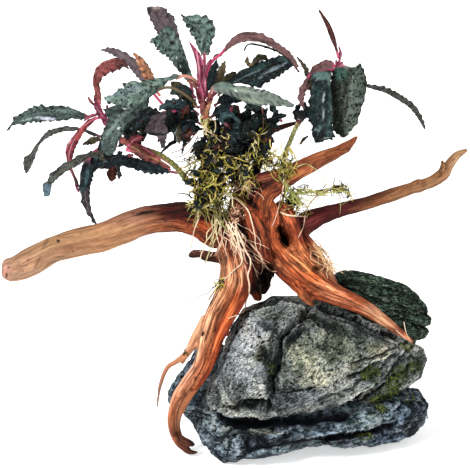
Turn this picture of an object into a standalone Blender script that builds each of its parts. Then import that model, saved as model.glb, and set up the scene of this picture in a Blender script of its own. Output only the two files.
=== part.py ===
# Bucephalandra on driftwood: a branching piece of driftwood on three layered stones, with three leafy rosettes,
# their rhizomes and roots, and moss. Metres, +Z up. The origin is the middle of the lowest stone's flat underside.
#
# Every piece is drawn on a sketch grid laid over the front view: "across" counts steps to the right and "down"
# counts steps downwards. "Depth" is the distance behind the middle plane in millimetres, negative in front of it.

import math

import bmesh
import bpy
from mathutils import Matrix, Vector, noise
from mathutils.bvhtree import BVHTree

# Driving dimensions
wood_span = 0.297  # m, from the cut end of the left branch to the tip of the right branch
span_steps = 464  # the same span on the sketch grid
step = wood_span / span_steps
mm = 0.001
eye_distance = 1.0  # m, from where the front view is drawn
eye_rise = math.radians(10)
middle_step = 235  # the grid's middle, both across and down
middle_height = 0.137  # m, the grid's middle above the ground
stone_middle_step = 300  # the stones' middle, across
seat_gap = 0.35 * mm  # clearance between pieces that meet

collections = {}


def clear_scene():
    for old in list(bpy.data.objects):
        bpy.data.objects.remove(old)
    for name in ("bucephalandra_on_driftwood", "cutters"):
        collections[name] = bpy.data.collections.new(name)
        bpy.context.scene.collection.children.link(collections[name])


def sketch(across, down, depth):
    # The point that the front view shows at this place of the grid, at this depth.
    forward = Vector((0, math.cos(eye_rise), -math.sin(eye_rise)))
    upward = Vector((0, math.sin(eye_rise), math.cos(eye_rise)))
    middle = Vector(((middle_step - stone_middle_step) * step, 0, middle_height))
    eye = middle - forward * eye_distance
    ray = forward.copy()
    ray += Vector((1, 0, 0)) * (across - middle_step) * step / eye_distance
    ray += upward * (middle_step - down) * step / eye_distance
    return eye + ray * (depth * mm - eye.y) / ray.y


def to_viewer():
    return Vector((0, -math.cos(eye_rise), math.sin(eye_rise)))


def plain_material(name, colour, roughness):
    material = bpy.data.materials.get(name)
    if material is None:
        material = bpy.data.materials.new(name)
        material.use_nodes = True
        shader = material.node_tree.nodes["Principled BSDF"]
        shader.inputs["Base Color"].default_value = (*colour, 1)
        shader.inputs["Roughness"].default_value = roughness
        shader.inputs["Metallic"].default_value = 0
    return material


def add_piece(name, body, material):
    # Turns a bmesh into a named object of the part.
    bmesh.ops.recalc_face_normals(body, faces=body.faces)
    mesh = bpy.data.meshes.new(name)
    body.to_mesh(mesh)
    body.free()
    mesh.shade_smooth()
    mesh.set_sharp_from_angle(angle=math.radians(50))
    mesh.materials.append(material)
    piece = bpy.data.objects.new(name, mesh)
    collections["bucephalandra_on_driftwood"].objects.link(piece)
    return piece


def cutter_of(piece):
    # A copy that stands the seat gap proud of the piece all round.
    cutter = bpy.data.objects.new(piece.name + "_seat", piece.data.copy())
    collections["cutters"].objects.link(cutter)
    for modifier in piece.modifiers:
        if modifier.type == "BOOLEAN" and modifier.operation == "UNION":
            join = cutter.modifiers.new("join", "BOOLEAN")
            join.operation = "UNION"
            join.object = modifier.object
    swell = cutter.modifiers.new("swell", "DISPLACE")
    swell.mid_level = 0
    swell.strength = seat_gap
    cutter.display_type = "WIRE"
    cutter.hide_render = True
    return cutter


def seat_on(piece, *cutters):
    # Cuts the piece where its neighbours are, so that it meets them with the seat gap.
    for cutter in cutters:
        cut = piece.modifiers.new("seat", "BOOLEAN")
        cut.operation = "DIFFERENCE"
        cut.solver = "EXACT"
        cut.object = cutter


def loft(rings):
    # One closed body through rings that have the same number of points.
    body = bmesh.new()
    loops = [[body.verts.new(point) for point in ring] for ring in rings]
    for near, far in zip(loops, loops[1:]):
        for i in range(len(near)):
            j = (i + 1) % len(near)
            body.faces.new((near[i], near[j], far[j], far[i]))
    body.faces.new(loops[0][::-1])
    body.faces.new(loops[-1])
    bmesh.ops.triangulate(body, faces=body.faces)
    return body


def smooth_point(points, place):
    # A point on the curve through the points, at a place from 0 to 1 (Catmull-Rom).
    spot = min(max(place, 0), 1) * (len(points) - 1)
    i = min(int(spot), len(points) - 2)
    t = spot - i
    a, b = points[i], points[i + 1]
    before = points[i - 1] if i > 0 else a * 2 - b
    after = points[i + 2] if i + 2 < len(points) else b * 2 - a
    return 0.5 * (
        2 * a
        + (b - before) * t
        + (2 * before - 5 * a + 4 * b - after) * t**2
        + (3 * a - before - 3 * b + after) * t**3
    )


def spaced_places(points, count):
    # Places along the curve at equal distances.
    fine = 12 * len(points)
    walk = [0.0]
    for i in range(fine):
        stride = smooth_point(points, (i + 1) / fine) - smooth_point(points, i / fine)
        walk.append(walk[-1] + stride.length)
    places = []
    for k in range(count):
        target = walk[-1] * k / (count - 1)
        i = next((n for n in range(fine) if walk[n + 1] >= target - 1e-12), fine - 1)
        places.append((i + (target - walk[i]) / (walk[i + 1] - walk[i])) / fine)
    return places


def direction_at(points, place):
    return (smooth_point(points, place + 0.01) - smooth_point(points, place - 0.01)).normalized()


# Driftwood

wood_sides = 10
wood_pale = (0.45, 0.27, 0.15)
wood_red = (0.38, 0.13, 0.05)


def wood_limb(name, route, colour, flat=1.0, sides=wood_sides, knots=0.10):
    # route: (across, down, depth, radius on the grid); flat is the thickness front to back over the height.
    points = [sketch(a, d, y) for a, d, y, r in route]
    rings = []
    for k, point in enumerate(points):
        along = direction_at(points, k / (len(points) - 1))
        side = along.cross(to_viewer()).normalized()
        front = side.cross(along)
        radius = route[k][3] * step
        ring = []
        for i in range(sides):
            angle = 2 * math.pi * i / sides
            out = side * math.cos(angle) + front * math.sin(angle) * flat
            bump = 1 + knots * noise.noise(point * 60 + out * 1.7)
            ring.append(point + out * radius * bump)
        rings.append(ring)
    return add_piece(name, loft(rings), plain_material(name, colour, 0.75))


trunk_route = (
    (241, 182, -5, 6), (244, 190, -4, 13), (247, 202, -2, 21), (250, 214, 0, 31), (252, 226, 0, 37),
    (254, 238, 0, 39), (256, 249, 0, 35), (258, 259, 0, 27), (260, 268, 1, 17),
)  # fmt: skip
stub_route = ((226, 258, -3, 7), (212, 257, -7, 6), (200, 253.5, -9, 4.5), (189, 256, -10, 2.8))
left_branch_route = (
    (228, 232, 0, 17), (214, 228, -1, 18.5), (200, 221, -3, 16), (175, 217.5, -6, 14.5), (150, 220, -10, 14.5),
    (125, 228, -14, 15), (100, 238, -18, 14), (75, 243, -21, 13.5), (52, 250, -24, 13), (36, 259, -26, 14),
    (20, 267, -27, 12.5), (5, 271, -28, 10.5),
)  # fmt: skip
upper_branch_route = (
    (250, 203, -4, 14), (262, 191, -5, 15), (276, 182, -7, 12.5), (290, 175, -9, 9.5), (305, 166.5, -12, 8.5),
    (322, 158.5, -15, 7), (338, 151.5, -18, 6.5), (350, 143.5, -20, 5), (358, 135.5, -21, 1.6),
)  # fmt: skip
right_branch_route = (
    (284, 232, 3, 13), (296, 230, 4, 12), (308, 222, 6, 11), (322, 215.5, 8, 9), (340, 210, 10, 7.5),
    (360, 205, 13, 7), (380, 199, 16, 7), (400, 192, 19, 7), (418, 186, 22, 6.5), (433, 181, 24, 7),
    (443, 174, 26, 7), (448, 166, 27, 6), (456, 156, 28, 5), (467, 149.5, 30, 2.6),
)  # fmt: skip
left_leg_route = (
    (233, 250, -1, 17), (236, 263, -4, 15), (235, 279, -7, 14), (229, 297, -12, 13.5), (220, 315, -16, 13),
    (211, 335, -20, 11.5), (206, 352, -23, 9.5), (201, 368, -26, 9.5), (191, 383, -29, 10), (180, 400, -31, 9.5),
    (174.5, 415, -32, 8), (175, 430, -32, 7), (181, 443, -32, 6), (189, 451, -32, 3.4),
)  # fmt: skip
leg_twig_route = (
    (207, 318, -20, 6), (196, 338, -26, 6), (187, 353, -30, 4.5), (177, 361, -31, 3.2), (167, 368, -31, 2.9),
    (160, 386, -31, 2.6), (157, 408, -31, 1.4),
)  # fmt: skip
right_leg_route = (
    (273, 240, -3, 20), (284, 252, -7, 19.5), (297, 268, -11, 17), (311, 284, -14, 13.5), (325, 291.5, -16, 10),
    (342, 298.5, -18, 8.5), (360, 307, -20, 7.5), (378, 317, -21, 6.3), (393, 328, -22, 5), (405, 336, -23, 3.8),
    (414, 343, -24, 1.4),
)  # fmt: skip
back_leg_route = ((262, 252, 10, 12), (265, 266, 16, 9), (266, 280, 20, 8), (262, 292, 22, 6))
back_twig_route = (
    (250, 196, 6, 8), (254, 178, 13, 6), (258, 160, 19, 5), (263, 143, 21, 4.5), (272, 131, 22, 4), (285, 126, 23, 3.6),
    (299, 122, 24, 2.4),
)  # fmt: skip


def build_driftwood():
    trunk = wood_limb("trunk", trunk_route, wood_red, flat=0.62, sides=14)
    stub = wood_limb("stub", stub_route, wood_red, sides=8)
    collections["bucephalandra_on_driftwood"].objects.unlink(stub)
    collections["cutters"].objects.link(stub)
    stub.hide_render = True
    stub.display_type = "WIRE"
    join = trunk.modifiers.new("stub", "BOOLEAN")
    join.operation = "UNION"
    join.solver = "EXACT"
    join.object = stub
    trunk_seat = cutter_of(trunk)

    left_leg = wood_limb("left_leg", left_leg_route, wood_red, flat=0.9)
    right_leg = wood_limb("right_leg", right_leg_route, wood_red, flat=0.8)
    left_branch = wood_limb("left_branch", left_branch_route, wood_pale)
    upper_branch = wood_limb("upper_branch", upper_branch_route, wood_red)
    right_branch = wood_limb("right_branch", right_branch_route, wood_pale, sides=8)
    back_leg = wood_limb("back_leg", back_leg_route, wood_red, sides=8)
    back_twig = wood_limb("back_twig", back_twig_route, wood_red, sides=7)
    leg_twig = wood_limb("left_leg_twig", leg_twig_route, wood_red, sides=7)
    for limb in (left_leg, left_branch, upper_branch, right_leg, right_branch, back_leg, back_twig):
        seat_on(limb, trunk_seat)
    left_leg_seat = cutter_of(left_leg)
    right_leg_seat = cutter_of(right_leg)
    seat_on(leg_twig, left_leg_seat)
    seat_on(right_leg, left_leg_seat)
    seat_on(right_branch, right_leg_seat)
    seat_on(back_leg, right_leg_seat, left_leg_seat)
    seat_on(left_branch, left_leg_seat)
    upper_branch_seat = cutter_of(upper_branch)
    seat_on(back_twig, upper_branch_seat)
    return trunk_seat, cutter_of(left_branch), cutter_of(right_branch)


# Stones

stone_rings = 8
stone_fullness = 0.5
stone_roughness = 5 * mm
stone_seed = 3  # of the roughness, so that every build gives the same stones


def stone(name, outline, middle, front, back, colour):
    # outline: (across, down, depth, how far the front face stands before it) around the front view.
    # middle: (across, down, depth) of the body; front and back: mm from there to the foremost and hindmost point.
    body = bmesh.new()
    rings = []
    for k in range(1, stone_rings):
        angle = math.pi * k / stone_rings
        spread = math.sin(angle) ** stone_fullness
        ring = []
        for across, down, depth, swell in outline:
            reach = (swell * spread**2 + front * (1 - spread**2)) if angle < math.pi / 2 else back
            y = depth * spread + middle[2] * (1 - spread) - reach * math.cos(angle)
            point = sketch(
                middle[0] + (across - middle[0]) * spread,
                middle[1] + (down - middle[1]) * spread,
                y,
            )
            rough = stone_roughness * math.cos(angle)
            ring.append(body.verts.new(point + noise.noise_vector(point * 45) * rough))
        rings.append(ring)
    near_pole = body.verts.new(sketch(middle[0], middle[1], middle[2] - front))
    far_pole = body.verts.new(sketch(middle[0], middle[1], middle[2] + back))
    for near, far in zip(rings, rings[1:]):
        for i in range(len(near)):
            j = (i + 1) % len(near)
            body.faces.new((near[i], near[j], far[j], far[i]))
    for i in range(len(outline)):
        j = (i + 1) % len(outline)
        body.faces.new((near_pole, rings[0][j], rings[0][i]))
        body.faces.new((far_pole, rings[-1][i], rings[-1][j]))
    bmesh.ops.triangulate(body, faces=body.faces)
    return body, plain_material(name, colour, 0.85)


front_stone_outline = (
    (248, 314, 2, 24), (237, 329, 0, 26), (230, 341, -2, 28), (224, 355, -6, 28), (218, 369, -11, 27),
    (210, 379, -15, 26), (205, 397, -21, 25), (212, 411, -28, 22), (229, 418, -34, 18), (250, 420, -36, 18),
    (272, 418, -36, 18), (297, 412, -36, 18), (322, 408, -34, 18), (348, 404, -30, 18), (368, 402, -26, 16),
    (386, 397, -20, 16), (405, 388, -14, 16), (420, 378, -10, 15), (428, 360, -8, 16), (424, 348, -8, 16),
    (408, 341, -10, 14), (393, 331, -10, 14), (365, 320, -9, 16), (338, 308, -8, 18), (320, 302, -7, 20),
    (300, 296, -4, 20), (272, 295, 0, 20), (260, 302, 2, 22),
)  # fmt: skip
back_stone_outline = (
    (300, 300, 24, 8), (312, 289, 24, 10), (326, 279, 24, 12), (340, 270.5, 24, 13), (356, 270, 24, 14),
    (373, 274, 24, 14), (388, 279, 24, 14), (406, 285, 24, 14), (417, 293, 24, 13), (427, 307, 24, 12),
    (431.5, 319, 24, 12), (426.5, 325.5, 24, 12), (430, 332, 24, 12), (426, 337, 24, 12), (415, 342, 24, 12),
    (417, 353, 26, 12), (418, 367, 28, 12), (410, 380, 30, 12), (392, 387, 30, 12), (358, 388, 30, 12),
    (325, 380, 30, 12), (305, 350, 28, 10), (298, 322, 26, 8),
)  # fmt: skip
base_stone_outline = (
    (203, 338, 14, 10), (188, 360, 14, 10), (179, 375, 14, 10), (168.5, 391, 13, 10), (168.5, 402, 10, 10),
    (183, 413, 2, 12), (191, 422, -8, 16), (198, 434, -20, 16), (204, 446, -32, 14), (212, 456, -41, 12),
    (221, 463, -46, 10), (236, 460.5, -42, 14), (254, 459, -38, 18), (275, 455, -30, 24), (300, 449, -20, 30),
    (328, 445, -16, 32), (354, 448.5, -16, 30), (379, 445, -12, 26), (399, 440, -8, 22), (415, 433.5, -4, 18),
    (425, 421, -2, 14), (428, 404, 0, 14), (418, 390, 2, 14), (400, 384, 6, 12), (360, 380, 10, 12),
    (310, 378, 12, 12), (262, 372, 14, 12), (232, 352, 14, 10), (216, 340, 14, 10),
)  # fmt: skip
# Cracks and undercut ledges that the front view shows: route of (across, down), half width in steps, depth
front_stone_cracks = (
    (((307, 308), (300, 314), (289, 325), (279, 336), (276, 350), (274, 366), (272, 382), (270, 397)), 4.5, 7 * mm),
    (((322, 408), (340, 405), (354, 398), (368, 389), (381, 381), (392, 371), (402, 357), (409, 348)), 3.5, 4.5 * mm),
    (((232, 410), (246, 406), (260, 406), (274, 409)), 4.5, 6 * mm),
)  # fmt: skip
base_stone_cracks = (
    (((346, 438), (360, 436), (376, 432), (394, 425)), 5.0, 5 * mm),
    (((252, 449), (264, 446), (280, 442), (302, 441)), 3.5, 3.5 * mm),
)  # fmt: skip
crack_mouth = 6 * mm  # how far a crack's cutter stands before the stone


def crack_cutters(name, body, cracks):
    # Wedges along the cracks, as deep as each is behind the face of the stone that the front view shows.
    face_of = BVHTree.FromBMesh(body)
    eye = sketch(middle_step, middle_step, 0) - Vector((0, math.cos(eye_rise), -math.sin(eye_rise))) * eye_distance
    cutters = []
    for route, half_width, depth in cracks:
        widened = half_width * (depth + crack_mouth) / depth
        rings = []
        for k, (across, down) in enumerate(route):
            before, after = route[max(k - 1, 0)], route[min(k + 1, len(route) - 1)]
            away = Vector((before[1] - after[1], after[0] - before[0])).normalized() * widened
            face = face_of.ray_cast(eye, (sketch(across, down, 0) - eye).normalized())[0].y / mm
            mouth = face - crack_mouth / mm
            rings.append(
                [
                    sketch(across + away.x, down + away.y, mouth),
                    sketch(across - away.x, down - away.y, mouth),
                    sketch(across, down, face + depth / mm),
                ]
            )
        wedge = loft(rings)
        bmesh.ops.recalc_face_normals(wedge, faces=wedge.faces)
        mesh = bpy.data.meshes.new(name)
        wedge.to_mesh(mesh)
        wedge.free()
        cutter = bpy.data.objects.new(name, mesh)
        cutter.display_type = "WIRE"
        cutter.hide_render = True
        collections["cutters"].objects.link(cutter)
        cutters.append(cutter)
    return cutters


def build_stones():
    noise.seed_set(stone_seed)
    body, material = stone("front_stone", front_stone_outline, (296, 360, -6), 48, 38, (0.16, 0.18, 0.15))
    cracks = crack_cutters("front_stone_crack", body, front_stone_cracks)
    front = add_piece("front_stone", body, material)
    front_seat = cutter_of(front)
    seat_on(front, *cracks)
    body, material = stone("base_stone", base_stone_outline, (300, 440, -4), 48, 52, (0.06, 0.08, 0.09))
    cracks = crack_cutters("base_stone_crack", body, base_stone_cracks)
    cut = bmesh.ops.bisect_plane(
        body,
        geom=list(body.verts) + list(body.edges) + list(body.faces),
        plane_co=(0, 0, 0),
        plane_no=(0, 0, -1),
        clear_outer=True,
    )
    rim = [part for part in cut["geom_cut"] if isinstance(part, bmesh.types.BMEdge)]
    bmesh.ops.contextual_create(body, geom=rim)
    bmesh.ops.triangulate(body, faces=body.faces)
    base = add_piece("base_stone", body, material)
    base_seat = cutter_of(base)
    seat_on(base, front_seat, *cracks)
    body, material = stone("back_stone", back_stone_outline, (366, 330, 28), 22, 26, (0.05, 0.07, 0.06))
    back = add_piece("back_stone", body, material)
    seat_on(back, front_seat, base_seat)


# Plants

leaf_sections = 11
short_leaf_sections = 9
short_leaf = 60  # steps between the ends of a leaf that needs only the fewer sections
leaf_thickness = 0.7 * mm
petiole_width = 1.5 * mm
petiole_thickness = 1.1 * mm
margin_wave = 1.0 * mm


def leaf(name, route, width, turn, fold, petiole, colour):
    # route: (across, down, depth) along the midrib; width on the grid; turn: degrees that the upper side is
    # turned about the midrib from facing the front, at the base and at the tip; fold: degrees that the halves
    # rise from flat; petiole: the share of the length before the blade.
    points = [sketch(*place) for place in route]
    sections = short_leaf_sections if (points[-1] - points[0]).length < short_leaf * step else leaf_sections
    rings = []
    for k, place in enumerate(spaced_places(points, sections)):
        centre = smooth_point(points, place)
        along = direction_at(points, place)
        share = k / (sections - 1)
        upper = to_viewer() - along * to_viewer().dot(along)
        upper.normalize()
        angle = math.radians(turn[0] + (turn[1] - turn[0]) * share)
        upper = Matrix.Rotation(angle, 3, along) @ upper
        side = along.cross(upper)
        blade = max(0, (share - petiole) / (1 - petiole))
        shape = math.sin(math.pi * min(blade, 1) ** 0.85) ** 0.75 if 0 < blade < 1 else 0
        half = max(width * step * shape, petiole_width) / 2
        tip = 1 if blade < 1 else 0.4
        half *= tip
        thickness = petiole_thickness + (leaf_thickness - petiole_thickness) * min(1, shape * 3)
        wave = margin_wave * shape * (1 if k % 2 else -1)
        rise = half * math.tan(math.radians(fold))
        lift = upper * thickness / 2
        left = centre - side * half + upper * (rise + wave)
        right = centre + side * half + upper * (rise - wave)
        rings.append(
            [left + lift * 0.7, centre + lift, right + lift * 0.7, right - lift * 0.7, centre - lift, left - lift * 0.7]
        )
    add_piece(name, loft(rings), plain_material(name, colour, 0.4))


leaf_green = (0.07, 0.12, 0.09)
leaf_grey_green = (0.16, 0.21, 0.17)
leaf_dark = (0.012, 0.025, 0.025)
leaf_purple = (0.11, 0.07, 0.08)
leaf_red = (0.25, 0.04, 0.04)
leaf_orange = (0.42, 0.15, 0.06)
leaf_olive = (0.13, 0.11, 0.05)
petiole_pink = (0.40, 0.05, 0.12)

# name: (route, width, turn at base and tip, fold, petiole share, colour)
leaves = {
    "left_leaf_1": (
        ((97, 113, -10), (88, 117, -15), (70, 116, -22), (50, 115, -28), (33, 113.5, -32), (17, 120, -35), (7, 130, -37)),
        21, (25, 30), 8, 0.12, leaf_green,
    ),
    "left_leaf_2": (
        ((105, 138, -7), (92, 132, -6), (80, 129.5, -4), (66, 129, -1), (52, 132, 2), (42, 139, 5),
         (34, 149, 8), (28, 160, 10), (27, 173, 11)),
        15, (50, 60), 10, 0.12, leaf_purple,
    ),
    "left_leaf_3": (
        ((99, 119, -15.5), (92, 121, -18), (84, 125, -20), (76, 136, -22), (71, 147, -23), (69, 158, -24),
         (70, 170, -24), (74, 178, -24), (77, 186, -23)),
        14, (40, 40), 5, 0.12, leaf_red,
    ),
    "left_leaf_4": (
        ((117, 145, -13), (108, 147.5, -19), (98, 150, -25), (88, 154, -30), (78, 158, -34), (67, 164, -37),
         (57, 173, -40), (50, 180, -42), (47, 194, -43)),
        14, (40, 35), 8, 0.14, leaf_grey_green,
    ),
    "left_leaf_5": (
        ((112, 144, -5), (102, 147, -3), (92, 154, 0), (86, 166, 3), (84, 178, 6), (84, 190, 9), (87, 203, 11),
         (91, 215, 12), (96, 224, 13)),
        14, (40, 45), 5, 0.16, leaf_purple,
    ),
    "left_leaf_6": (((104, 142, 1), (98, 139.5, 4), (91, 141, 7), (83, 144.5, 9)), 8, (20, 20), 5, 0.15, leaf_olive),
    "left_leaf_7": (
        ((131, 153, -1.5), (124, 156, 3), (115, 158, 8), (106, 160, 12), (97, 166, 16), (90, 173, 19)),
        23, (10, 10), 5, 0.10, leaf_dark,
    ),
    "left_leaf_8": (
        ((178, 173, -16), (166, 171, -18), (150, 167.5, -20), (135, 163, -21), (120, 161, -21), (111, 165, -20)),
        9, (55, 60), 5, 0.10, leaf_dark,
    ),
    "left_leaf_9": (
        ((198, 109, -11), (185, 97, -15), (170, 91, -19), (157, 92.5, -23), (146, 98, -26), (136, 105, -29),
         (126, 114, -32), (117, 126, -35), (110, 140, -38), (105, 155, -40)),
        25, (15, 10), 6, 0.30, leaf_grey_green,
    ),
    "left_leaf_10": (
        ((181, 112, -13), (170, 114, -15), (161, 119, -17), (153, 127, -19), (146, 138, -20)),
        20, (170, 170), 5, 0.10, leaf_purple,
    ),
    "left_leaf_11": (
        ((101, 111, -13), (98.5, 104, -12), (96, 92, -9), (97, 80, -5), (103, 71, -1), (112, 65, 3),
         (121, 62, 6), (129, 67, 8)),
        13, (35, 30), 5, 0.22, leaf_red,
    ),
    "left_leaf_12": (
        ((166, 108, 6), (158, 99, 9), (150, 89, 13), (141, 75, 18), (131, 62, 22), (120, 54.5, 26), (110, 50.5, 29),
         (101, 50, 31)),
        15, (150, 150), 5, 0.25, leaf_purple,
    ),
    "left_leaf_13": (
        ((160, 96, 0), (154, 88, 2), (149, 77, 5), (144, 67, 7), (139, 59, 8), (133, 53, 8)),
        15, (25, 30), 8, 0.12, leaf_orange,
    ),
    "left_leaf_14": (
        ((126, 148.5, -13), (135, 153, -13), (147, 159, -13), (160, 165, -13), (171, 170, -13)),
        9, (35, 35), 5, 0.10, leaf_orange,
    ),
    "left_leaf_15": (
        ((166, 112, -3), (156, 114, -1), (145, 118, 1), (134, 125, 2), (125, 134, 2)),
        22, (0, 0), 0, 0.10, leaf_dark,
    ),
    "centre_leaf_1": (
        ((198.5, 91, -13), (194, 81, -18), (184, 76.5, -23), (172, 78.5, -28), (159, 84, -34), (145, 91, -39),
         (130, 96, -43), (117, 98, -46), (104, 98, -48)),
        22, (20, 15), 6, 0.28, leaf_green,
    ),
    "centre_leaf_2": (
        ((193, 92, 2), (188, 78, 5), (185, 62, 9), (180, 47, 13), (172, 31, 18), (163, 16, 23), (152, 6, 27)),
        25, (170, 165), 5, 0.14, leaf_purple,
    ),
    "centre_leaf_3": (
        ((197, 90, -4), (192, 78, -6), (184, 63, -9), (176, 49, -13), (166, 38, -18), (157, 36.5, -23), (150, 41, -27)),
        24, (5, 5), 5, 0.12, leaf_green,
    ),
    "centre_leaf_4": (
        ((203.5, 88, -8.5), (205, 72, -8), (205.5, 57, -9), (205, 42, -11), (202, 29, -15), (194, 20, -20),
         (181, 14, -24)),
        27, (0, 0), 5, 0.20, leaf_green,
    ),
    "centre_leaf_5": (
        ((202, 98, -16), (200, 84, -17.5), (198, 70, -18), (195, 56, -18), (190, 43, -18)),
        6, (10, 10), 20, 0.05, petiole_pink,
    ),
    "centre_leaf_6": (
        ((206, 95, -15), (205, 82, -16.5), (207.5, 70, -18), (213, 60.5, -20), (222, 53, -22), (232, 43, -24),
         (243, 36.5, -25), (255, 34.5, -25), (268, 39, -24), (280, 47.5, -22), (290, 58, -20), (295, 67, -18)),
        14, (140, 130), 5, 0.32, leaf_red,
    ),
    "centre_leaf_7": (
        ((299, 72, -10), (291, 62, -12), (281, 53, -13), (268, 47.5, -14), (256, 44.5, -14), (248, 44.5, -13), (244, 50.5, -12)),
        8, (75, 75), 5, 0.10, leaf_dark,
    ),
    "centre_leaf_8": (
        ((208, 101, -7), (216, 94, -7), (226, 88, -7), (238, 82, -6), (252, 76, -5), (265, 70, -4), (280, 64, -3),
         (291, 60, -2)),
        20, (-20, -20), 5, 0.16, leaf_dark,
    ),
    "centre_leaf_9": (
        ((207.5, 99, -14), (214, 90, -19), (225, 87, -24), (240, 91, -29), (256, 95.5, -34), (274, 99.5, -38),
         (294, 103, -41)),
        20, (-20, -15), 5, 0.14, leaf_grey_green,
    ),
    "centre_leaf_10": (((196, 107, 0), (190, 99, 4), (183, 91, 9), (172, 84, 14)), 16, (20, 20), 5, 0.14, leaf_olive),
    "centre_leaf_11": (((205, 99, 0), (208, 88, 3), (212, 75, 7), (217, 60, 11)), 11, (20, 20), 5, 0.15, leaf_dark),
    "centre_leaf_12": (((210, 102, 4), (216, 88, 10), (221, 74, 16), (225, 61, 22)), 12, (30, 30), 5, 0.15, leaf_olive),
    "centre_leaf_13": (
        ((199, 115, -8), (190, 108, -9), (178, 104, -9.5), (167, 105, -10), (159, 110, -10)),
        15, (40, 30), 10, 0.14, leaf_green,
    ),
    "centre_leaf_14": (
        ((203, 125, -6), (193, 121, -7), (181, 119.5, -8), (171, 123, -8), (163, 131, -8)),
        18, (30, 20), 5, 0.12, leaf_dark,
    ),
    "right_leaf_1": (
        ((333, 70, -4), (327, 71.5, -11), (323, 80, -16), (322, 95, -20), (322, 110, -22), (323, 126, -23),
         (325, 142, -22)),
        24, (10, 10), -10, 0.06, leaf_green,
    ),
    "right_leaf_2": (
        ((341, 63, -1), (347, 67, -4), (351, 80, -6), (352, 95, -6), (350, 110, -6), (347, 125, -6), (342, 138, -6)),
        33, (0, 0), 0, 0.06, leaf_grey_green,
    ),
    "right_leaf_3": (
        ((344, 72, 5), (355, 80, 9), (367, 85.5, 14), (385, 90, 20), (400, 98, 25), (412, 106.5, 29), (420, 118, 32),
         (425, 129, 34)),
        9, (70, 70), 5, 0.15, leaf_purple,
    ),
    "right_leaf_4": (
        ((338.5, 58, 0), (336, 48, 2), (333, 38, 4), (328, 25, 7), (319, 10, 10)),
        9, (60, 60), 5, 0.30, leaf_purple,
    ),
    "right_leaf_5": (
        ((312, 101, 1), (311, 91, 2), (309.5, 80, 4), (305.5, 68, 6), (297, 57, 8)),
        9, (50, 50), 5, 0.12, leaf_olive,
    ),
    "right_leaf_6": (
        ((333, 65, 7), (326, 62.5, 12), (318, 65, 17), (311, 73, 21), (307, 84, 23)),
        15, (160, 160), 5, 0.10, leaf_purple,
    ),
    "right_leaf_7": (
        ((310, 74, -2), (305, 83, -4), (302, 92, -6), (301, 100, -8), (304, 109, -9)),
        8, (30, 30), 5, 0.12, leaf_purple,
    ),
}  # fmt: skip

# name: (route with radii on the grid, colour)
rhizomes = {
    "left_rhizome": (
        ((188, 183, -3, 3.4), (182, 174, -4, 3.2), (174, 165, -5, 3), (162, 156, -6, 2.8), (150, 151, -7, 2.8),
         (135, 147, -8, 3.2), (122, 140, -9, 3.2), (112, 130, -10, 2.8), (104, 117, -12, 2.2)),
        (0.38, 0.30, 0.10),
    ),
    "centre_rhizome": (
        ((211, 148, -4, 3), (209, 134, -5, 3.4), (206, 119, -6, 4), (204, 108, -8, 4), (202.5, 100, -10, 2.6)),
        (0.45, 0.10, 0.08),
    ),
    "right_rhizome": (
        ((284, 164, 3, 2.4), (285, 154, 4, 2.6), (289, 144, 5, 2.6), (298, 124, 6, 2.6), (312, 109, 8, 2.6),
         (327, 93, 9, 2.4), (335, 78, 6, 2.2), (338, 66, 2, 2)),
        (0.35, 0.33, 0.12),
    ),
}  # fmt: skip

root_radius = 0.45 * mm
root_colour = (0.75, 0.68, 0.52)
roots = {
    "root_1": (
        (226, 198, -24), (233, 197, -24), (241, 203, -24), (250, 217, -24), (255, 237, -22.5), (260, 254, -20.5),
        (269, 268, -19.5), (277, 273, -20),
    ),
    "root_2": ((284, 189, -14), (283, 196, -15), (281, 204, -17), (278, 213, -19), (272, 227, -20)),
    "root_3": (
        (231, 226, -21), (238, 238, -20.5), (241, 251, -18), (241, 263, -16.5), (234, 272, -18), (227, 280, -20),
        (219, 288, -22),
    ),
    "root_4": (
        (240, 229, -21), (246, 244, -20.5), (250, 258, -18.5), (249.5, 268, -16.5), (247, 277, -16),
        (249, 290, -17), (248, 300, -18.5), (244, 311, -21), (237, 316, -23), (229, 318, -24),
    ),
    "root_5": ((208, 219, -16), (205, 228, -16), (202, 240, -15.5), (199, 252, -15), (194, 262, -15)),
    "root_6": ((320, 192, -12), (314, 198, -11), (307, 207, -9), (304, 216, -8), (299, 233, -9.5)),
}  # fmt: skip


def root(name, route):
    wire = bpy.data.curves.new(name, "CURVE")
    wire.dimensions = "3D"
    wire.bevel_depth = root_radius
    wire.bevel_resolution = 1
    wire.use_fill_caps = True
    spline = wire.splines.new("POLY")
    spline.points.add(len(route) - 1)
    for point, place in zip(spline.points, route):
        point.co = (*sketch(*place), 1)
    wire.materials.append(plain_material(name, root_colour, 0.6))
    piece = bpy.data.objects.new(name, wire)
    collections["bucephalandra_on_driftwood"].objects.link(piece)


def cushion(name, middle, reach, colour, subdivisions=2):
    # A rounded lump: middle (across, down, depth), reach (across, down) on the grid and depth in mm.
    body = bmesh.new()
    bmesh.ops.create_icosphere(body, subdivisions=subdivisions, radius=1)
    for vert in body.verts:
        out = vert.co * (1 + 0.12 * noise.noise(vert.co * 2.3))
        vert.co = sketch(
            middle[0] + out.x * reach[0],
            middle[1] - out.z * reach[1],
            middle[2] + out.y * reach[2],
        )
    return add_piece(name, body, plain_material(name, colour, 0.95))


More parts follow.
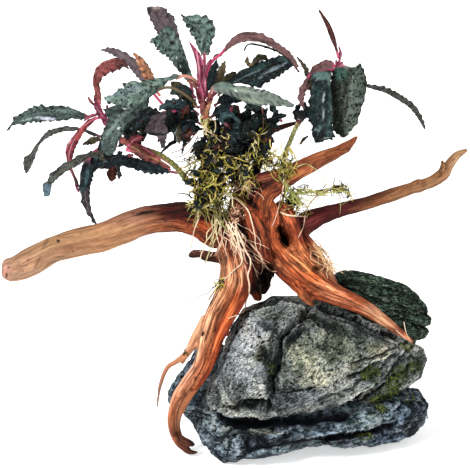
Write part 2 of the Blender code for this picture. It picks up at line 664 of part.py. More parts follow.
def build_plants(trunk_seat, left_branch_seat, right_branch_seat):
    for name, (route, colour) in rhizomes.items():
        wood_limb(name, route, colour, sides=7, knots=0.05)
    for name, shape in leaves.items():
        leaf(name, *shape)
    for name, route in roots.items():
        root(name, route)
    moss = cushion("moss_cushion", (209, 184, -5), (19, 33, 14), (0.32, 0.34, 0.06))
    seat_on(moss, trunk_seat, left_branch_seat)
    tuft = cushion("moss_tuft", (330, 191, 8), (22, 7, 6), (0.35, 0.38, 0.08))
    seat_on(tuft, right_branch_seat)
    cushion("dark_leaf_cluster", (242, 129, 0), (24, 24, 10), (0.01, 0.02, 0.02))


clear_scene()
build_stones()
build_plants(*build_driftwood())
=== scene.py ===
# Bucephalandra on driftwood: dark wavy leaves, pale roots and moss on a branching piece of driftwood that
# stands on three layered stones. Metres, +Z up. Places are given on the sketch grid of the front view:
# steps across, steps down, and depth in millimetres behind the middle plane.

import math

import bpy
import numpy as np
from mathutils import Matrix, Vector, noise
from mathutils.bvhtree import BVHTree


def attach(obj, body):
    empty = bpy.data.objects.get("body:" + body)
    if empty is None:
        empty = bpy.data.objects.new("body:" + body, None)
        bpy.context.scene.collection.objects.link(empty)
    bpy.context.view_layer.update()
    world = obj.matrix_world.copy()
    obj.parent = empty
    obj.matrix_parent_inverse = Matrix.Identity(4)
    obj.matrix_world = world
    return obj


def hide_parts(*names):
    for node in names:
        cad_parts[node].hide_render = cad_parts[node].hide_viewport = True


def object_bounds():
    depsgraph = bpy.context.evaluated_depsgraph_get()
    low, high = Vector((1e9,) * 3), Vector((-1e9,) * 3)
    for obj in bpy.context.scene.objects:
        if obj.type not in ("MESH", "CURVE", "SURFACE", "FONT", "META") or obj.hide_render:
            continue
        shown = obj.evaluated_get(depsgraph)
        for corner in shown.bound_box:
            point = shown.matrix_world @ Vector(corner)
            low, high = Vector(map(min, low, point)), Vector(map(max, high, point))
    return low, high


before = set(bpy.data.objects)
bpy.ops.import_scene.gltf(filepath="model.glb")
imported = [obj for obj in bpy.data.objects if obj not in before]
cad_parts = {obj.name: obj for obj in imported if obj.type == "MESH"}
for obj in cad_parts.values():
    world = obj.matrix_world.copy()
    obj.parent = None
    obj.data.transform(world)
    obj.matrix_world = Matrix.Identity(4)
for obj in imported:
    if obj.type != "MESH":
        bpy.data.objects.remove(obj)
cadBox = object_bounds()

mm = 0.001

grid = {
    "step": 0.297 / 464,  # m for one step at the middle of the object
    "eyeDistance": 1.0,
    "eyeRise": 10,  # degrees above the horizon
    "middle": 235,
    "middleHeight": 0.137,
    "stoneMiddle": 300,  # the step across that stands at x = 0
}

rise = math.radians(grid["eyeRise"])
forward = np.array([0, math.cos(rise), -math.sin(rise)])
upward = np.array([0, math.sin(rise), math.cos(rise)])
toViewer = -forward
gridMiddle = np.array([(grid["middle"] - grid["stoneMiddle"]) * grid["step"], 0, grid["middleHeight"]])
eye = gridMiddle - forward * grid["eyeDistance"]


def gridPoint(across, down, depth):
    # where the front view shows this place of the grid, at this depth in mm
    across, down, depth = np.broadcast_arrays(*(np.asarray(v, float) for v in (across, down, depth)))
    scale = grid["step"] / grid["eyeDistance"]
    ray = forward + (across[..., None] - grid["middle"]) * scale * np.array([1.0, 0, 0])
    ray = ray + (grid["middle"] - down[..., None]) * scale * upward
    return eye + ray * ((depth * mm - eye[1]) / ray[..., 1])[..., None]


def gridOf(points):
    # steps across and down of points in metres
    away = points - eye
    far = away @ forward
    scale = grid["eyeDistance"] / grid["step"]
    return grid["middle"] + away[:, 0] / far * scale, grid["middle"] - (away @ upward) / far * scale


def linear(hexColour):
    parts = [int(hexColour[i : i + 2], 16) / 255 for i in (1, 3, 5)]
    return np.array([c / 12.92 if c <= 0.04045 else ((c + 0.055) / 1.055) ** 2.4 for c in parts])


def smoothStep(low, high, value):
    t = np.clip((value - low) / (high - low), 0, 1)
    return t * t * (3 - 2 * t)


def mix(a, b, share):
    share = np.asarray(share, float)
    if share.ndim and np.ndim(a) + np.ndim(b) > 0 and np.shape(a)[-1:] == (3,):
        share = share[..., None]
    return a + (b - a) * share


def unit(vectors):
    return vectors / np.maximum(np.linalg.norm(vectors, axis=-1, keepdims=True), 1e-12)


def latticeValue(cells, seed):
    # the same pseudo-random number from -1 to 1 for the same cell
    x, y, z = cells[..., 0], cells[..., 1], cells[..., 2]
    h = x * 374761393 + y * 668265263 + z * 1274126177 + seed * 974634777
    h = (h ^ (h >> 13)) & 0x7FFFFFFF
    h = (h * 1103515245 + 12345) & 0x7FFFFFFF
    h = (h ^ (h >> 15)) & 0x7FFFFFFF
    h = (h * 69069 + 1) & 0x7FFFFFFF
    return ((h >> 7) & 0xFFFF) / 32767.5 - 1


def softNoise(points, size, seed=0):
    # smooth noise from -1 to 1, its lumps about size metres wide
    spot = points / size
    cell = np.floor(spot).astype(np.int64)
    t = spot - cell
    t = t * t * t * (t * (t * 6 - 15) + 10)
    total = 0
    for corner in range(8):
        offset = np.array([corner & 1, corner >> 1 & 1, corner >> 2 & 1])
        weight = np.prod(np.where(offset, t, 1 - t), axis=-1)
        total = total + weight * latticeValue(cell + offset, seed)
    return total


def roughNoise(points, size, octaves=4, seed=0, fade=0.5):
    total, strength = 0, 1
    for i in range(octaves):
        total = total + strength * softNoise(points + i * 0.137, size / 2**i, seed + i)
        strength *= fade
    return total / (1 + fade)


def evenly(points, count):
    # count points at equal steps on a smooth curve (Catmull-Rom); extra columns such as a radius go along
    points = np.asarray(points, float)
    ends = np.vstack([2 * points[0] - points[1], points, 2 * points[-1] - points[-2]])
    places = np.linspace(0, len(points) - 1, 24 * len(points))

    def at(spot):
        i = np.minimum(spot.astype(int), len(points) - 2)
        t = (spot - i)[:, None]
        a, b, c, d = ends[i], ends[i + 1], ends[i + 2], ends[i + 3]
        square, cube = 2 * a - 5 * b + 4 * c - d, 3 * b - a - 3 * c + d
        return 0.5 * (2 * b + (c - a) * t + square * t**2 + cube * t**3)

    fine = at(places)
    walk = np.concatenate([[0], np.cumsum(np.linalg.norm(np.diff(fine[:, :3], axis=0), axis=1))])
    return at(np.interp(np.linspace(0, walk[-1], count), walk, places)), walk[-1]


def frameAlong(centre):
    # direction, sideways (in the picture plane) and front of a curve's points
    along = unit(np.gradient(centre, axis=0))
    side = unit(np.cross(along, toViewer))
    return along, side, np.cross(side, along)


def loftFaces(rings, around):
    # quads between rings of points, with a fan-free cap at both ends
    i, j = np.meshgrid(np.arange(rings - 1), np.arange(around), indexing="ij")
    k = (j + 1) % around
    quads = np.stack([i * around + j, i * around + k, (i + 1) * around + k, (i + 1) * around + j],
        -1).reshape(-1, 4)
    caps = []
    for base, turn in ((0, -1), ((rings - 1) * around, 1)):
        for n in range((around - 2) // 2 + (around % 2)):
            a, b, c, d = base + n, base + n + 1, base + around - 2 - n, base + around - 1 - n
            caps.append([a, b, c, d][::turn] if b != c else [a, b, d][::turn] + [d if turn > 0 else a])
    return np.vstack([quads, np.array(caps)])


# Meshes


def meshFrom(name, points, faces):
    mesh = bpy.data.meshes.new(name)
    faces = [[v for n, v in enumerate(face) if v not in face[:n]] for face in np.asarray(faces).tolist()]
    mesh.from_pydata(np.asarray(points).tolist(), [], faces)
    mesh.validate()
    return mesh


def pointsOf(mesh):
    flat = np.zeros(len(mesh.vertices) * 3)
    mesh.vertices.foreach_get("co", flat)
    return flat.reshape(-1, 3)


def normalsOf(mesh):
    flat = np.zeros(len(mesh.vertices) * 3)
    mesh.vertex_normals.foreach_get("vector", flat)
    return flat.reshape(-1, 3)


def movePoints(mesh, points):
    mesh.vertices.foreach_set("co", np.ascontiguousarray(points, float).ravel())
    mesh.update()


def reskin(mesh, voxel, smoothing):
    # one closed skin over bodies that run into each other
    holder = bpy.data.objects.new("holder", mesh)
    bpy.context.scene.collection.objects.link(holder)
    skin = holder.modifiers.new("skin", "REMESH")
    skin.mode = "VOXEL"
    skin.voxel_size = voxel
    if smoothing:
        relax = holder.modifiers.new("relax", "SMOOTH")
        relax.factor = 0.5
        relax.iterations = smoothing
    result = bpy.data.meshes.new_from_object(holder.evaluated_get(bpy.context.evaluated_depsgraph_get()))
    bpy.data.objects.remove(holder)
    bpy.data.meshes.remove(mesh)
    return result


def addPiece(name, mesh, material, slot, nodes, **attributes):
    # an object that rides on the part, kept inside the part's box
    inset = 0.0001
    low, high = np.array(cadBox[0]) + inset, np.array(cadBox[1]) - inset
    movePoints(mesh, np.clip(pointsOf(mesh), low, high))
    mesh.shade_smooth()
    mesh.materials.clear()
    mesh.materials.append(material)
    for key, values in attributes.items():
        values = np.asarray(values, np.float32)
        if values.ndim == 2 and key == "tone":
            values = np.hstack([np.clip(values, 0, 1), np.ones((len(values), 1), np.float32)])
            mesh.attributes.new(key, "FLOAT_COLOR", "POINT").data.foreach_set("color", values.ravel())
        elif values.ndim == 2:
            mesh.attributes.new(key, "FLOAT_VECTOR", "POINT").data.foreach_set("vector", values.ravel())
        else:
            mesh.attributes.new(key, "FLOAT", "POINT").data.foreach_set("value", values)
    piece = bpy.data.objects.new(name, mesh)
    bpy.context.scene.collection.objects.link(piece)
    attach(piece, "root")
    if nodes:
        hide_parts(*nodes)
    return piece


# Materials


def addNode(tree, kind, settings=None, **inputs):
    # inputs: a socket links, anything else is set; i0, i1 and so on pick an input by its place
    node = tree.nodes.new("ShaderNode" + kind)
    for key, value in (settings or {}).items():
        if key == "stops":
            ramp = node.color_ramp.elements
            while len(ramp) < len(value):
                ramp.new(1)
            for element, (position, colour) in zip(ramp, value):
                element.position = position
                tone = linear(colour) if isinstance(colour, str) else [colour] * 3
                element.color = (*tone, 1)
        else:
            setattr(node, key, value)
    for key, value in inputs.items():
        numbered = key[0] == "i" and key[1:].isdigit()
        socket = node.inputs[int(key[1:]) if numbered else key.replace("_", " ")]
        if isinstance(value, bpy.types.NodeSocket):
            tree.links.new(value, socket)
        else:
            socket.default_value = (*linear(value), 1) if isinstance(value, str) else value
    return node


# what a Mix node does with two colours
blended = {"data_type": "RGBA"}
multiplied = {"data_type": "RGBA", "blend_type": "MULTIPLY"}
summed = {"data_type": "RGBA", "blend_type": "ADD"}


def newMaterial(name):
    material = bpy.data.materials.new(name)
    material.use_nodes = True
    tree = material.node_tree
    tree.nodes.clear()
    return material, tree


def finishMaterial(tree, shader):
    addNode(tree, "OutputMaterial", Surface=shader.outputs[0])


def driftwoodMaterial():
    # red root wood, stripped of its bark and weathered in water: fine open grain along every limb, dark
    # checks, matt. Its real fibres are 0.2 mm wide and are drawn four times as coarse, the finest that the
    # render shows.
    look = {
        "fibre": 0.8 * mm, "check": 1.9 * mm, "strand": 3.2 * mm, "length": 30 * mm, "mottle": 7 * mm,
        "fibreAmount": 0.75, "checkAmount": 0.8, "strandAmount": 0.6, "mottleAmount": 0.6,
        "hollowShade": "#0b0504",
    }
    material, tree = newMaterial("driftwoodWeatheredGrain")
    tone = addNode(tree, "Attribute", {"attribute_name": "tone"})
    grain = addNode(tree, "Attribute", {"attribute_name": "grain"})
    hollow = addNode(tree, "Attribute", {"attribute_name": "hollow"})
    rugged = addNode(tree, "Attribute", {"attribute_name": "rugged"})
    place = addNode(tree, "TexCoord")

    def stretched(width):
        scale = (1 / width, 1 / width, 1 / look["length"])
        return addNode(tree, "Mapping", Vector=grain.outputs["Vector"], Scale=scale)

    fibre = addNode(
        tree, "TexNoise", Vector=stretched(look["fibre"]).outputs[0], Scale=1, Detail=4, Roughness=0.6,
        Distortion=0.3
    )
    check = addNode(
        tree, "TexNoise", Vector=stretched(look["check"]).outputs[0], Scale=1, Detail=5, Roughness=0.65,
        Distortion=0.8
    )
    strand = addNode(tree, "TexNoise", Vector=stretched(look["strand"]).outputs[0], Scale=1, Detail=5,
        Roughness=0.6, Distortion=0.5)
    strandShade = addNode(tree, "ValToRGB",
        {"stops": [(0.36, "#6c4034"), (0.45, "#d8b4a4"), (0.52, "#ffffff"), (0.66, "#ffe4d0")]},
        Fac=strand.outputs[0])
    mottle = addNode(tree, "TexNoise", Vector=place.outputs["Object"], Scale=1 / look["mottle"], Detail=6,
        Roughness=0.66)
    fibreShade = addNode(
        tree, "ValToRGB",
        {"stops": [(0.30, "#5c463c"), (0.42, "#b8a498"), (0.52, "#ffffff"), (0.66, "#ffffff")]},
        Fac=fibre.outputs[0],
    )
    checkShade = addNode(
        tree,
        "ValToRGB",
        {"stops": [(0.33, "#ffffff"), (0.39, "#d8b8a8"), (0.43, "#2c120c"), (0.46, "#c49c88"),
            (0.54, "#ffffff")]},
        Fac=check.outputs[0],
    )
    mottleShade = addNode(
        tree, "ValToRGB", {"stops": [(0.30, "#8c6458"), (0.48, "#ffffff"), (0.72, "#fff4e2")]},
        Fac=mottle.outputs[0]
    )
    colour = tone.outputs["Color"]
    for shade, amount in (
        (fibreShade, look["fibreAmount"]), (checkShade, look["checkAmount"]),
        (strandShade, look["strandAmount"]), (mottleShade, look["mottleAmount"]),
    ):
        share = addNode(tree, "Math", {"operation": "MULTIPLY"}, i0=rugged.outputs["Fac"], i1=amount)
        step = addNode(tree, "Mix", multiplied, i0=share.outputs[0], i6=colour, i7=shade.outputs[0])
        colour = step.outputs[2]
    # painted shade: the hollow attribute darkens the hollows and groove bottoms towards this near black
    dark = addNode(tree, "Mix", blended, i0=hollow.outputs["Fac"], i6=colour, i7=look["hollowShade"])
    relief = addNode(tree, "Math", {"operation": "MULTIPLY_ADD"}, i0=check.outputs[0], i1=1.6,
        i2=fibre.outputs[0])
    bump = addNode(tree, "Bump", Height=relief.outputs[0], Strength=0.9, Distance=0.8 * mm)
    rough = addNode(tree, "MapRange", i0=mottle.outputs[0], i1=0.3, i2=0.7, i3=0.55, i4=0.78)
    shader = addNode(
        tree,
        "BsdfPrincipled",
        Base_Color=dark.outputs[2],
        Roughness=rough.outputs[0],
        Normal=bump.outputs[0],
        Specular_IOR_Level=0.15,
        IOR=1.5,
    )
    finishMaterial(tree, shader)
    return material


def slateMaterial(name, look):
    # layered slate, broken along its beds and worn by water: speckled grey crust over a dark core, pits and
    # hairlines. The black in the pits is painted shade. Its real grit is under 0.5 mm; it is drawn two to
    # five times as coarse, the finest that the render shows.
    material, tree = newMaterial(name)
    tone = addNode(tree, "Attribute", {"attribute_name": "tone"})
    hollow = addNode(tree, "Attribute", {"attribute_name": "hollow"})
    place = addNode(tree, "TexCoord")
    turned = addNode(tree, "Mapping", Vector=place.outputs["Object"],
        Rotation=(0, math.radians(-look["slant"]), 0))
    beds = addNode(tree, "Mapping", Vector=turned.outputs[0], Scale=(1, 1, look["streak"]))
    speck = addNode(tree, "TexNoise", Vector=beds.outputs[0], Scale=1.0 / look["speck"], Detail=7,
        Roughness=0.7, Distortion=0.5)
    grain = addNode(tree, "TexNoise", Vector=beds.outputs[0], Scale=0.8 / look["grain"], Detail=4,
        Roughness=0.65)
    cloud = addNode(tree, "TexNoise", Vector=place.outputs["Object"], Scale=1 / look["cloud"], Detail=5,
        Roughness=0.6)
    vein = addNode(
        tree, "TexVoronoi", {"feature": "DISTANCE_TO_EDGE"}, Vector=cloudWarp(tree, place, look["vein"]),
        Scale=1
    )
    pit = addNode(tree, "TexVoronoi", Vector=cloudWarp(tree, place, look["pit"]), Scale=1, Randomness=1)
    speckShade = addNode(tree, "ValToRGB", {"stops": look["speckStops"]}, Fac=speck.outputs[0])
    grainShade = addNode(tree, "ValToRGB", {"stops": look["grainStops"]}, Fac=grain.outputs[0])
    cloudShade = addNode(tree, "ValToRGB", {"stops": look["cloudStops"]}, Fac=cloud.outputs[0])
    veinShade = addNode(tree, "ValToRGB", {"stops": [(0.0, look["veinTone"]), (0.04, 1.0)]},
        Fac=vein.outputs[0])
    pitShade = addNode(tree, "ValToRGB", {"stops": [(0.14, 0.05), (0.30, 1.0)]}, Fac=pit.outputs[0])
    colour = tone.outputs["Color"]
    for shade, amount in (
        (speckShade, 1.0), (grainShade, 0.9), (cloudShade, 0.9), (veinShade, 0.5),
        (pitShade, look["pitAmount"])
    ):
        step = addNode(tree, "Mix", multiplied, i0=amount, i6=colour, i7=shade.outputs[0])
        colour = step.outputs[2]
    fleck = addNode(tree, "TexNoise", Vector=beds.outputs[0], Scale=0.6 / look["speck"], Detail=8,
        Roughness=0.75, Distortion=1.2)
    fleckCover = addNode(tree, "ValToRGB", {"stops": [(0.585, 0.0), (0.66, look["fleckAmount"])]},
        Fac=fleck.outputs[0])
    flecked = addNode(tree, "Mix", blended, i0=fleckCover.outputs[0], i6=colour, i7=look["fleck"])
    # painted shade: the hollow attribute darkens creases, ledge feet and low relief towards near black
    dark = addNode(tree, "Mix", blended, i0=hollow.outputs["Fac"], i6=flecked.outputs[2], i7="#03050a")
    relief = addNode(tree, "Math", {"operation": "MULTIPLY_ADD"}, i0=speck.outputs[0], i1=2.6,
        i2=grain.outputs[0])
    bump = addNode(tree, "Bump", Height=relief.outputs[0], Strength=0.9, Distance=0.8 * mm)
    shader = addNode(
        tree,
        "BsdfPrincipled",
        Base_Color=dark.outputs[2],
        Roughness=look["roughness"],
        Normal=bump.outputs[0],
        Specular_IOR_Level=look["gloss"],
        IOR=1.55,
    )
    finishMaterial(tree, shader)
    return material


def cloudWarp(tree, place, size):
    # object coordinates in units of size, bent a little so that the hairlines don't run straight
    bend = addNode(tree, "TexNoise", Vector=place.outputs["Object"], Scale=1 / (size * 0.8), Detail=3)
    shift = addNode(tree, "VectorMath", {"operation": "MULTIPLY_ADD"}, i0=bend.outputs[1],
        i1=(size, size, size), i2=place.outputs["Object"])
    return addNode(tree, "Mapping", Vector=shift.outputs[0],
        Scale=(1 / size, 1 / size, 1.6 / size)).outputs[0]


# Driftwood

limbs = {
    # name: route of (across, down, depth, radius); flat: thickness front to back over height, 1 if not
    # given; colours along the route: share, colour on the left of the way along it as seen from the front,
    # colour on the right; the two sides differ partly in the wood's own colour and partly as painted light
    # and shade, a lit side and a shaded side
    "trunk": {
        "route": [(241, 182, -5, 6), (244, 190, -4, 12), (247, 202, -2, 20), (250, 214, 0, 29),
            (252, 226, 0, 35), (254, 238, 0, 37), (256, 249, 0, 33), (258, 259, 0, 25), (260, 268, 1, 15)],
        "flat": 0.58,
        "colours": [(0, "#5a2f22", "#6e3826"), (0.5, "#8a4a30", "#8e4429"), (1, "#4a2015", "#7a3a22")],
    },
    "stub": {
        "route": [(226, 258, -3, 7), (212, 257, -7, 5.4), (206, 256, -8, 5.6), (200, 253.5, -9, 4.2),
            (194, 254, -9, 4.4), (189, 256, -10, 2.6)],
        "colours": [(0, "#7a4a38", "#5c3426"), (1, "#4a3028", "#2e1c16")],
    },
    "leftBranch": {
        "route": [(228, 232, 0, 17), (214, 228, -1, 18.5), (200, 221, -3, 16), (175, 217.5, -6, 14.5),
            (150, 220, -10, 14.5), (125, 228, -14, 15), (100, 238, -18, 14), (75, 243, -21, 13.5),
            (52, 250, -24, 13), (36, 259, -26, 14), (20, 267, -27, 12.8), (10, 270, -28, 11.4),
            (6, 271, -28, 10.0), (3.2, 271.5, -28, 7.0)],
        "colours": [(0, "#2a100c", "#8a4526"), (0.10, "#35140f", "#a8572f"), (0.20, "#3c1712", "#a2532f"),
            (0.30, "#683a2e", "#885640"), (0.42, "#8c6450", "#a87c5a"), (0.55, "#a87c5a", "#b88c66"),
            (0.8, "#a5825f", "#b08d6d"), (1, "#a08068", "#b08c74")],
    },
    "upperBranch": {
        "route": [(250, 203, -4, 14), (262, 191, -5, 15), (276, 182, -7, 12.5), (290, 175, -9, 9.5),
            (305, 166.5, -12, 8.5), (322, 158.5, -15, 7), (338, 151.5, -18, 6), (350, 143.5, -20, 4.4),
            (358, 135.5, -21, 1.4)],
        "colours": [(0, "#5a241a", "#5a2018"), (0.3, "#8a4630", "#a85834"), (0.7, "#8e5a42", "#a0643e"),
            (1, "#8a5030", "#7a4024")],
    },
    "rightBranch": {
        "route": [(284, 232, 3, 13), (296, 230, 4, 12), (308, 222, 6, 11), (322, 215.5, 8, 9),
            (340, 210, 10, 7.5), (360, 205, 13, 7), (380, 199, 16, 7), (400, 192, 19, 6.6),
            (412, 188, 21, 6), (418, 186, 22, 7), (424, 184.5, 23, 6), (433, 181, 24, 6.4),
            (443, 174, 26, 7), (448, 166, 27, 5.6), (456, 156, 28, 4.4), (467, 149.5, 30, 2.2)],
        "colours": [(0, "#7a3420", "#5a1e16"), (0.18, "#4a181a", "#5c2024"), (0.36, "#3a1416", "#5a2420"),
            (0.46, "#8c6040", "#74442e"), (0.65, "#a67e58", "#8b6342"), (1, "#b59473", "#947450")],
    },
    "leftLeg": {
        "route": [(233, 250, -1, 17), (236, 263, -4, 15), (235, 279, -7, 14), (229, 297, -12, 13.5),
            (220, 315, -16, 13), (211, 335, -20, 11), (206, 352, -23, 9), (201, 368, -26, 9),
            (191, 383, -29, 9.5), (180, 400, -31, 9), (174.5, 415, -32, 7.5), (175, 430, -32, 6.2),
            (181, 443, -32, 5.4), (189, 451, -32, 3.2)],
        "flat": 0.9,
        "colours": [(0, "#a8684a", "#743824"), (0.15, "#dca27a", "#b45c34"), (0.4, "#e4b494", "#c4683a"),
            (0.62, "#e8b494", "#d0845a"), (0.78, "#dc9670", "#b8724a"), (0.88, "#b06a4c", "#5a2e1c"),
            (1, "#5a3424", "#2a120c")],
    },
    "legTwig": {
        "route": [(207, 318, -20, 6), (196, 338, -26, 5.6), (187, 353, -30, 4), (177, 361, -31, 2.9),
            (167, 368, -31, 2.6), (160, 386, -31, 2.2), (157, 408, -31, 1.5)],
        "colours": [(0, "#d8a884", "#c88a60"), (0.4, "#c8906a", "#b07850"), (0.7, "#a07058", "#8a5c48"),
            (1, "#8c7c70", "#7a685c")],
    },
    "legSliver": {
        "route": [(196, 340, -27, 4), (191, 348, -29, 2.4), (185, 359, -30, 1.8), (180.5, 369, -30.5, 0.7)],
        "colours": [(0, "#d8a884", "#c88a60"), (1, "#b09078", "#8a6c58")],
    },
    "rightLeg": {
        "route": [(273, 240, -3, 20), (284, 252, -7, 19), (297, 268, -11, 16), (311, 284, -14, 12.5),
            (325, 291.5, -16, 9.2), (342, 298.5, -18, 7.8), (360, 307, -20, 6.8), (378, 317, -21, 5.6),
            (393, 328, -22, 4.3), (405, 336, -23, 3.2), (414, 343, -24, 1.3)],
        "flat": 0.8,
        "colours": [(0, "#b06238", "#a05030"), (0.25, "#f0a070", "#cc6c40"), (0.5, "#f0a47c", "#d4784c"),
            (0.75, "#e8946c", "#d07048"), (1, "#d89068", "#b87050")],
    },
    "legSpur": {
        "route": [(296, 284, -17, 7), (304, 294, -19, 5.5), (309, 301, -19, 4), (314, 306.5, -19, 1.6)],
        "flat": 0.9,
        "colours": [(0, "#b86840", "#8a4024"), (1, "#b87c54", "#7a4a30")],
    },
    # the back leg and the drip behind the legs are coloured near black: painted shade in the cavity between
    # the legs
    "backLeg": {
        "route": [(262, 252, 10, 12), (263, 266, 14, 12), (264, 279, 18, 9.5), (262, 292, 22, 5)],
        "colours": [(0, "#2a100a", "#200c08"), (0.6, "#4a2014", "#2a100a"), (1, "#5a2a18", "#3a1810")],
    },
    "backKnee": {
        "route": [(250, 276, 6, 9), (255, 290, 8, 7), (259, 299, 10, 4.5)],
        "colours": [(0, "#6a3018", "#3a180c"), (1, "#c07048", "#8a4426")],
    },
    "backDrip": {
        "route": [(270, 272, 2, 3.2), (269.5, 281, 2, 1.8), (269, 289, 3, 1.3), (270, 295, 3, 0.9)],
        "colours": [(0, "#3a1810", "#200c08"), (1, "#5a3020", "#3a1c12")],
    },
    "backTwig": {
        "route": [(250, 196, 6, 8), (254, 178, 13, 6), (258, 160, 19, 4.6), (263, 143, 21, 4),
            (272, 131, 22, 3.6), (285, 126, 23, 3.2), (299, 122, 24, 2)],
        "colours": [(0, "#4a2820", "#3a1c16"), (1, "#4a3024", "#3a2218")],
    },
    # strands that stand out of the trunk and legs
    "noseRidge": {
        "route": [(243, 188, -12, 5), (250, 182, -14, 5.4), (260, 178, -16, 5.6), (272, 175, -16, 5),
            (286, 170.5, -15, 4), (302, 163.5, -16, 3)],
        "colours": [(0, "#6a3a3c", "#4a2024"), (0.35, "#c07a66", "#5a2020"), (0.7, "#a8624a", "#6a2e22"),
            (1, "#a06a50", "#8a5034")],
    },
    "armStrand": {
        "route": [(264, 216, -18, 8), (262, 204, -18, 8.6), (267, 193, -17, 8.6), (279, 185, -16, 7.4),
            (294, 177, -16, 5.4), (312, 167, -18, 4)],
        "flat": 0.9,
        "colours": [(0, "#a85834", "#a04c2a"), (0.3, "#c07244", "#b0602e"), (0.6, "#b8704a", "#b46a3c"),
            (1, "#a86c48", "#a46038")],
    },
    "centreColumn": {
        "route": [(247, 206, -13, 5), (253, 216, -17, 8), (260, 230, -19.5, 9.5), (264, 245, -19, 9),
            (267, 259, -15, 6.5), (270, 268, -12, 4)],
        "flat": 0.8,
        "colours": [(0, "#7a5038", "#8a4c30"), (0.5, "#8e4e30", "#a05430"), (1, "#8a4024", "#7a3a20")],
    },
    "leftColumn": {
        "route": [(232, 222, -14, 8), (236, 236, -15.5, 8.5), (240, 250, -15, 8), (244, 264, -13.5, 8),
            (245, 282, -15, 7), (240, 299, -19, 6.5),
                  (229, 318, -25, 6), (219, 338, -29, 5.5), (212, 357, -32, 5), (205, 373, -34, 4.6),
                  (194, 388, -36, 4)],
        "flat": 0.9,
        "colours": [(0, "#6a3422", "#7a4028"), (0.25, "#a8562c", "#8a3c20"), (0.45, "#c06a38", "#a04a20"),
            (0.7, "#c87444", "#b04e24"), (1, "#cf8458", "#b05a34")],
    },
    "paleRidge": {
        "route": [(222, 244, -9, 6), (226, 258, -12, 8), (228, 276, -16, 8.4), (222, 295, -21, 8),
            (212, 315, -25, 7), (206, 335, -28, 6),
                  (202, 352, -31, 5), (197, 368, -34, 5), (186, 386, -37, 5), (177, 402, -38, 4.6),
                  (172.5, 418, -37, 4), (174, 434, -36, 3.4)],
        "flat": 0.8,
        "colours": [(0, "#8a5a40", "#a06044"), (0.2, "#e0b48e", "#cf8e60"), (0.5, "#e2b896", "#d49a70"),
            (0.7, "#e4b294", "#dca07a"), (0.85, "#cf8e68", "#c07c54"), (1, "#7a4a34", "#6a3c28")],
    },
    "holeLip": {
        "route": [(268, 204, -16, 7), (272, 216, -18.5, 7.4), (273.5, 230, -20, 6), (276, 243, -20.5, 6),
            (285, 255, -21, 8), (298, 267, -22, 8.6),
                  (312, 279, -22, 7), (330, 289.5, -23, 5), (352, 299.5, -24.5, 4), (374, 311.5, -26, 3.4),
                  (396, 327, -26, 2.4)],
        "flat": 0.8,
        "colours": [(0, "#a8582e", "#b0602e"), (0.3, "#b8663a", "#b05a30"), (0.5, "#dc8c58", "#c8703e"),
            (0.75, "#d88c64", "#c06c44"), (1, "#d08a68", "#b8663e")],
    },
    "outerLip": {
        "route": [(278, 204, -10, 6), (288, 215, -13, 7.5), (294, 229, -15, 7), (297, 241, -16, 6),
            (303, 252, -17, 6.5), (314, 265, -17, 6), (322, 275, -17, 5),
                  (334, 286, -19, 4), (356, 298, -22, 4), (380, 313, -24, 3), (404, 333, -25, 2)],
        "flat": 0.8,
        "colours": [(0, "#8a4024", "#7a3420"), (0.25, "#b05c34", "#a04c2a"), (0.5, "#c88a64", "#9a5c3c"),
            (0.75, "#cc8058", "#c06c44"), (1, "#c07850", "#a86040")],
    },
    "rim": {
        "route": [(297, 226, -4, 6), (304, 238, -7, 6), (313, 249, -9, 6), (322, 262, -11, 5.6),
            (329, 274, -12, 5), (334, 284, -15, 4)],
        "flat": 0.9,
        "colours": [(0, "#6a2c20", "#5a241c"), (0.4, "#a8643c", "#9a6a50"), (1, "#b08468", "#a07c64")],
    },
    "undersideRidge": {
        "route": [(272, 262, -10, 6), (284, 274, -14, 7), (297, 284, -17, 7), (312, 292.5, -19, 5.6),
            (330, 299, -21, 4.4), (350, 306, -22.5, 4), (372, 317, -24, 3), (394, 331, -25, 2.2)],
        "flat": 0.8,
        "colours": [(0, "#7a3018", "#5a200f"), (0.3, "#b85e34", "#9a4824"), (0.7, "#c8704a", "#a85030"),
            (1, "#c07850", "#a05c3a")],
    },
    "legNub": {
        "route": [(222, 330, -22, 5), (226, 332, -25, 4.4), (228.5, 335, -26, 2.6)],
        "colours": [(0, "#7a4034", "#6a342c"), (1, "#b07c74", "#7a4440")],
    },
    "toeFork": {
        "route": [(181, 440, -34, 4.4), (189, 443, -35, 3.6), (194, 444.5, -35, 2.6)],
        "colours": [(0, "#5a3020", "#3a1c12"), (1, "#3a2018", "#20100c")],
    },
    "toe": {
        "route": [(182, 444, -33, 4.5), (188, 451, -33, 3.4), (194, 452.5, -33, 2.2),
            (198.5, 451.5, -33, 1)],
        "colours": [(0, "#6a4030", "#4a2a1c"), (1, "#4a2e22", "#2e1a14")],
    },
    "armSplit": {
        "route": [(330, 155, -19, 4.4), (341, 152.5, -21, 3.4), (351, 150, -22, 1.2)],
        "colours": [(0, "#8a5a3c", "#9a6440"), (1, "#8a5434", "#7a4628")],
    },
    "branchStub": {
        "route": [(441, 176, 24, 4), (442.5, 166, 24, 3), (442, 160, 24, 1.6)],
        "colours": [(0, "#a07c58", "#8e6844"), (1, "#b8946c", "#8e6844")],
    },
}

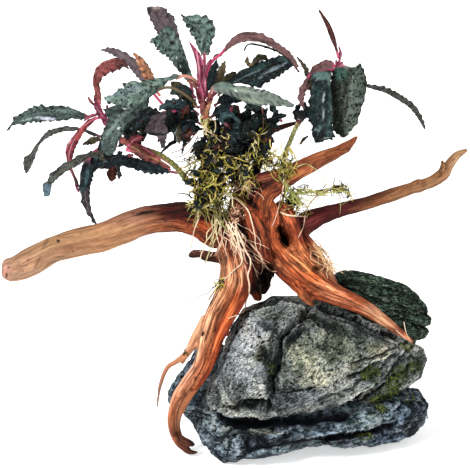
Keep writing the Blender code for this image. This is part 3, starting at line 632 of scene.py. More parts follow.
driftwood = {
    "voxel": 0.82 * mm,
    # how deep and dark the grain is on each limb
    "rugged": {"leftLeg": 0.25, "legTwig": 0.35, "rightLeg": 0.6, "upperBranch": 0.7, "rightBranch": 0.6,
        "trunk": 0.85},
    "grooveDepth": 0.85 * mm,
    "grooveWidth": 2.5 * mm,
    # swells: across, down, half width, half height, tilt, mm
    "swells": [(236, 213, 8, 8, 0, 5.0), (262, 183, 14, 3, -14, 1.5), (257, 222, 5, 18, -24, 1.5),
        (275, 262, 4, 12, -40, 1.2), (310, 291, 10, 3, 30, 1.2)],
    # paints: across, down, half width, half height, tilt, colour, strength; the near-black ones in the
    # crevices and between the legs are painted shade, the pale streak on the nose ridge is painted
    # highlight, and the brightest ones on the shoulder and the legs are partly the wood's own colour and
    # partly painted light
    "paints": [
        (196, 212, 34, 7, 6, "#38130f", 0.95), (176, 214, 16, 5, -4, "#6a3426", 0.7),
        (205, 226, 22, 4.6, 16, "#b4542c", 0.9), (222, 222, 12, 12, 30, "#2c0e0c", 0.9),
        (165, 228, 30, 5, 0, "#b07048", 0.6), (240, 236, 12, 26, -20, "#5c2a20", 0.85),
        (252, 222, 8, 22, -22, "#93482c", 0.8), (262, 250, 7, 22, -24, "#8c4630", 0.7),
        (246, 258, 9, 14, -10, "#3c1816", 0.85), (250, 197, 15, 12, -30, "#431a1a", 0.85),
        (262, 186, 16, 5, -14, "#5a2422", 0.85), (266, 177, 12, 2, -18, "#a86848", 0.8),
        (278, 190, 8, 14, 30, "#9c5032", 0.7), (300, 170, 24, 5, -24, "#9a6040", 0.6),
        (330, 158, 18, 3, -28, "#7c4428", 0.6), (300, 180, 22, 3, -22, "#5c2a20", 0.7),
        (316, 222, 18, 9, -30, "#4a1618", 0.9), (340, 214, 22, 6, -18, "#541c1c", 0.85),
        (366, 206, 20, 4, -16, "#8a5838", 0.6), (366, 213, 26, 2.4, -17, "#4a201a", 0.7),
        (306, 236, 9, 10, -30, "#6c2c22", 0.8), (268, 276, 14, 16, 0, "#150806", 0.98),
        (256, 290, 8, 8, 0, "#1c0a08", 0.9), (257, 297, 4, 6, 0, "#b4603c", 0.8),
        (289, 262, 8, 16, -44, "#b4582f", 0.6), (300, 276, 16, 8, 36, "#c06038", 0.6),
        (318, 262, 9, 12, -30, "#a88460", 0.7), (330, 272, 8, 4, 20, "#b89870", 0.8),
        (286, 226, 9, 12, -20, "#8e4a30", 0.6), (236, 213, 9, 9, 0, "#b07c60", 0.95),
        (240, 226, 8, 4, 30, "#100808", 0.9), (236, 275, 7, 26, 10, "#b05c38", 0.6),
        (226, 280, 5, 22, 14, "#d8a078", 0.6), (243, 268, 5, 12, 0, "#7c3424", 0.7),
        (240, 300, 4, 22, 14, "#8c3c24", 0.7), (222, 322, 4, 18, 24, "#a04a2c", 0.7),
        (206, 318, 6, 22, 28, "#e0ac88", 0.6), (202, 362, 5, 24, 26, "#b4603c", 0.6),
        (188, 362, 4, 22, 26, "#dca888", 0.6), (178, 415, 4, 20, 0, "#d09874", 0.5),
        (184, 440, 7, 10, -20, "#6c4030", 0.7), (226, 334, 3, 3, 0, "#8c4c44", 0.8),
        (340, 306, 26, 3, 30, "#7c3a22", 0.6), (366, 312, 26, 2.4, 32, "#e0a078", 0.6),
        (392, 330, 16, 3, 34, "#a45a3c", 0.5), (318, 292, 10, 2.4, 32, "#8c4228", 0.6),
        (280, 220, 13, 15, 0, "#f08c60", 0.92), (300, 258, 13, 19, -40, "#ffa870", 0.95),
        (335, 294, 22, 8, 28, "#ffac80", 0.75), (378, 315, 22, 7, 33, "#ffd0a8", 0.85),
        (235, 276, 10, 18, 8, "#fcbc92", 0.85), (187, 214, 32, 8, 5, "#4a140e", 0.97),
        (312, 222, 12, 6, -30, "#7c3834", 0.7), (30, 262, 24, 8, -14, "#bc9070", 0.5),
        (90, 244, 40, 4, -12, "#8c6044", 0.5), (100, 234, 40, 3, -14, "#c09870", 0.5),
        (6, 270, 4, 9, 8, "#c89484", 0.8),
    ],
    "grooveLength": 34 * mm,
    "lumpDepth": 0.7 * mm,
    "body": {"voxel": 0.8 * mm, "relax": 5},  # the limbs run into one skin before the hollows are cut
    "smallHollow": 1.5,  # mm; what is shallower is pressed in last, on the finished skin
    "pressed": 0.6,  # share of a small hollow's depth
    "paleEnd": 0.55,  # how much smoother the worn left branch is
    # noise: lump size in m, octaves, seed
    "edge": (0.004, 3, 11), "lump": (0.012, 3, 31), "ragged": (0.005, 3, 13),
    # hollows: (across, down, half width, half height, tilt in degrees, depth in mm, painted shade darkness)
    "hollows": [
        (284, 240, 5.6, 10.5, -24, 13, 1.0), (279.5, 230, 4.2, 5.5, -24, 6, 0.9),
        (266, 277, 10, 12, 12, 9, 0.9), (268, 268, 5, 5, 0, 6, 0.8), (253, 204, 3.0, 11, -42, 6, 0.95),
        (246, 196, 3, 5, -20, 4, 0.8), (241, 229.5, 7, 3.6, 38, 5, 0.9), (247, 238, 2.0, 15, -24, 4, 0.75),
        (252, 254, 2.2, 12, -18, 4, 0.75), (270.5, 246, 1.1, 13, -18, 2.2, 0.55),
        (268, 227, 1.0, 12, -10, 1.6, 0.45), (313.5, 255.5, 2.6, 3.6, -30, 3, 0.8),
        (316, 270, 3.2, 5.5, -40, 4, 0.65), (309, 249, 2.0, 2.6, -30, 2, 0.7),
        (307, 262, 1.2, 6, -35, 2, 0.5), (203, 334, 2.4, 3.2, 20, 3, 0.9), (234, 291, 1.4, 5, 12, 2, 0.6),
        (256, 276, 1.3, 5, -10, 2, 0.6), (213, 345, 1.0, 2.2, 10, 1, 0.5),
        (195.5, 378, 1.6, 1.6, 0, 1.4, 0.7), (194.5, 372, 1.2, 1.2, 0, 1, 0.5),
        (186, 395, 1.4, 1.8, 0, 1.2, 0.7), (147, 212.5, 12, 2.0, -8, 2.6, 0.9),
        (158, 211.2, 6, 1.4, -4, 1.6, 0.7), (138, 214.5, 7, 1.2, -12, 1.0, 0.6),
        (58.2, 241, 2.2, 1.7, 10, 1.6, 0.95), (81, 233.5, 1.2, 0.9, 0, 0.8, 0.9),
        (73, 251.4, 0.9, 0.8, 0, 0.6, 0.8), (28, 260, 1.1, 1.0, 0, 0.8, 0.85),
        (23, 271, 1.1, 0.9, 0, 0.8, 0.8), (8.4, 267.5, 1.1, 1.6, 10, 1.0, 0.9),
        (6.4, 275.5, 1.2, 3, 8, 1.2, 0.9), (97, 232.5, 1.6, 0.7, -15, 0.5, 0.6),
        (86, 232.6, 4, 0.6, -12, 0.5, 0.5), (154, 223, 1.6, 0.8, 0, 0.6, 0.7),
        (152, 230, 1.0, 0.7, 0, 0.5, 0.6), (120, 221, 4.5, 1.0, -18, 0.7, 0.5),
        (125, 226, 3.6, 0.8, -18, 0.6, 0.5), (133, 213, 2, 0.8, -10, 0.5, 0.8),
        (168, 219, 5, 0.8, 0, 0.6, 0.5), (68, 236.5, 8, 0.8, -10, 0.6, 0.45),
        (46, 242, 2.2, 9, 28, 0.8, 0.4), (38, 262, 1.4, 8, 26, 0.7, 0.45),
        (22, 266, 9, 0.9, -12, 0.7, 0.45), (56, 262, 8, 0.8, -8, 0.5, 0.4),
        (60, 257, 6, 0.7, -6, 0.5, 0.35), (108, 246, 10, 0.7, -14, 0.5, 0.35),
        (337, 292.5, 4, 1.2, 25, 1.2, 0.6), (326, 284.5, 1.4, 1.2, 0, 0.8, 0.6),
        (304, 272, 2.2, 1.1, 40, 1, 0.55), (312, 296, 3, 2.4, 10, 2, 0.7), (305, 288, 1.6, 1.2, 0, 1, 0.6),
        (348, 300.5, 12, 0.8, 24, 1.2, 0.55), (375, 313.5, 12, 0.8, 32, 1.0, 0.5),
        (318, 286.5, 10, 0.8, 32, 1.0, 0.45), (293, 269, 8, 0.9, 44, 1.2, 0.45),
        (284, 266, 7, 0.9, 48, 1.2, 0.45), (178, 436, 1.2, 7, -20, 1.4, 0.6),
        (183, 431, 1.2, 6, -10, 1.2, 0.5), (418, 183, 2.0, 1.0, 15, 0.8, 0.6),
        (441, 168, 1.4, 2.4, 0, 1.0, 0.6), (371, 199.5, 8, 0.7, -16, 0.6, 0.5),
        (396, 194.5, 8, 0.7, -18, 0.6, 0.5), (260, 184, 7, 2.6, -16, 3, 0.6), (252, 189, 5, 3, -30, 3, 0.7),
        (271, 181, 6, 1.2, -18, 1.6, 0.5),
    ],
}


def limbSurface(limb, sides=26, spacing=1.0 * mm):
    flat = limb.get("flat", 1.0)
    route = np.array(limb["route"], float)
    points = np.column_stack([gridPoint(route[:, 0], route[:, 1], route[:, 2]), route[:, 3] * grid["step"]])
    count = max(8, int(np.linalg.norm(np.diff(points[:, :3], axis=0), axis=1).sum() / spacing))
    curve, length = evenly(points, count)
    centre, radius = curve[:, :3], np.maximum(curve[:, 3], 0.3 * mm)
    along, side, front = frameAlong(centre)
    angle = np.linspace(0, 2 * math.pi, sides, endpoint=False)
    sideways, frontways = np.cos(angle)[None, :, None], np.sin(angle)[None, :, None]
    out = side[:, None] * sideways + front[:, None] * frontways * flat
    bump = 1 + 0.09 * roughNoise(centre[:, None] + out * 0.012, 0.017, 3, 5)
    rings = centre[:, None] + out * (radius[:, None] * bump)[..., None]
    # rounded ends
    base, tip = rings[0].mean(0), rings[-1].mean(0)
    first = base - along[0] * radius[0] * 0.35 + (rings[0] - base) * 0.6
    last = tip + along[-1] * radius[-1] * 0.35 + (rings[-1] - tip) * 0.6
    rings = np.concatenate([first[None], rings, last[None]])
    samples = {
        "centre": centre, "radius": radius, "along": along, "side": side, "front": front,
        "walk": np.linspace(0, length, count), "share": np.linspace(0, 1, count), "flat": flat,
    }
    return rings.reshape(-1, 3), loftFaces(count + 2, sides), samples


def limbColours(limb, share, sideways):
    stops = limb["colours"]
    places = [s[0] for s in stops]
    near = np.array([linear(s[1]) for s in stops])
    far = np.array([linear(s[2]) for s in stops])
    # the left and right colours: partly the wood's own colour, partly painted light and shade on the two
    # sides
    blend = smoothStep(-0.75, 0.75, sideways)[:, None]
    left = np.column_stack([np.interp(share, places, near[:, c]) for c in range(3)])
    right = np.column_stack([np.interp(share, places, far[:, c]) for c in range(3)])
    return right + (left - right) * blend


def onLimb(points, samples):
    # for each point: distance past the limb's surface, and where along and around the limb it is
    best = np.zeros(len(points), int)
    for start in range(0, len(points), 20000):
        part = points[start : start + 20000]
        away = np.linalg.norm(part[:, None] - samples["centre"][None], axis=2) - samples["radius"][None]
        best[start : start + 20000] = away.argmin(1)
    offset = points - samples["centre"][best]
    sideways = np.einsum("ij,ij->i", offset, samples["side"][best])
    frontways = np.einsum("ij,ij->i", offset, samples["front"][best])
    onward = np.einsum("ij,ij->i", offset, samples["along"][best])
    radius = samples["radius"][best]
    past = np.sqrt(sideways**2 + (frontways / samples["flat"]) ** 2 + onward**2) - radius
    return past, sideways, frontways, samples["walk"][best] + onward, samples["share"][best], radius


def inEllipse(across, down, spot, wobble):
    # 0 at the middle of a tilted ellipse, 1 on its edge
    tilt = math.radians(spot[4])
    x, y = across - spot[0], down - spot[1]
    u = x * math.cos(tilt) + y * math.sin(tilt)
    v = y * math.cos(tilt) - x * math.sin(tilt)
    return np.sqrt((u / spot[2]) ** 2 + (v / spot[3]) ** 2) + wobble


def buildDriftwood():
    print("Driftwood")
    allPoints, allFaces, samples, first = [], [], {}, 0
    for name, limb in limbs.items():
        points, faces, samples[name] = limbSurface(limb)
        allPoints.append(points)
        allFaces.append(faces + first)
        first += len(points)
    mesh = reskin(meshFrom("driftwood", np.vstack(allPoints), np.vstack(allFaces)),
        *driftwood["body"].values())
    points, normals = pointsOf(mesh), normalsOf(mesh)
    across, down = gridOf(points)
    facing = smoothStep(0.05, 0.45, normals @ toViewer)
    push = np.zeros(len(points))
    wobble = 0.12 * roughNoise(points, *driftwood["edge"])
    for spot in driftwood["hollows"]:
        # across, down, half width, half height, tilt, depth in mm, painted shade darkness
        if spot[5] >= driftwood["smallHollow"]:
            cover = 1 - smoothStep(0.55, 1.1, inEllipse(across, down, spot, wobble))
            push = np.maximum(push, spot[5] * mm * cover)
    for spot in driftwood["swells"]:
        push = push - spot[5] * mm * (1 - smoothStep(0.2, 1.1, inEllipse(across, down, spot, wobble)))
    points = points - toViewer * (push * facing)[:, None]
    movePoints(mesh, points)
    mesh = reskin(mesh, driftwood["voxel"], 1)

    points, normals = pointsOf(mesh), normalsOf(mesh)
    found = [onLimb(points, samples[name]) for name in limbs]
    past = np.array([f[0] for f in found])
    owner = past.argmin(0)
    weight = np.exp(-(past - past.min(0)) / (0.8 * mm))
    weight /= weight.sum(0)
    grain = np.zeros_like(points)
    tone = np.zeros_like(points)
    for i, name in enumerate(limbs):
        _, sideways, frontways, walk, share, radius = found[i]
        mine = owner == i
        grain[mine] = np.column_stack([sideways, frontways, walk])[mine] + i * 0.31
        tone += limbColours(limbs[name], share, sideways / radius) * weight[i][:, None]
    # grooves along the grain, lumps and fine fibres
    stretch = np.array([1, 1, driftwood["grooveWidth"] / driftwood["grooveLength"]])
    groove = 1 - np.abs(roughNoise(grain * stretch, driftwood["grooveWidth"], 3, 21)) * 2
    lump = roughNoise(points, *driftwood["lump"])
    thick = np.clip(sum(found[i][5] * weight[i] for i in range(len(found))) / (6 * mm), 0.25, 1)
    rugged = sum(driftwood["rugged"].get(name, 1) * weight[i] for i, name in enumerate(limbs))
    across, down = gridOf(points)
    rugged = rugged * (1 - driftwood["paleEnd"] * smoothStep(175, 135, across) * smoothStep(300, 280, down))
    away = driftwood["grooveDepth"] * (0.2 + 0.8 * rugged) * (0.4 - np.maximum(groove, -0.4))
    away = away + driftwood["lumpDepth"] * lump * 0.6
    points = points + normals * (away * thick)[:, None]

    across, down = gridOf(points)
    facing = smoothStep(0.0, 0.35, normals @ toViewer)
    # painted shade: each hollow darkens by its darkness where it faces the front
    hollow = np.zeros(len(points))
    wobble = 0.14 * roughNoise(points, *driftwood["edge"])
    for spot in driftwood["hollows"]:
        reach = inEllipse(across, down, spot, wobble)
        hollow = np.maximum(hollow, spot[6] * (1 - smoothStep(0.5, 1.15, reach)) * facing)
        if spot[5] < driftwood["smallHollow"]:
            depth = spot[5] * mm * driftwood["pressed"] * (1 - smoothStep(0.4, 1.1, reach))
            points = points - normals * (depth * facing)[:, None]
    ragged = roughNoise(points, *driftwood["ragged"])
    for x, y, w, h, turn, colour, strength in driftwood["paints"]:
        cover = 1 - smoothStep(0.4, 1.25, inEllipse(across, down, (x, y, w, h, turn), 0.35 * ragged))
        tone = mix(tone, linear(colour), cover * strength * facing)
    # painted light and shade: groove bottoms darker, the raised grain between them lighter
    tone = tone * np.clip(1.14 + 0.45 * (0.35 - groove) * rugged, 0.3, 1.5)[:, None]
    hollow = np.maximum(hollow, 0.8 * smoothStep(0.66, 0.95, groove) * thick * rugged**2)
    movePoints(mesh, points)
    addPiece(
        "driftwood", mesh, driftwoodMaterial(), "driftwood",
        ["trunk", "left_branch", "upper_branch", "right_branch", "left_leg", "left_leg_twig", "right_leg",
            "back_leg", "back_twig"],
        tone=tone, grain=grain, hollow=hollow, rugged=rugged,
    )
    return BVHTree.FromPolygons(points.tolist(), [list(p.vertices) for p in mesh.polygons])


# Stones

stones = {
    "frontStone": {
        "node": "front_stone", "slot": "grey_stone", "middle": (296, 360, -6), "front": 48, "back": 38,
        "outline": [(243, 308, 2, 20), (231, 326, 0, 22), (225, 341, -2, 26), (221, 355, -6, 28),
            (218, 369, -11, 27), (210, 379, -15, 26), (205, 397, -21, 25), (212, 411, -28, 22),
            (229, 418, -34, 18), (250, 420, -36, 18), (272, 418, -36, 18), (297, 412, -36, 18),
            (322, 408, -34, 18), (348, 404, -30, 18), (368, 402, -26, 16), (386, 397, -20, 16),
            (405, 388, -14, 16), (420, 378, -10, 15), (428, 360, -8, 16), (424, 348, -8, 16),
            (408, 341, -10, 14), (393, 331, -10, 14), (365, 320, -9, 16), (338, 308, -8, 18),
            (320, 302, -7, 20), (300, 296, -4, 20), (272, 295, 0, 20), (260, 302, 2, 22)],
        "voxel": 0.9 * mm, "beds": {"tilt": (0.35, -0.2, 1.0), "size": 12 * mm, "reach": 0.35 * mm,
            "stripe": 0.1}, "crag": 0.8 * mm, "grit": 0.45 * mm, "ridgeHighlight": ("#d4d8d8", 0.35), "shade": 0.35,
        # ledges: line with the raised side on its left, rise in mm, its width in steps, drop in mm, its
        # width, how bright the painted highlight on its edge is, how dark the painted shade at its foot is
        "ledges": [
            ([(269, 404), (272.5, 390), (272, 379), (276, 359), (276, 344), (279, 334), (291, 323),
                (300, 313.5), (308, 309)], 1.4, 6, 3.0, 7.0, 0.45, 0.35),
            ([(279, 392.5), (286, 392), (296, 391), (305, 389), (314, 386.5)], 1.8, 7, 3.5, 2.2, 0.7, 1.0),
            ([(346, 375), (356, 372), (364, 367), (371, 363.5), (385, 358.5), (398, 351)], 1.6, 6, 4.5, 4.5,
                0.8, 0.95),
            ([(308, 410), (326, 408.5), (340, 405), (352, 398.5), (367, 390), (380, 382.5), (390, 373),
                (400, 359), (411, 347)], 0.8, 2.4, 4.2, 3.0, 0.95, 1.0),
            ([(326, 416), (347, 413), (366, 402.5), (380, 396), (392, 389), (404, 380), (415, 366)], 0.8,
                2.4, 3.2, 2.6, 0.8, 0.9),
            ([(350, 408), (370, 405), (386, 401), (400, 393)], 0.6, 2, 2.6, 2.2, 0.7, 0.9),
            ([(226, 404), (236, 410), (244, 404), (254, 402.5), (264, 403.5), (271, 407), (278, 413)], 0.8,
                4, 6.5, 6.0, 0.4, 1.0),
            ([(209, 409), (222, 412.5), (233, 418), (250, 415.8), (265, 418.5), (284, 415), (297, 412),
                (312, 410)], 1.2, 2.0, 3, 3, 0.9, 0.9),
            ([(318, 304.5), (329, 307), (340, 313), (358, 319.5), (364, 323), (375, 328.5), (389, 330.5),
                (399, 338)], 1.0, 4, 3.6, 4.0, 0.85, 0.95),
            ([(312, 309.5), (300, 305.5), (289, 303.8), (273, 304.3), (262, 308.5), (252, 314), (246, 320)],
                0.8, 3, 2.6, 7.0, 0.55, 0.95),
            ([(332, 316), (346, 320), (360, 326), (374, 334), (388, 341), (400, 345)], 0.5, 3, 1.2, 4, 0.4,
                0.6),
        ],
        # creases: points on the line, half width, depth in mm, darkness of the painted shade in it
        "creases": [
            ([(269, 403), (272.5, 390), (272.5, 379), (276.5, 359), (277, 344), (280, 335), (292, 323),
                (301, 313.5), (309, 308)], 2.7, 6.0, 1.0),
            ([(232, 410), (240, 405.5), (250, 404), (262, 405), (272, 409)], 4.0, 5.0, 1.0),
            ([(284, 391), (296, 390), (305, 388.5), (313, 388)], 1.7, 2.5, 0.95),
            ([(262, 350), (268, 358), (267, 368), (271, 376)], 3.5, 1.6, 0.7),
            ([(259, 322), (266, 327), (274, 330)], 3.5, 1.2, 0.7),
            ([(303, 322), (296, 334), (288, 342), (282, 354)], 3.5, 1.5, 0.75),
            ([(226, 372), (232, 384), (228, 396)], 1.0, 0.8, 0.35),
            ([(318, 398), (328, 394), (344, 396)], 1.3, 1.5, 0.75),
            ([(214, 386), (220, 396), (217, 404)], 1.6, 1.0, 0.6),
            ([(236, 330), (244, 326), (247, 320)], 1.2, 0.8, 0.6),
            ([(356, 384), (366, 380), (376, 372)], 1.6, 2.0, 0.8),
            ([(404, 362), (412, 356), (418, 360)], 1.4, 1.4, 0.6),
            ([(318, 315), (326, 322), (330, 332)], 2.4, 1.0, 0.6),
            ([(240, 352), (246, 356), (252, 354)], 1.4, 0.6, 0.5),
            ([(246, 372), (252, 376), (258, 374)], 1.4, 0.6, 0.5),
            ([(290, 415), (326, 411.5), (352, 403), (373, 388), (397, 365), (413, 345)], 1.5, 2.0, 1.0),
            ([(343, 410), (367, 398), (391, 380), (408, 366)], 1.5, 2.0, 1.0),
            ([(349, 364), (373, 358.5), (397, 347), (411, 340)], 1.3, 1.6, 0.9),
            ([(320, 400), (344, 392), (366, 380), (386, 366)], 1.2, 1.2, 0.85),
            ([(222, 352), (228, 349)], 1.2, 0.6, 0.5),
            ([(334, 384), (344, 378), (352, 380)], 1.0, 0.8, 0.5),
        ],
        # swells: across, down, half width, half height, tilt, mm
        "swells": [(318, 372, 36, 22, -8, 3.0), (240, 380, 22, 24, 20, 2.0), (360, 352, 26, 12, -28, 1.5)],
        "base": "#bec0ba",
        # paints: across, down, half width, half height, tilt, colour, strength; the near-black ones in the
        # cleft, under the overhangs, under the lump and between leg and stone are painted shade, the thin
        # pale ones along the ledges painted highlight, and the pale left face and darker green right face
        # partly painted light and partly the stone's own colour
        "paints": [(240, 360, 30, 52, 28, "#ccd0d4", 0.95), (234, 322, 7, 22, 34, "#0a0c10", 0.98),
            (262, 340, 16, 12, 0, "#c8c8c8", 0.8), (228, 396, 24, 18, 0, "#d2d0c6", 0.9),
            (268, 312, 22, 8, 12, "#b0b4a4", 0.8), (268, 299, 30, 5.5, 0, "#262c38", 0.95),
            (330, 350, 50, 30, -10, "#c8caac", 0.95), (306, 372, 24, 14, 0, "#d0d0b4", 0.9),
            (316, 381, 16, 7, 0, "#f2eed4", 0.95), (286, 380, 12, 9, 0, "#c4c6ba", 0.9),
            (344, 372, 14, 8, 0, "#b4ae98", 0.8), (318, 320, 20, 12, 20, "#2c3a34", 0.95),
            (344, 327, 26, 9, 24, "#4c5850", 0.9), (308, 324, 12, 13, 34, "#2a3428", 0.95),
            (293, 338, 7, 15, 34, "#3c4634", 0.85), (273, 345, 5, 26, 6, "#20261e", 0.9),
            (270, 385, 4.5, 18, 4, "#181c1c", 0.9), (262, 356, 9, 12, 0, "#50563f", 0.75),
            (345, 314, 26, 4.5, 22, "#a8b0a4", 0.95), (356, 338, 18, 6, 20, "#606a5a", 0.8),
            (376, 325, 16, 2.6, 20, "#c0c6b8", 0.9), (382, 336, 18, 3.6, 26, "#20262a", 0.9),
            (300, 401, 34, 10, 0, "#bcbec0", 0.9), (340, 394, 20, 8, -14, "#c8ccc4", 0.9),
            (322, 400, 10, 5, 0, "#6a7476", 0.7), (374, 354, 28, 14, -30, "#8e8e7a", 0.8),
            (384, 358, 15, 3.6, -30, "#e4dcc4", 0.9), (394, 346, 10, 5, -34, "#9ca4a4", 0.9),
            (410, 348, 6, 4, -40, "#b4ac84", 0.8), (276, 360, 5, 26, 4, "#26291c", 0.85),
            (262, 352, 8, 12, 0, "#5c5a3e", 0.7), (366, 384, 30, 6, -30, "#8c9490", 0.8),
            (350, 397, 24, 2, -28, "#dce0d8", 0.8), (378, 378, 20, 2, -38, "#d4d8cc", 0.8),
            (384, 389, 16, 1.8, -36, "#b8c0b4", 0.8), (380, 352, 20, 1.8, -26, "#e8e0c8", 0.8),
            (402, 368, 10, 10, -50, "#7c8478", 0.8), (414, 372, 9, 12, 20, "#6c7468", 0.8),
            (380, 394, 22, 7, -28, "#606a54", 0.8), (254, 409, 20, 4.2, 0, "#10141e", 0.9),
            (275, 411, 12, 3, -14, "#18203a", 0.8), (206, 398, 4, 8, 0, "#6a6e76", 0.6),
            (420, 362, 5, 13, 10, "#444c44", 0.8), (345, 403, 30, 3, -14, "#c8ccc4", 0.7)],
    },
    "backStone": {
        "node": "back_stone", "slot": "dark_stone", "middle": (366, 330, 28), "front": 22, "back": 26,
        "outline": [(300, 300, 24, 8), (312, 289, 24, 10), (326, 279, 24, 12), (340, 270.5, 24, 13),
            (356, 270, 24, 14), (373, 274, 24, 14), (388, 279, 24, 14), (406, 285, 24, 14),
            (417, 293, 24, 13), (427, 307, 24, 12), (431.5, 319, 24, 12), (426.5, 325.5, 24, 12),
            (430, 332, 24, 12), (426, 337, 24, 12), (415, 342, 24, 12), (417, 353, 26, 12),
            (418, 367, 28, 12), (410, 380, 30, 12), (392, 387, 30, 12), (358, 388, 30, 12),
            (325, 380, 30, 12), (305, 350, 28, 10), (298, 322, 26, 8)],
        "voxel": 1.0 * mm, "beds": {"tilt": (0.24, 0.1, 1.0), "size": 2.9 * mm, "reach": 0.9 * mm,
            "stripe": 1.1}, "crag": 0.8 * mm, "grit": 0.45 * mm, "ridgeHighlight": ("#94a898", 0.6), "shade": 0.7,
        "ledges": [
            ([(398, 318), (412, 322), (424, 326), (434, 323)], 1.0, 3, 3.6, 2.6, 0.7, 1.0),
            ([(390, 310), (404, 311), (418, 313), (430, 311)], 0.8, 3, 2.4, 2.0, 0.6, 0.9),
            ([(342, 287), (360, 290), (380, 299), (400, 305), (418, 309)], 0.8, 4, 2.2, 2.2, 0.5, 0.9),
            ([(344, 279), (362, 281), (386, 288), (408, 294)], 0.6, 3, 1.8, 1.8, 0.5, 0.8),
            ([(402, 338), (414, 340), (426, 336)], 0.8, 3, 2.0, 2.0, 0.6, 0.9),
            ([(366, 303), (380, 309), (396, 315), (408, 318)], 0.8, 3, 2.0, 2.0, 0.5, 0.9),
        ],
        "creases": [],
        "swells": [],
        "base": "#667470",
        # paints: the pale ledge edges are painted highlight, the dark band under a ledge painted shade
        "paints": [(416, 333, 14, 5, 6, "#b6c2b4", 0.95), (405, 322, 10, 5, 0, "#7c9084", 0.8),
            (404, 303, 16, 4, 14, "#6c7a70", 0.6), (376, 300, 14, 3, 16, "#7c8c82", 0.6),
            (345, 278, 12, 8, 0, "#34463c", 0.7), (350, 288, 12, 5, 0, "#4e6454", 0.7),
            (412, 355, 14, 14, 0, "#8c907c", 0.8), (416, 366, 8, 10, 0, "#6a7268", 0.7),
            (396, 313, 20, 3, 10, "#1e2a2a", 0.8)],
    },
    "baseStone": {
        "node": "base_stone", "slot": "dark_stone", "middle": (300, 440, -4), "front": 48, "back": 52,
        "outline": [(203, 338, 14, 10), (188, 360, 14, 10), (179, 375, 14, 10), (168.5, 391, 13, 10),
            (168.5, 402, 10, 10), (183, 413, 2, 12), (191, 422, -8, 16), (198, 434, -20, 16),
            (204, 446, -32, 14), (212, 456, -41, 12), (221, 463, -46, 10), (236, 460.5, -42, 14),
            (254, 459, -38, 18), (275, 455, -30, 24), (300, 449, -20, 30), (328, 445, -16, 32),
            (354, 448.5, -16, 30), (379, 445, -12, 26), (399, 440, -8, 22), (415, 433.5, -4, 18),
            (425, 421, -2, 14), (428, 404, 0, 14), (418, 390, 2, 14), (400, 384, 6, 12), (360, 380, 10, 12),
            (310, 378, 12, 12), (262, 372, 14, 12), (232, 352, 14, 10), (216, 340, 14, 10)],
        "voxel": 1.02 * mm, "beds": {"tilt": (0.10, -0.25, 1.0), "size": 8 * mm, "reach": 0.5 * mm,
            "stripe": 0.3}, "crag": 1.5 * mm, "grit": 0.5 * mm, "ridgeHighlight": ("#a4b0b8", 0.75), "shade": 0.7,
        "ledges": [
            ([(300, 438), (314, 437), (325, 435.5), (337, 432), (345, 433), (356, 432), (375, 427.5),
                (394, 420.5)], 2.0, 8, 5.0, 7.0, 0.95, 1.0),
            ([(244, 427), (256, 434), (266, 439), (280, 437), (290, 432)], 1.8, 7, 2.2, 4.0, 0.8, 0.9),
            ([(182, 412), (196, 410), (206, 412), (212, 416)], 0.6, 4, 1.6, 2.0, 0.6, 0.8),
            ([(204, 424), (210, 434), (220, 437), (228, 430), (234, 425)], 1.2, 6, 2.0, 2.6, 0.5, 0.9),
            ([(395, 408), (404, 402), (414, 401), (422, 404)], 1.0, 3, 2.0, 3, 0.8, 0.8),
            ([(420, 413), (414, 402), (409, 388)], 0.8, 3, 1.6, 2.6, 0.8, 0.8),
            ([(398, 424), (410, 420), (420, 420), (428, 415)], 0.8, 3, 1.6, 2.6, 0.8, 0.7),
            ([(388, 436), (402, 431), (414, 427)], 0.8, 3, 1.6, 2.6, 0.6, 0.7),
        ],
        "creases": [
            ([(228, 420), (246, 423), (262, 423), (282, 421), (300, 419), (324, 417), (346, 415)], 5.0, 5,
                1.0),
            ([(236, 433), (232, 444), (227, 457)], 1.3, 2.0, 0.95),
            ([(249, 436), (248, 446), (243, 458)], 2.4, 2.6, 0.95),
            ([(252, 449), (264, 446), (275, 443), (290, 442), (304, 443)], 3.4, 3, 0.95),
            ([(205, 446), (214, 452), (222, 458)], 1.4, 1.5, 0.7),
            ([(310, 441), (330, 443), (346, 442)], 1.6, 1.5, 0.8),
            ([(214, 437), (222, 446), (226, 450)], 1.3, 1.3, 0.7),
            ([(180, 380), (190, 378), (198, 372)], 1.4, 1.2, 0.7),
            ([(176, 392), (186, 392), (196, 388)], 1.4, 1.2, 0.7),
            ([(350, 441), (358, 444), (364, 449)], 1.4, 1.6, 0.8),
        ],
        "swells": [(214, 424, 12, 8, 10, 1.6), (240, 445, 8, 12, 14, 1.8), (408, 412, 16, 14, 0, 1.6)],
        "base": "#646b70",
        # paints: the near-black bands under the front stone and under the right ledge are painted shade
        "paints": [(214, 423, 15, 9, 12, "#ccccc0", 0.95), (205, 432, 12, 14, 20, "#a4acb0", 0.8),
            (368, 421, 27, 6, -17, "#b8c6ba", 0.95), (352, 419, 16, 5, -20, "#3c5a52", 0.8),
            (262, 432, 18, 6, 14, "#b4ae98", 0.9), (268, 451, 26, 4, -12, "#98a0a0", 0.8),
            (192, 398, 14, 14, 0, "#344450", 0.85), (215, 449, 12, 10, 0, "#a0a8ae", 0.85),
            (228, 444, 7, 12, 10, "#b0b6ba", 0.9), (241, 446, 6, 12, 8, "#b4babc", 0.9),
            (290, 421, 60, 7, 0, "#161a34", 0.9), (320, 434, 20, 3, 0, "#8494a4", 0.8),
            (380, 431, 16, 5, -14, "#0c1024", 0.9), (410, 408, 14, 16, 20, "#48586c", 0.8),
            (404, 420, 10, 6, 0, "#7c8ca0", 0.6), (386, 438, 22, 5, -10, "#3c4c68", 0.8),
            (350, 445, 10, 3, 20, "#b0a8b0", 0.7), (418, 424, 6, 8, 0, "#6c6c70", 0.7),
            (186, 370, 10, 16, 30, "#404c56", 0.8)],
    },
}

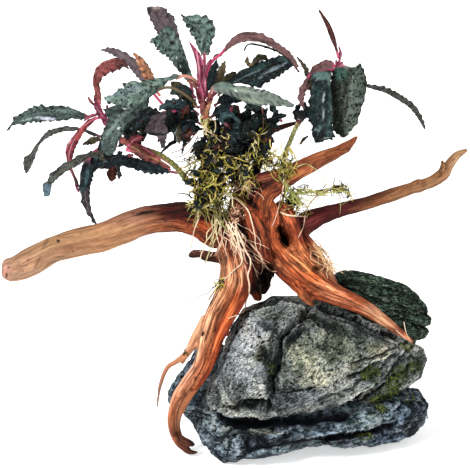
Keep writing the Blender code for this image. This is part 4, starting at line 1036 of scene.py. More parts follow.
slateLooks = {
    # sizes of the specks and so on; slant: how far the beds fall to the right in degrees, streak: how much
    # longer than thick the marks along them are
    "frontStone": {
        "speck": 2.5 * mm, "grain": 1.1 * mm, "cloud": 21 * mm, "vein": 13 * mm, "pit": 3.4 * mm,
        "pitAmount": 0.5, "veinTone": 0.3, "roughness": 0.9, "gloss": 0.05, "slant": -35, "streak": 1.7,
        "speckStops": [(0.38, "#14161a"), (0.43, "#6c7074"), (0.47, "#ccd0d2"), (0.54, "#ffffff")],
        "grainStops": [(0.33, "#3c4044"), (0.43, "#a4a6a6"), (0.53, "#ececea"), (0.62, "#ffffff")],
        "cloudStops": [(0.36, "#5c6468"), (0.45, "#b0b8bc"), (0.54, "#ffffff"), (0.66, "#fffaf0")],
        "fleck": "#e4e6e2", "fleckAmount": 0.6,
    },
    "backStone": {
        "speck": 2.6 * mm, "grain": 1.3 * mm, "cloud": 11 * mm, "vein": 9 * mm, "pit": 4.6 * mm,
        "pitAmount": 0.3, "veinTone": 0.4, "roughness": 0.8, "gloss": 0.08, "slant": 17, "streak": 3.4,
        "speckStops": [(0.38, "#0a0e0c"), (0.46, "#2e3a34"), (0.53, "#a0aca4"), (0.62, "#ffffff")],
        "grainStops": [(0.35, "#20262c"), (0.45, "#848c84"), (0.55, "#e6ece4"), (0.64, "#ffffff")],
        "cloudStops": [(0.36, "#404a48"), (0.5, "#f4fcf4"), (0.68, "#fafff2")], "fleck": "#8a9c90",
        "fleckAmount": 0.6,
    },
    "baseStone": {
        "speck": 4.0 * mm, "grain": 1.2 * mm, "cloud": 13 * mm, "vein": 9 * mm, "pit": 5.2 * mm,
        "pitAmount": 0.35, "veinTone": 0.3, "roughness": 0.8, "gloss": 0.08, "slant": -10, "streak": 2.2,
        "speckStops": [(0.36, "#080a10"), (0.43, "#3c444c"), (0.49, "#b4bcc2"), (0.56, "#ffffff")],
        "grainStops": [(0.33, "#20262c"), (0.42, "#8c949c"), (0.5, "#e6ecf0"), (0.58, "#ffffff")],
        "cloudStops": [(0.36, "#384450"), (0.5, "#f4f8fc"), (0.68, "#fafff2")], "fleck": "#a4b0ba",
        "fleckAmount": 0.7,
    },
}


stoneRelief = {
    # noise on every stone: lump size in m, octaves, seed, how fast the octaves fade
    "noise": {
        "bedBend": (0.03, 3, 41), "bedRipple": (0.008, 2, 43), "crag": (0.019, 5, 51, 0.55),
        "fine": (0.0042, 3, 61, 0.6), "grit": (0.0052, 2, 63, 0.6), "wobble": (0.006, 3, 71),
        "wander": (0.009, 4, 73, 0.6),
    },
    "bend": (3.2, 2.6),  # how far ledges and creases stray, in steps across and down
    "edgeHighlightTone": "#dce0d6",  # painted highlight along the ledges' raised edges
    "footDarkness": 0.3, "footDarknessHeight": 4 * mm,  # the darker foot of the lowest stone
}


def toLine(across, down, line):
    # distance in steps from each place to a line, and which side it is on (1 on the left of the way along)
    best = np.full(len(across), 1e9)
    side = np.ones(len(across))
    for (ax, ay), (bx, by) in zip(line, line[1:]):
        dx, dy = bx - ax, by - ay
        t = np.clip(((across - ax) * dx + (down - ay) * dy) / (dx * dx + dy * dy), 0, 1)
        away = np.hypot(across - ax - t * dx, down - ay - t * dy)
        nearer = away < best
        side = np.where(nearer, np.sign((across - ax) * dy - (down - ay) * dx), side)
        best = np.minimum(best, away)
    return best, side


def endFade(across, down, line, reach=6):
    # 1 along a line, 0 past its two ends
    fade = np.ones(len(across))
    for (ax, ay), (bx, by) in ((line[0], line[1]), (line[-1], line[-2])):
        length = math.hypot(bx - ax, by - ay)
        onward = ((across - ax) * (bx - ax) + (down - ay) * (by - ay)) / length
        fade = fade * smoothStep(-0.5 * reach, 0.5 * reach, onward)
    return fade


def stoneBody(stone, rings=8, finer=9, seed=3):
    # broken faces between the corner points of the part's solid, finely divided
    noise.seed_set(seed)
    outline, middle = np.array(stone["outline"], float), stone["middle"]
    corners = [np.tile(gridPoint(middle[0], middle[1], middle[2] - stone["front"]), (len(outline), 1))]
    for k in range(1, rings):
        angle = math.pi * k / rings
        spread = math.sin(angle) ** 0.5
        reach = outline[:, 3] * spread**2 + stone["front"] * (1 - spread**2)
        if angle >= math.pi / 2:
            reach = stone["back"]
        depth = outline[:, 2] * spread + middle[2] * (1 - spread) - reach * math.cos(angle)
        across, down = (middle[i] + (outline[:, i] - middle[i]) * spread for i in (0, 1))
        ring = gridPoint(across, down, depth)
        rough = np.array([noise.noise_vector(Vector(p) * 45)[:] for p in ring])
        corners.append(ring + rough * 5 * mm * math.cos(angle))
    corners.append(np.tile(gridPoint(middle[0], middle[1], middle[2] + stone["back"]), (len(outline), 1)))
    corners = np.array(corners)
    corners = np.concatenate([corners, corners[:, :1]], axis=1)
    around = np.linspace(0, len(outline), len(outline) * finer, endpoint=False)
    onward = np.linspace(0, rings, rings * finer + 1)[1:-1]
    i, j = np.minimum(onward.astype(int), rings - 1), around.astype(int)
    s, t = (onward - i)[:, None, None], (around - j)[None, :, None]
    a, b, c, d = (corners[np.ix_(i + n, j + k)] for n in (0, 1) for k in (0, 1))
    points = (a * (1 - t) + b * t) * (1 - s) + (c * (1 - t) + d * t) * s
    return points.reshape(-1, 3), loftFaces(len(onward), len(around))


def buildStones():
    trees = {}
    for name, stone in stones.items():
        print("Stone", name)
        points, faces = stoneBody(stone)
        mesh = reskin(meshFrom(name, points, faces), stone["voxel"], 3)
        points, normals = pointsOf(mesh), normalsOf(mesh)
        relief = {key: roughNoise(points, *row) for key, row in stoneRelief["noise"].items()}
        # beds: each layer stands out by its own amount, with a groove where two meet
        beds = stone["beds"]
        tilt = unit(np.array(beds["tilt"]))
        height = points @ tilt / beds["size"] + 0.7 * relief["bedBend"] + 0.25 * relief["bedRipple"]
        layer = np.floor(height)
        within = height - layer
        layers = (np.column_stack([n, n * 0 + 3, n * 0]).astype(np.int64) for n in (layer, layer + 1))
        own, above = (latticeValue(cells, 7) for cells in layers)
        ledge = mix(own, above, smoothStep(0.8, 1.0, within))
        seam = np.maximum(1 - within / 0.14, 0) + np.maximum(1 - (1 - within) / 0.1, 0)
        sideOn = 1 - smoothStep(0.5, 0.95, np.abs(normals @ tilt))
        crag = 1 - 2 * np.abs(relief["crag"])
        grit = 1 - 2.4 * np.abs(relief["grit"])
        fine, wobble, wander = relief["fine"], relief["wobble"], relief["wander"]
        away = beds["reach"] * (ledge * 0.8 - seam * 0.9) * sideOn + stone["crag"] * (crag - 0.5) * 0.8
        away = away + stone["grit"] * (fine + 0.6 * grit)
        across, down = gridOf(points)
        facing = smoothStep(-0.25, 0.1, normals @ toViewer)
        for spot in stone["swells"]:
            cover = 1 - smoothStep(0.3, 1.1, inEllipse(across, down, spot, 0.15 * wobble))
            away = away + spot[5] * mm * cover * facing
        hollow = np.zeros(len(points))
        pale = np.zeros(len(points))
        strayed = across + wander * stoneRelief["bend"][0], down + wobble * stoneRelief["bend"][1]
        for line, lip, lipWidth, drop, dropWidth, edge, footShade in stone["ledges"]:
            reach, side = toLine(*strayed, line)
            fade = endFade(across, down, line) * facing * np.clip(1.05 + 0.5 * wander, 0.6, 1)
            up, low = (side > 0) * fade, (side <= 0) * fade
            away = away + lip * mm * np.exp(-((reach / lipWidth) ** 2)) * up
            away = away - drop * mm * np.exp(-((reach / dropWidth) ** 2)) * low * smoothStep(0, 0.9, reach)
            # painted highlight on the ledge's raised edge, painted shade at its foot
            pale = np.maximum(pale, edge * np.exp(-((reach / 1.7) ** 2)) * up)
            hollow = np.maximum(hollow, footShade * np.exp(-((reach / dropWidth) ** 4)) * low)
        for line, width, depth, darkness in stone["creases"]:
            reach = toLine(*strayed, line)[0] / width
            away = away - depth * mm * np.exp(-(reach**2)) * facing
            # painted shade in the crease
            hollow = np.maximum(hollow, darkness * np.exp(-((reach / 1.1) ** 4)) * facing)
        tone = np.tile(linear(stone["base"]), (len(points), 1))
        for x, y, w, h, turn, colour, strength in stone["paints"]:
            cover = 1 - smoothStep(0.5, 1.2,
                inEllipse(across, down, (x, y, w, h, turn), 0.4 * wobble + 0.2 * wander))
            tone = mix(tone, linear(colour), cover * strength * facing)
        tone = mix(tone, tone * 0.4, smoothStep(0.1, 0.8, seam * sideOn) * beds["stripe"])
        tone = tone * (1 + beds["stripe"] * 0.9 * ledge * sideOn)[:, None]
        # painted light and shade: raised relief lighter, low relief darker
        shade = np.clip(0.98 + 0.3 * (crag - 0.5) + 0.4 * fine + 0.25 * (grit - 0.4), 0.12, 2.2)
        tone = tone * shade[:, None]
        # painted highlight on the raised crags
        ridgeHighlight = smoothStep(0.5, 0.95, crag + 0.35 * fine) * stone["ridgeHighlight"][1]
        tone = mix(tone, linear(stone["ridgeHighlight"][0]), ridgeHighlight)
        # painted highlight along the ledges' raised edges
        tone = mix(tone, np.maximum(tone * 2.0, linear(stoneRelief["edgeHighlightTone"])), pale)
        # painted shade in the low crags and the fine hollows
        hollow = np.maximum(hollow, stone["shade"] * smoothStep(0.2, 0.8, -crag))
        hollow = np.maximum(hollow, 0.85 * smoothStep(0.55, 0.85, -fine)) * (1 - pale)
        points = points + normals * away[:, None]
        if name == "baseStone":
            points[:, 2] = np.maximum(points[:, 2], 0)
            # darker towards the bottom of the lowest stone
            aboveFoot = smoothStep(0, stoneRelief["footDarknessHeight"], points[:, 2])
            hollow = np.maximum(hollow, stoneRelief["footDarkness"] * (1 - aboveFoot))
        movePoints(mesh, points)
        slate = slateMaterial("slateBroken" + name[0].upper() + name[1:], slateLooks[name])
        addPiece(name, mesh, slate, stone["slot"], [stone["node"]], tone=tone, hollow=hollow)
        trees[name] = BVHTree.FromPolygons(points.tolist(), [list(p.vertices) for p in mesh.polygons])
    return trees


# Leaves

leafTones = {
    # top, underside, midrib, stalk, how dotted (0 to 1)
    "dustyGreen": ("#566861", "#9a97a2", "#74847c", "#a8485c", 0.8),
    "greyGreen": ("#3a4643", "#9a97a2", "#6c7a74", "#a8485c", 0.7),
    "deepGreen": ("#1c2725", "#4c4448", "#3c4a44", "#8c3a50", 0.9),
    "sage": ("#59615a", "#7e8278", "#7c8a7c", "#b07a78", 0.35),
    "paleGreen": ("#5e7068", "#76767c", "#6a7a72", "#c88a78", 0.9),
    "blueBlack": ("#10191d", "#24242a", "#34484c", "#7a3a48", 0.3),
    "teal": ("#26393c", "#464a50", "#5c7476", "#8c4a58", 0.6),
    # near black: painted shade on leaves that sit deep in the clump
    "black": ("#090b0b", "#121012", "#1c2422", "#3a2024", 0.3),
    "mossGreen": ("#464e48", "#5a5c58", "#58625a", "#a05c68", 0.9),
    "inkGreen": ("#0f1919", "#2c3030", "#40504c", "#8c3a50", 0.5),
    "rust": ("#7e4240", "#8e504c", "#bc8478", "#c85a74", 0.2),
    "red": ("#702631", "#86404a", "#cc9096", "#c8607a", 0.2),
    "maroon": ("#421c1c", "#703830", "#8a5c40", "#c05a78", 0.2),
    "orange": ("#98684c", "#a87054", "#b88060", "#b85a50", 0.25),
    "mauve": ("#5e4242", "#684a4a", "#76504e", "#a8385a", 0.25),
    "purpleGrey": ("#403a3d", "#54484c", "#8c7674", "#b04a68", 0.4),
    "brownGrey": ("#3e3f3b", "#524a46", "#6a625a", "#8c5a5a", 0.6),
    "olive": ("#3c3624", "#504832", "#5a5238", "#8a6a4a", 0.5),
    "tan": ("#5c5038", "#74664a", "#7c7050", "#9a7a50", 0.4),
    "magenta": ("#7c2c46", "#964860", "#dca8b4", "#a43e5e", 0.0),
}

leaves = {
    # node: route of (across, down, depth) on the midrib, width in steps, turn of the upper side from facing
    # the viewer at the base and tip in degrees, fold of the halves in degrees, share of the stalk, tone;
    # then extras: tip, base and left-half tones (the left-half tone is painted shade), ruffle in mm, how
    # blunt the tip is, how bright the rib is, edges: left and right margin from base to tip, teeth: how far
    # the margin's teeth stand out in mm, marks: across, down, half width, half height, tilt, colour,
    # strength. The marks are partly the leaves' own blotches and partly painted light and shade: the pale
    # glints, streaks and drop centres are painted highlights, most near-black patches and holes painted
    # shade.
    "left_leaf_1": {
        "route": [(98, 114, -10), (88, 116.5, -15), (76, 114.5, -20), (64, 113, -24), (50, 113, -28),
            (36, 114, -31), (24, 118, -34), (13, 122.5, -36), (6.5, 130, -37)],
        "edges": (
            [(88, 118.5), (81, 120), (76, 119), (71, 118.5), (65, 121), (58, 120.5), (50.6, 121.7),
                (45, 121), (39, 123.4), (36, 121.5), (32.7, 122.6), (28, 122.4), (22.9, 125.5), (17, 124),
                (14.7, 124.4), (11, 128), (7.5, 131)],
            [(88, 115), (81.6, 112), (71.8, 107.9), (66, 106), (60.4, 105.4), (52, 105.6), (45, 106.4),
                (42, 104), (40, 104.6), (37, 106), (34.3, 105.4), (30, 108), (24.5, 111), (20, 114),
                (12.2, 117.7), (13, 121), (9, 127), (6, 131)],
        ),
        "turn": (25, 30), "fold": 8, "stalk": 0.12, "tone": "greyGreen", "ruffle": 0.9,
        "marks": [(46, 118.5, 11, 1.8, 4, "#c8c8d8", 0.9), (30, 119, 12, 1.2, -12, "#8fa09c", 0.7),
            (66, 111, 18, 2, 2, "#7c8c88", 0.5), (9, 127, 3, 3, 0, "#0c100e", 0.9)],
    },
    "left_leaf_2": {
        "route": [(105, 138, -7), (92, 132.5, -6), (80, 129, -4), (66, 128.6, -1), (52, 132, 2),
            (42, 140, 5), (35, 150, 8), (29, 160, 10), (26, 173, 11)],
        "edges": (
            [(101, 137.5), (91.4, 135.6), (84, 131.5), (76.7, 130.5), (70, 131.5), (65.3, 131.2),
                (60, 132.5), (55.5, 134), (47.3, 138), (40.8, 143), (38, 149), (35.9, 155.2), (32.7, 163.4),
                (29.4, 170), (26.5, 174)],
            [(101, 135.5), (93, 132), (86.5, 129.3), (75, 126.6), (65.3, 125.8), (55.5, 128.3), (48, 130),
                (44, 134), (39.2, 140.5), (32.7, 148.7), (31, 153), (24.5, 156.8), (22.9, 161.7),
                (23.7, 168.3), (26, 174)],
        ),
        "turn": (30, 30), "fold": 10, "stalk": 0.06, "tone": "brownGrey", "ruffle": 0.6,
    },
    "left_leaf_3": {
        "route": [(101, 117, -15.5), (93, 120, -18), (84, 126, -20), (76, 137, -22), (71, 147, -23),
            (69, 158, -24), (71, 170, -24), (75, 179, -24), (77.5, 187, -23)],
        "edges": (
            [(97, 119), (93, 122.6), (84.9, 130.7), (80, 138.9), (75.1, 148.7), (72.4, 158.5),
                (72.7, 169.9), (78, 181), (79.5, 187)],
            [(97, 116), (88.2, 119.3), (80, 127.4), (71.8, 137.2), (66.1, 145.4), (65.3, 153.6),
                (66.9, 161.7), (70.2, 171.5), (74, 179.7), (75.5, 187)],
        ),
        "turn": (20, 20), "fold": 5, "stalk": 0.05, "tone": "red", "tip": "#3a2026", "ruffle": 0.25,
        "rib": 0.8, "teeth": 0.2,
        "marks": [(72, 138, 1.0, 16, 30, "#c08a90", 0.7), (86, 124, 1.0, 12, 55, "#b86a74", 0.6),
            (80, 134, 3, 9, 35, "#8c3a30", 0.6)],
    },
    "left_leaf_4": {
        "route": [(117, 146, -13), (108, 149, -19), (98, 152, -25), (88, 155.5, -30), (78, 160, -34),
            (67, 166.5, -37), (57, 173.5, -40), (50, 181, -42), (47, 188, -43), (46.5, 196, -43)],
        "edges": (
            [(104, 153), (88.2, 158.5), (78.4, 165.5), (65.3, 172), (57.1, 179), (52, 184), (51, 189.5),
                (50, 195), (47, 197)],
            [(104, 148), (88.2, 153.5), (78.4, 154.4), (71.8, 160.1), (63.7, 162.5), (55.5, 169.9),
                (49, 174), (47.5, 181.3), (43.3, 183), (42.4, 188.5), (44, 195.2), (46, 197)],
        ),
        "turn": (25, 25), "fold": 8, "stalk": 0.1, "tone": "brownGrey", "base": "#34322a", "ruffle": 0.5,
        "teeth": 0.5,
        "marks": [(66, 168, 16, 3, -34, "#4a4c40", 0.7), (47, 190, 5, 8, 0, "#4c6470", 0.8),
            (56, 171, 6, 3, -40, "#14181a", 0.7)],
    },
    "left_leaf_5": {
        "route": [(112, 144, -5), (102, 147, -1), (92, 154, 4), (86, 166, 9), (85, 178, 12), (85, 190, 13),
            (86.5, 203, 13), (90.5, 214, 13), (96.5, 225, 13)],
        "edges": (
            [(90, 160), (92, 172), (91, 183), (90, 190), (89.8, 199.3), (91.4, 210.7), (94.7, 218.9),
                (97.5, 224.5)],
            [(84, 160), (80, 172), (79.5, 184), (80, 191), (81.6, 197), (80.4, 202.6), (84.9, 208),
                (86.3, 214), (90.2, 217.2), (92, 222), (96, 225)],
        ),
        "turn": (20, 20), "fold": 5, "stalk": 0.3, "tone": "purpleGrey", "ruffle": 0.5,
        "marks": [(84, 204, 2.4, 26, -8, "#16181a", 0.75), (94, 219, 3, 6, -30, "#16181a", 0.8)],
    },
    "left_leaf_6": {
        "route": [(104, 142, 1), (98, 139.5, 4), (91, 141, 7), (83, 144.5, 9)],
        "width": 8, "turn": (20, 20), "fold": 5, "stalk": 0.15, "tone": "olive", "ruffle": 0.5,
    },
    "left_leaf_7": {
        "route": [(133, 155, -1.5), (124, 158, 2), (114, 161, 4), (104, 162, 6), (96, 165, 7), (90, 172, 7),
            (86, 182, 7), (82, 193, 7)],
        "edges": (
            [(131, 160), (122, 165), (120, 169), (112, 168), (104.5, 169.5), (98.5, 168.5), (94, 172),
                (92.5, 180), (89, 187), (85, 191), (81, 194)],
            [(131, 154), (118, 155), (110, 153), (100, 155), (92, 151), (87.5, 152), (84, 162), (81, 171),
                (80.8, 180), (79, 190), (79.5, 194)],
        ),
        "turn": (10, 10), "fold": 5, "stalk": 0.06, "tone": "blueBlack", "ruffle": 1.0, "teeth": 0.8,
        "marks": [(108, 161, 14, 2.2, 4, "#34504e", 0.8), (98, 158, 7, 2.4, 20, "#5a7470", 0.7),
            (87, 176, 2.2, 10, 10, "#3c5c60", 0.8), (83, 190, 3.4, 4, 0, "#2c3c40", 0.8),
            (116, 166, 5, 1.6, 0, "#6c8480", 0.7)],
    },
    "left_leaf_8": {
        "route": [(178, 173, -16), (166, 171, -18), (150, 167.5, -20), (135, 163, -21), (120, 161, -21),
            (111, 165, -20)],
        "width": 14, "turn": (30, 35), "fold": 5, "stalk": 0.10, "tone": "blueBlack", "ruffle": 0.9,
        "blunt": 0.6,
    },
    "left_leaf_9": {
        "route": [(196, 104, -11), (184, 94, -15), (172, 88, -19), (162, 88.5, -23), (150, 95, -27),
            (139, 104, -30), (129, 113, -33), (120, 124, -36), (113, 138, -38), (107.5, 155, -40)],
        "edges": (
            [(160, 91), (154.7, 94), (149.5, 97.5), (149, 102), (148.1, 107.3), (144.8, 108.9),
                (138.9, 110.6), (138.1, 117.2), (133.1, 119.7), (129, 122.2), (124.5, 127), (124, 131.3),
                (120.7, 137.1), (117.4, 142.9), (115.7, 149.6), (113.2, 154.5), (108.3, 155.8)],
            [(160, 86), (150, 88), (140, 92), (130, 98), (120, 103), (112, 106), (103.3, 109.2), (107, 115),
                (107.4, 121), (103.6, 128.8), (101.6, 134.6), (99.6, 142.9), (101.6, 151.2), (106, 155.6)],
        ),
        "turn": (12, 10), "fold": 6, "stalk": 0.36, "tone": "greyGreen", "stalkTone": "#6a5c44",
        "ruffle": 0.8, "teeth": 0.7,
        "marks": [(120, 118, 34, 2.6, -52, "#6c7c76", 0.75), (122, 110, 7, 4, -30, "#0e1614", 0.85),
            (113, 112, 6, 2.6, -30, "#16201e", 0.8), (108, 146, 4, 6, 20, "#22302c", 0.7),
            (125, 108, 1.6, 1.6, 0, "#e8f0ee", 0.9), (119, 128.5, 1.3, 1.8, 0, "#e8f0ee", 0.9)],
    },
    "left_leaf_10": {
        "route": [(176, 111, -13), (168, 112, -15), (162, 117, -17), (157, 124, -19), (156, 132, -20),
            (160, 140, -20), (163, 148, -20)],
        "edges": (
            [(168, 113), (164, 123), (168, 128.8), (167.5, 134), (165.8, 141), (165, 149)],
            [(163, 112), (151, 116), (149, 121), (146, 127), (143.5, 132), (150, 135), (156.5, 136),
                (159.5, 141), (161, 148.5)],
        ),
        "turn": (170, 170), "fold": 5, "stalk": 0.14, "tone": "purpleGrey", "ruffle": 0.5, "teeth": 0.4,
        "marks": [(154, 122, 1.3, 1.5, 0, "#101010", 0.9), (150, 129, 1.2, 1.4, 0, "#101010", 0.9),
            (154.5, 128, 1.2, 1.2, 0, "#101010", 0.9), (152, 131.5, 1.0, 1.0, 0, "#101010", 0.9),
            (156, 134, 14, 1.8, 4, "#0c0c0e", 0.9), (162, 143, 4, 6, 0, "#241e1c", 0.8)],
    },
    "left_leaf_11": {
        "route": [(102, 113, -13), (99, 104, -12), (97, 92, -9), (96, 82, -5), (98.5, 73, -2), (105, 66, 1),
            (114, 63, 4), (122, 63, 6), (129, 69, 8)],
        "edges": (
            [(97, 104), (94.5, 92), (92.3, 81.5), (94.7, 69.5), (98, 65.5), (103, 61.2), (109, 59.5),
                (115, 57.2), (121, 58.5), (124.7, 60), (127, 64), (129, 68.5)],
            [(101, 104), (101.5, 96), (99.5, 84), (103, 76.7), (107, 75), (110.3, 71.5), (113, 73),
                (117.5, 69.5), (120, 70.4), (123.5, 66.5), (126, 68), (128, 69.5)],
        ),
        "turn": (20, 20), "fold": 5, "stalk": 0.12, "tone": "rust", "tip": "#5a3c3a", "ruffle": 0.3,
        "teeth": 0.3,
    },
    "left_leaf_12": {
        "route": [(166, 108, 6), (158, 99, 9), (150, 89, 13), (141, 75, 18), (131, 62, 22), (120, 54.5, 26),
            (110, 50.5, 29), (101, 50, 31)],
        "width": 10, "turn": (165, 165), "fold": 5, "stalk": 0.25, "tone": "purpleGrey", "ruffle": 0.7,
        "blunt": 0.5, "tip": "#101214",
    },
    "left_leaf_13": {
        "route": [(160, 96, 0), (154, 88, 2), (149, 77, 5), (144, 67, 7), (139, 59, 8), (133, 53, 8)],
        "width": 12, "turn": (25, 30), "fold": 8, "stalk": 0.12, "tone": "orange", "ruffle": 0.8,
    },
    "left_leaf_14": {
        "route": [(126, 148.5, -13), (135, 153, -13), (147, 159, -13), (160, 165, -13), (171, 170, -13)],
        "width": 7, "turn": (35, 35), "fold": 5, "stalk": 0.10, "tone": "rust", "ruffle": 0.4,
    },
    # coloured near black: painted shade behind left_leaf_9
    "left_leaf_15": {
        "route": [(166, 112, -3), (156, 114, -1), (145, 118, 1), (134, 125, 2), (125, 134, 2)],
        "width": 22, "turn": (0, 0), "fold": 0, "stalk": 0.10, "tone": "black", "ruffle": 1.4,
    },
    "centre_leaf_1": {
        "route": [(200, 84, -13), (191, 77.5, -18), (182, 76, -22), (172, 77, -27), (162, 82, -32),
            (150, 87, -37), (140, 91, -41), (130, 94.5, -44), (117, 98, -47), (104, 97.5, -48)],
        "edges": (
            [(179, 79), (174.6, 79.5), (168, 81), (164.7, 85.7), (158, 89), (154.7, 93.2), (149, 97),
                (145, 102), (138, 105), (130, 107), (122, 106), (114, 103.5), (109.9, 104.8),
                (105.8, 101.5), (104, 98)],
            [(179, 74.5), (174.6, 73.7), (167, 77.2), (156.4, 77.8), (148.9, 79.2), (143.9, 80.3),
                (138.9, 82.4), (137, 80.6), (131.5, 79.5), (129, 82.5), (126.9, 84), (124, 81), (123, 85.7),
                (124, 88.6), (118.2, 88), (117, 91), (111.6, 95.2), (104.1, 96.2)],
        ),
        "turn": (14, 14), "fold": 6, "stalk": 0.22, "tone": "paleGreen", "ruffle": 0.9, "teeth": 0.7,
        "marks": [(146, 88, 26, 1.6, -22, "#74847e", 0.7), (133, 88, 8, 2.4, -10, "#6c7884", 0.7),
            (152, 80.5, 3, 1.4, 0, "#0c1210", 0.9), (144.5, 84, 1.6, 1.4, 0, "#0c1210", 0.9),
            (131.5, 92, 3, 1.6, 0, "#0a100e", 0.9), (124.5, 95, 1.6, 1.6, 0, "#0a100e", 0.9),
            (147, 92.5, 6, 1.6, -30, "#24302c", 0.8), (120, 93.5, 9, 1.5, -16, "#5c6c78", 0.7)],
    },
    "centre_leaf_2": {
        "route": [(193, 92, 2), (188, 76, 6), (181, 58, 11), (173, 43, 15), (164.5, 28, 20), (158, 16, 24),
            (153, 6.5, 27)],
        "edges": (
            [(184, 74), (176, 60), (168, 48), (160, 38), (156.7, 32.4), (154, 28), (153.3, 24),
                (149.6, 19.9), (149.5, 16), (147.2, 13.6), (147, 7.6), (150, 6.4)],
            [(192, 76), (188, 62), (184, 50), (180, 38.7), (178.4, 31.4), (176, 23), (172.5, 14),
                (169.6, 14.5), (167.5, 10.5), (164, 7.6), (159, 6.4), (155, 6.6)],
        ),
        "turn": (170, 165), "fold": 5, "stalk": 0.14, "tone": "purpleGrey", "ruffle": 0.5, "teeth": 0.7,
        "marks": [(160, 20, 1.0, 18, -32, "#1c1618", 0.8), (170, 20, 1.1, 16, -30, "#221c20", 0.7),
            (149, 11, 2.6, 4, 0, "#14181a", 0.9), (156, 8, 5, 1.6, 0, "#94807c", 0.7),
            (172, 32, 4, 10, -24, "#332e34", 0.7)],
    },
    "centre_leaf_3": {
        "route": [(197, 90, -4), (191, 76, -6), (183, 62, -9), (176, 50, -13), (168, 41, -18),
            (160, 38, -23), (150.5, 41, -27)],
        "edges": (
            [(187, 82), (181.8, 74.2), (176.6, 69), (171.4, 61.7), (165.6, 55.4), (162.5, 55),
                (158.8, 50.2), (156.7, 49.1), (155.6, 45.5), (153, 44), (150, 42.6)],
            [(194, 80), (190.2, 70), (186, 58.5), (182.9, 49.1), (180.3, 40.8), (176.6, 34.5),
                (173.5, 29.3), (167.7, 25.4), (164, 28.5), (160.9, 31), (158.8, 34.6), (154.5, 37),
                (150.2, 39.4)],
        ),
        "turn": (5, 5), "fold": 5, "stalk": 0.12, "tone": "dustyGreen", "ruffle": 0.7, "teeth": 0.6,
        "marks": [(172, 43, 3.2, 2.8, 30, "#030505", 0.98), (169.3, 49.5, 2.0, 1.8, 0, "#030505", 0.98),
            (183, 67, 7, 10, -35, "#0a120e", 0.9), (158, 41, 5, 3, 0, "#50685e", 0.7),
            (168, 30, 5, 3, -30, "#5c7268", 0.7), (178, 56, 5, 7, -30, "#3c4a42", 0.7),
            (176.5, 57.5, 1.2, 0.8, 0, "#e0ece8", 0.9), (180.5, 66, 1.6, 0.8, 40, "#c8d8d4", 0.9),
            (165, 44, 3, 6, -20, "#485e56", 0.6)],
    },
    "centre_leaf_4": {
        "route": [(204, 86, -8.5), (204.5, 72, -8), (204.5, 58, -9), (203.5, 47, -11), (202, 36, -13),
            (198, 26, -17), (190, 18.5, -21), (181, 14.5, -24)],
        "edges": (
            [(201.5, 58), (200, 51.2), (198.5, 49.1), (196, 43.9), (194.4, 38), (190.6, 35.5), (190, 29.3),
                (185.6, 26), (185, 21.5), (182.5, 20), (180.8, 15.5)],
            [(207, 58), (210, 51.2), (211.5, 45), (212.4, 40.8), (215.6, 34.5), (215.6, 28.2),
                (212.4, 20.6), (209, 18.4), (205.9, 15.4), (202.5, 16.6), (199.6, 14.6), (196.5, 14.2),
                (193, 15.6), (189, 15), (185, 17), (181, 13.4)],
        ),
        "turn": (0, 0), "fold": 5, "stalk": 0.37, "tone": "dustyGreen", "ruffle": 0.8, "teeth": 0.6,
        "marks": [(196, 19.5, 8, 1.0, 6, "#8aa49c", 0.8), (196, 23, 7, 1.1, 8, "#0e1614", 0.9),
            (191, 26, 6, 1.2, 30, "#0e1614", 0.85), (207, 34, 1.2, 7, 10, "#101816", 0.8),
            (204, 44, 1.1, 8, 8, "#0e1614", 0.85), (201.5, 42, 1.0, 8, 4, "#7c9890", 0.8),
            (208, 42, 1.2, 6, 14, "#6c8880", 0.7), (182, 16.5, 2.4, 3, 0, "#0c1210", 0.9),
            (205, 26, 6, 3, 20, "#5c766e", 0.6)],
    },
    "centre_leaf_5": {
        "route": [(203, 98, -16), (201.5, 84, -17.5), (200, 70, -18), (196.5, 56, -18), (189.5, 42, -18)],
        "edges": ([(199, 97), (197.5, 80), (196.3, 64), (193, 52), (188.8, 42)],
            [(207.5, 97), (206.5, 80), (204.8, 64), (199.5, 52.5), (190.2, 42)]),
        "turn": (0, 0), "fold": 20, "stalk": 0.03, "tone": "magenta", "ruffle": 0.05, "teeth": 0.05,
        "marks": [(198.5, 66, 0.8, 24, -7, "#d890a4", 0.8), (204.5, 78, 0.8, 18, -3, "#d8a0b0", 0.8),
            (201.5, 74, 1.6, 14, -5, "#5c0c28", 0.8), (202, 60, 1.2, 6, -10, "#b8688c", 0.7)],
    },
    "centre_leaf_6": {
        "route": [(206, 95, -15), (205, 82, -16.5), (207.5, 70, -18), (213, 60.5, -20), (222, 53, -22),
            (232, 43, -24), (243, 36.8, -25), (255, 36.5, -25), (268, 41, -24), (280, 48.5, -22),
            (290, 57, -20), (298, 67, -18)],
        "edges": (
            [(222, 50.5), (226, 45), (230, 40), (235, 35.8), (240, 33), (246, 31.5), (254, 32), (262.6, 33),
                (266, 36), (272, 38), (276.4, 42), (284, 47), (290, 52), (295, 58), (299, 66)],
            [(223, 54), (228, 50), (232.3, 46.8), (239, 43), (246, 41.6), (254, 41.5), (262.6, 43),
                (276.4, 50), (284, 55), (290, 60), (296, 68)],
        ),
        "turn": (160, 160), "fold": 5, "stalk": 0.36, "tone": "mauve", "ruffle": 0.35, "teeth": 0.45,
        "marks": [(262, 41, 18, 1.5, 14, "#2c2022", 0.7), (246, 33.5, 14, 1.6, 4, "#241c1e", 0.6)],
    },
    "centre_leaf_7": {
        "route": [(299, 72, -10), (291, 62, -12), (281, 53, -13), (268, 47.5, -14), (256, 44.5, -14),
            (248, 44.5, -13), (244, 50.5, -12)],
        "width": 7, "turn": (75, 75), "fold": 5, "stalk": 0.10, "tone": "black", "ruffle": 0.6,
    },
    "centre_leaf_8": {
        "route": [(208, 101, -7), (216, 93, -7), (227, 86, -7), (240, 78.5, -6), (254, 72, -5),
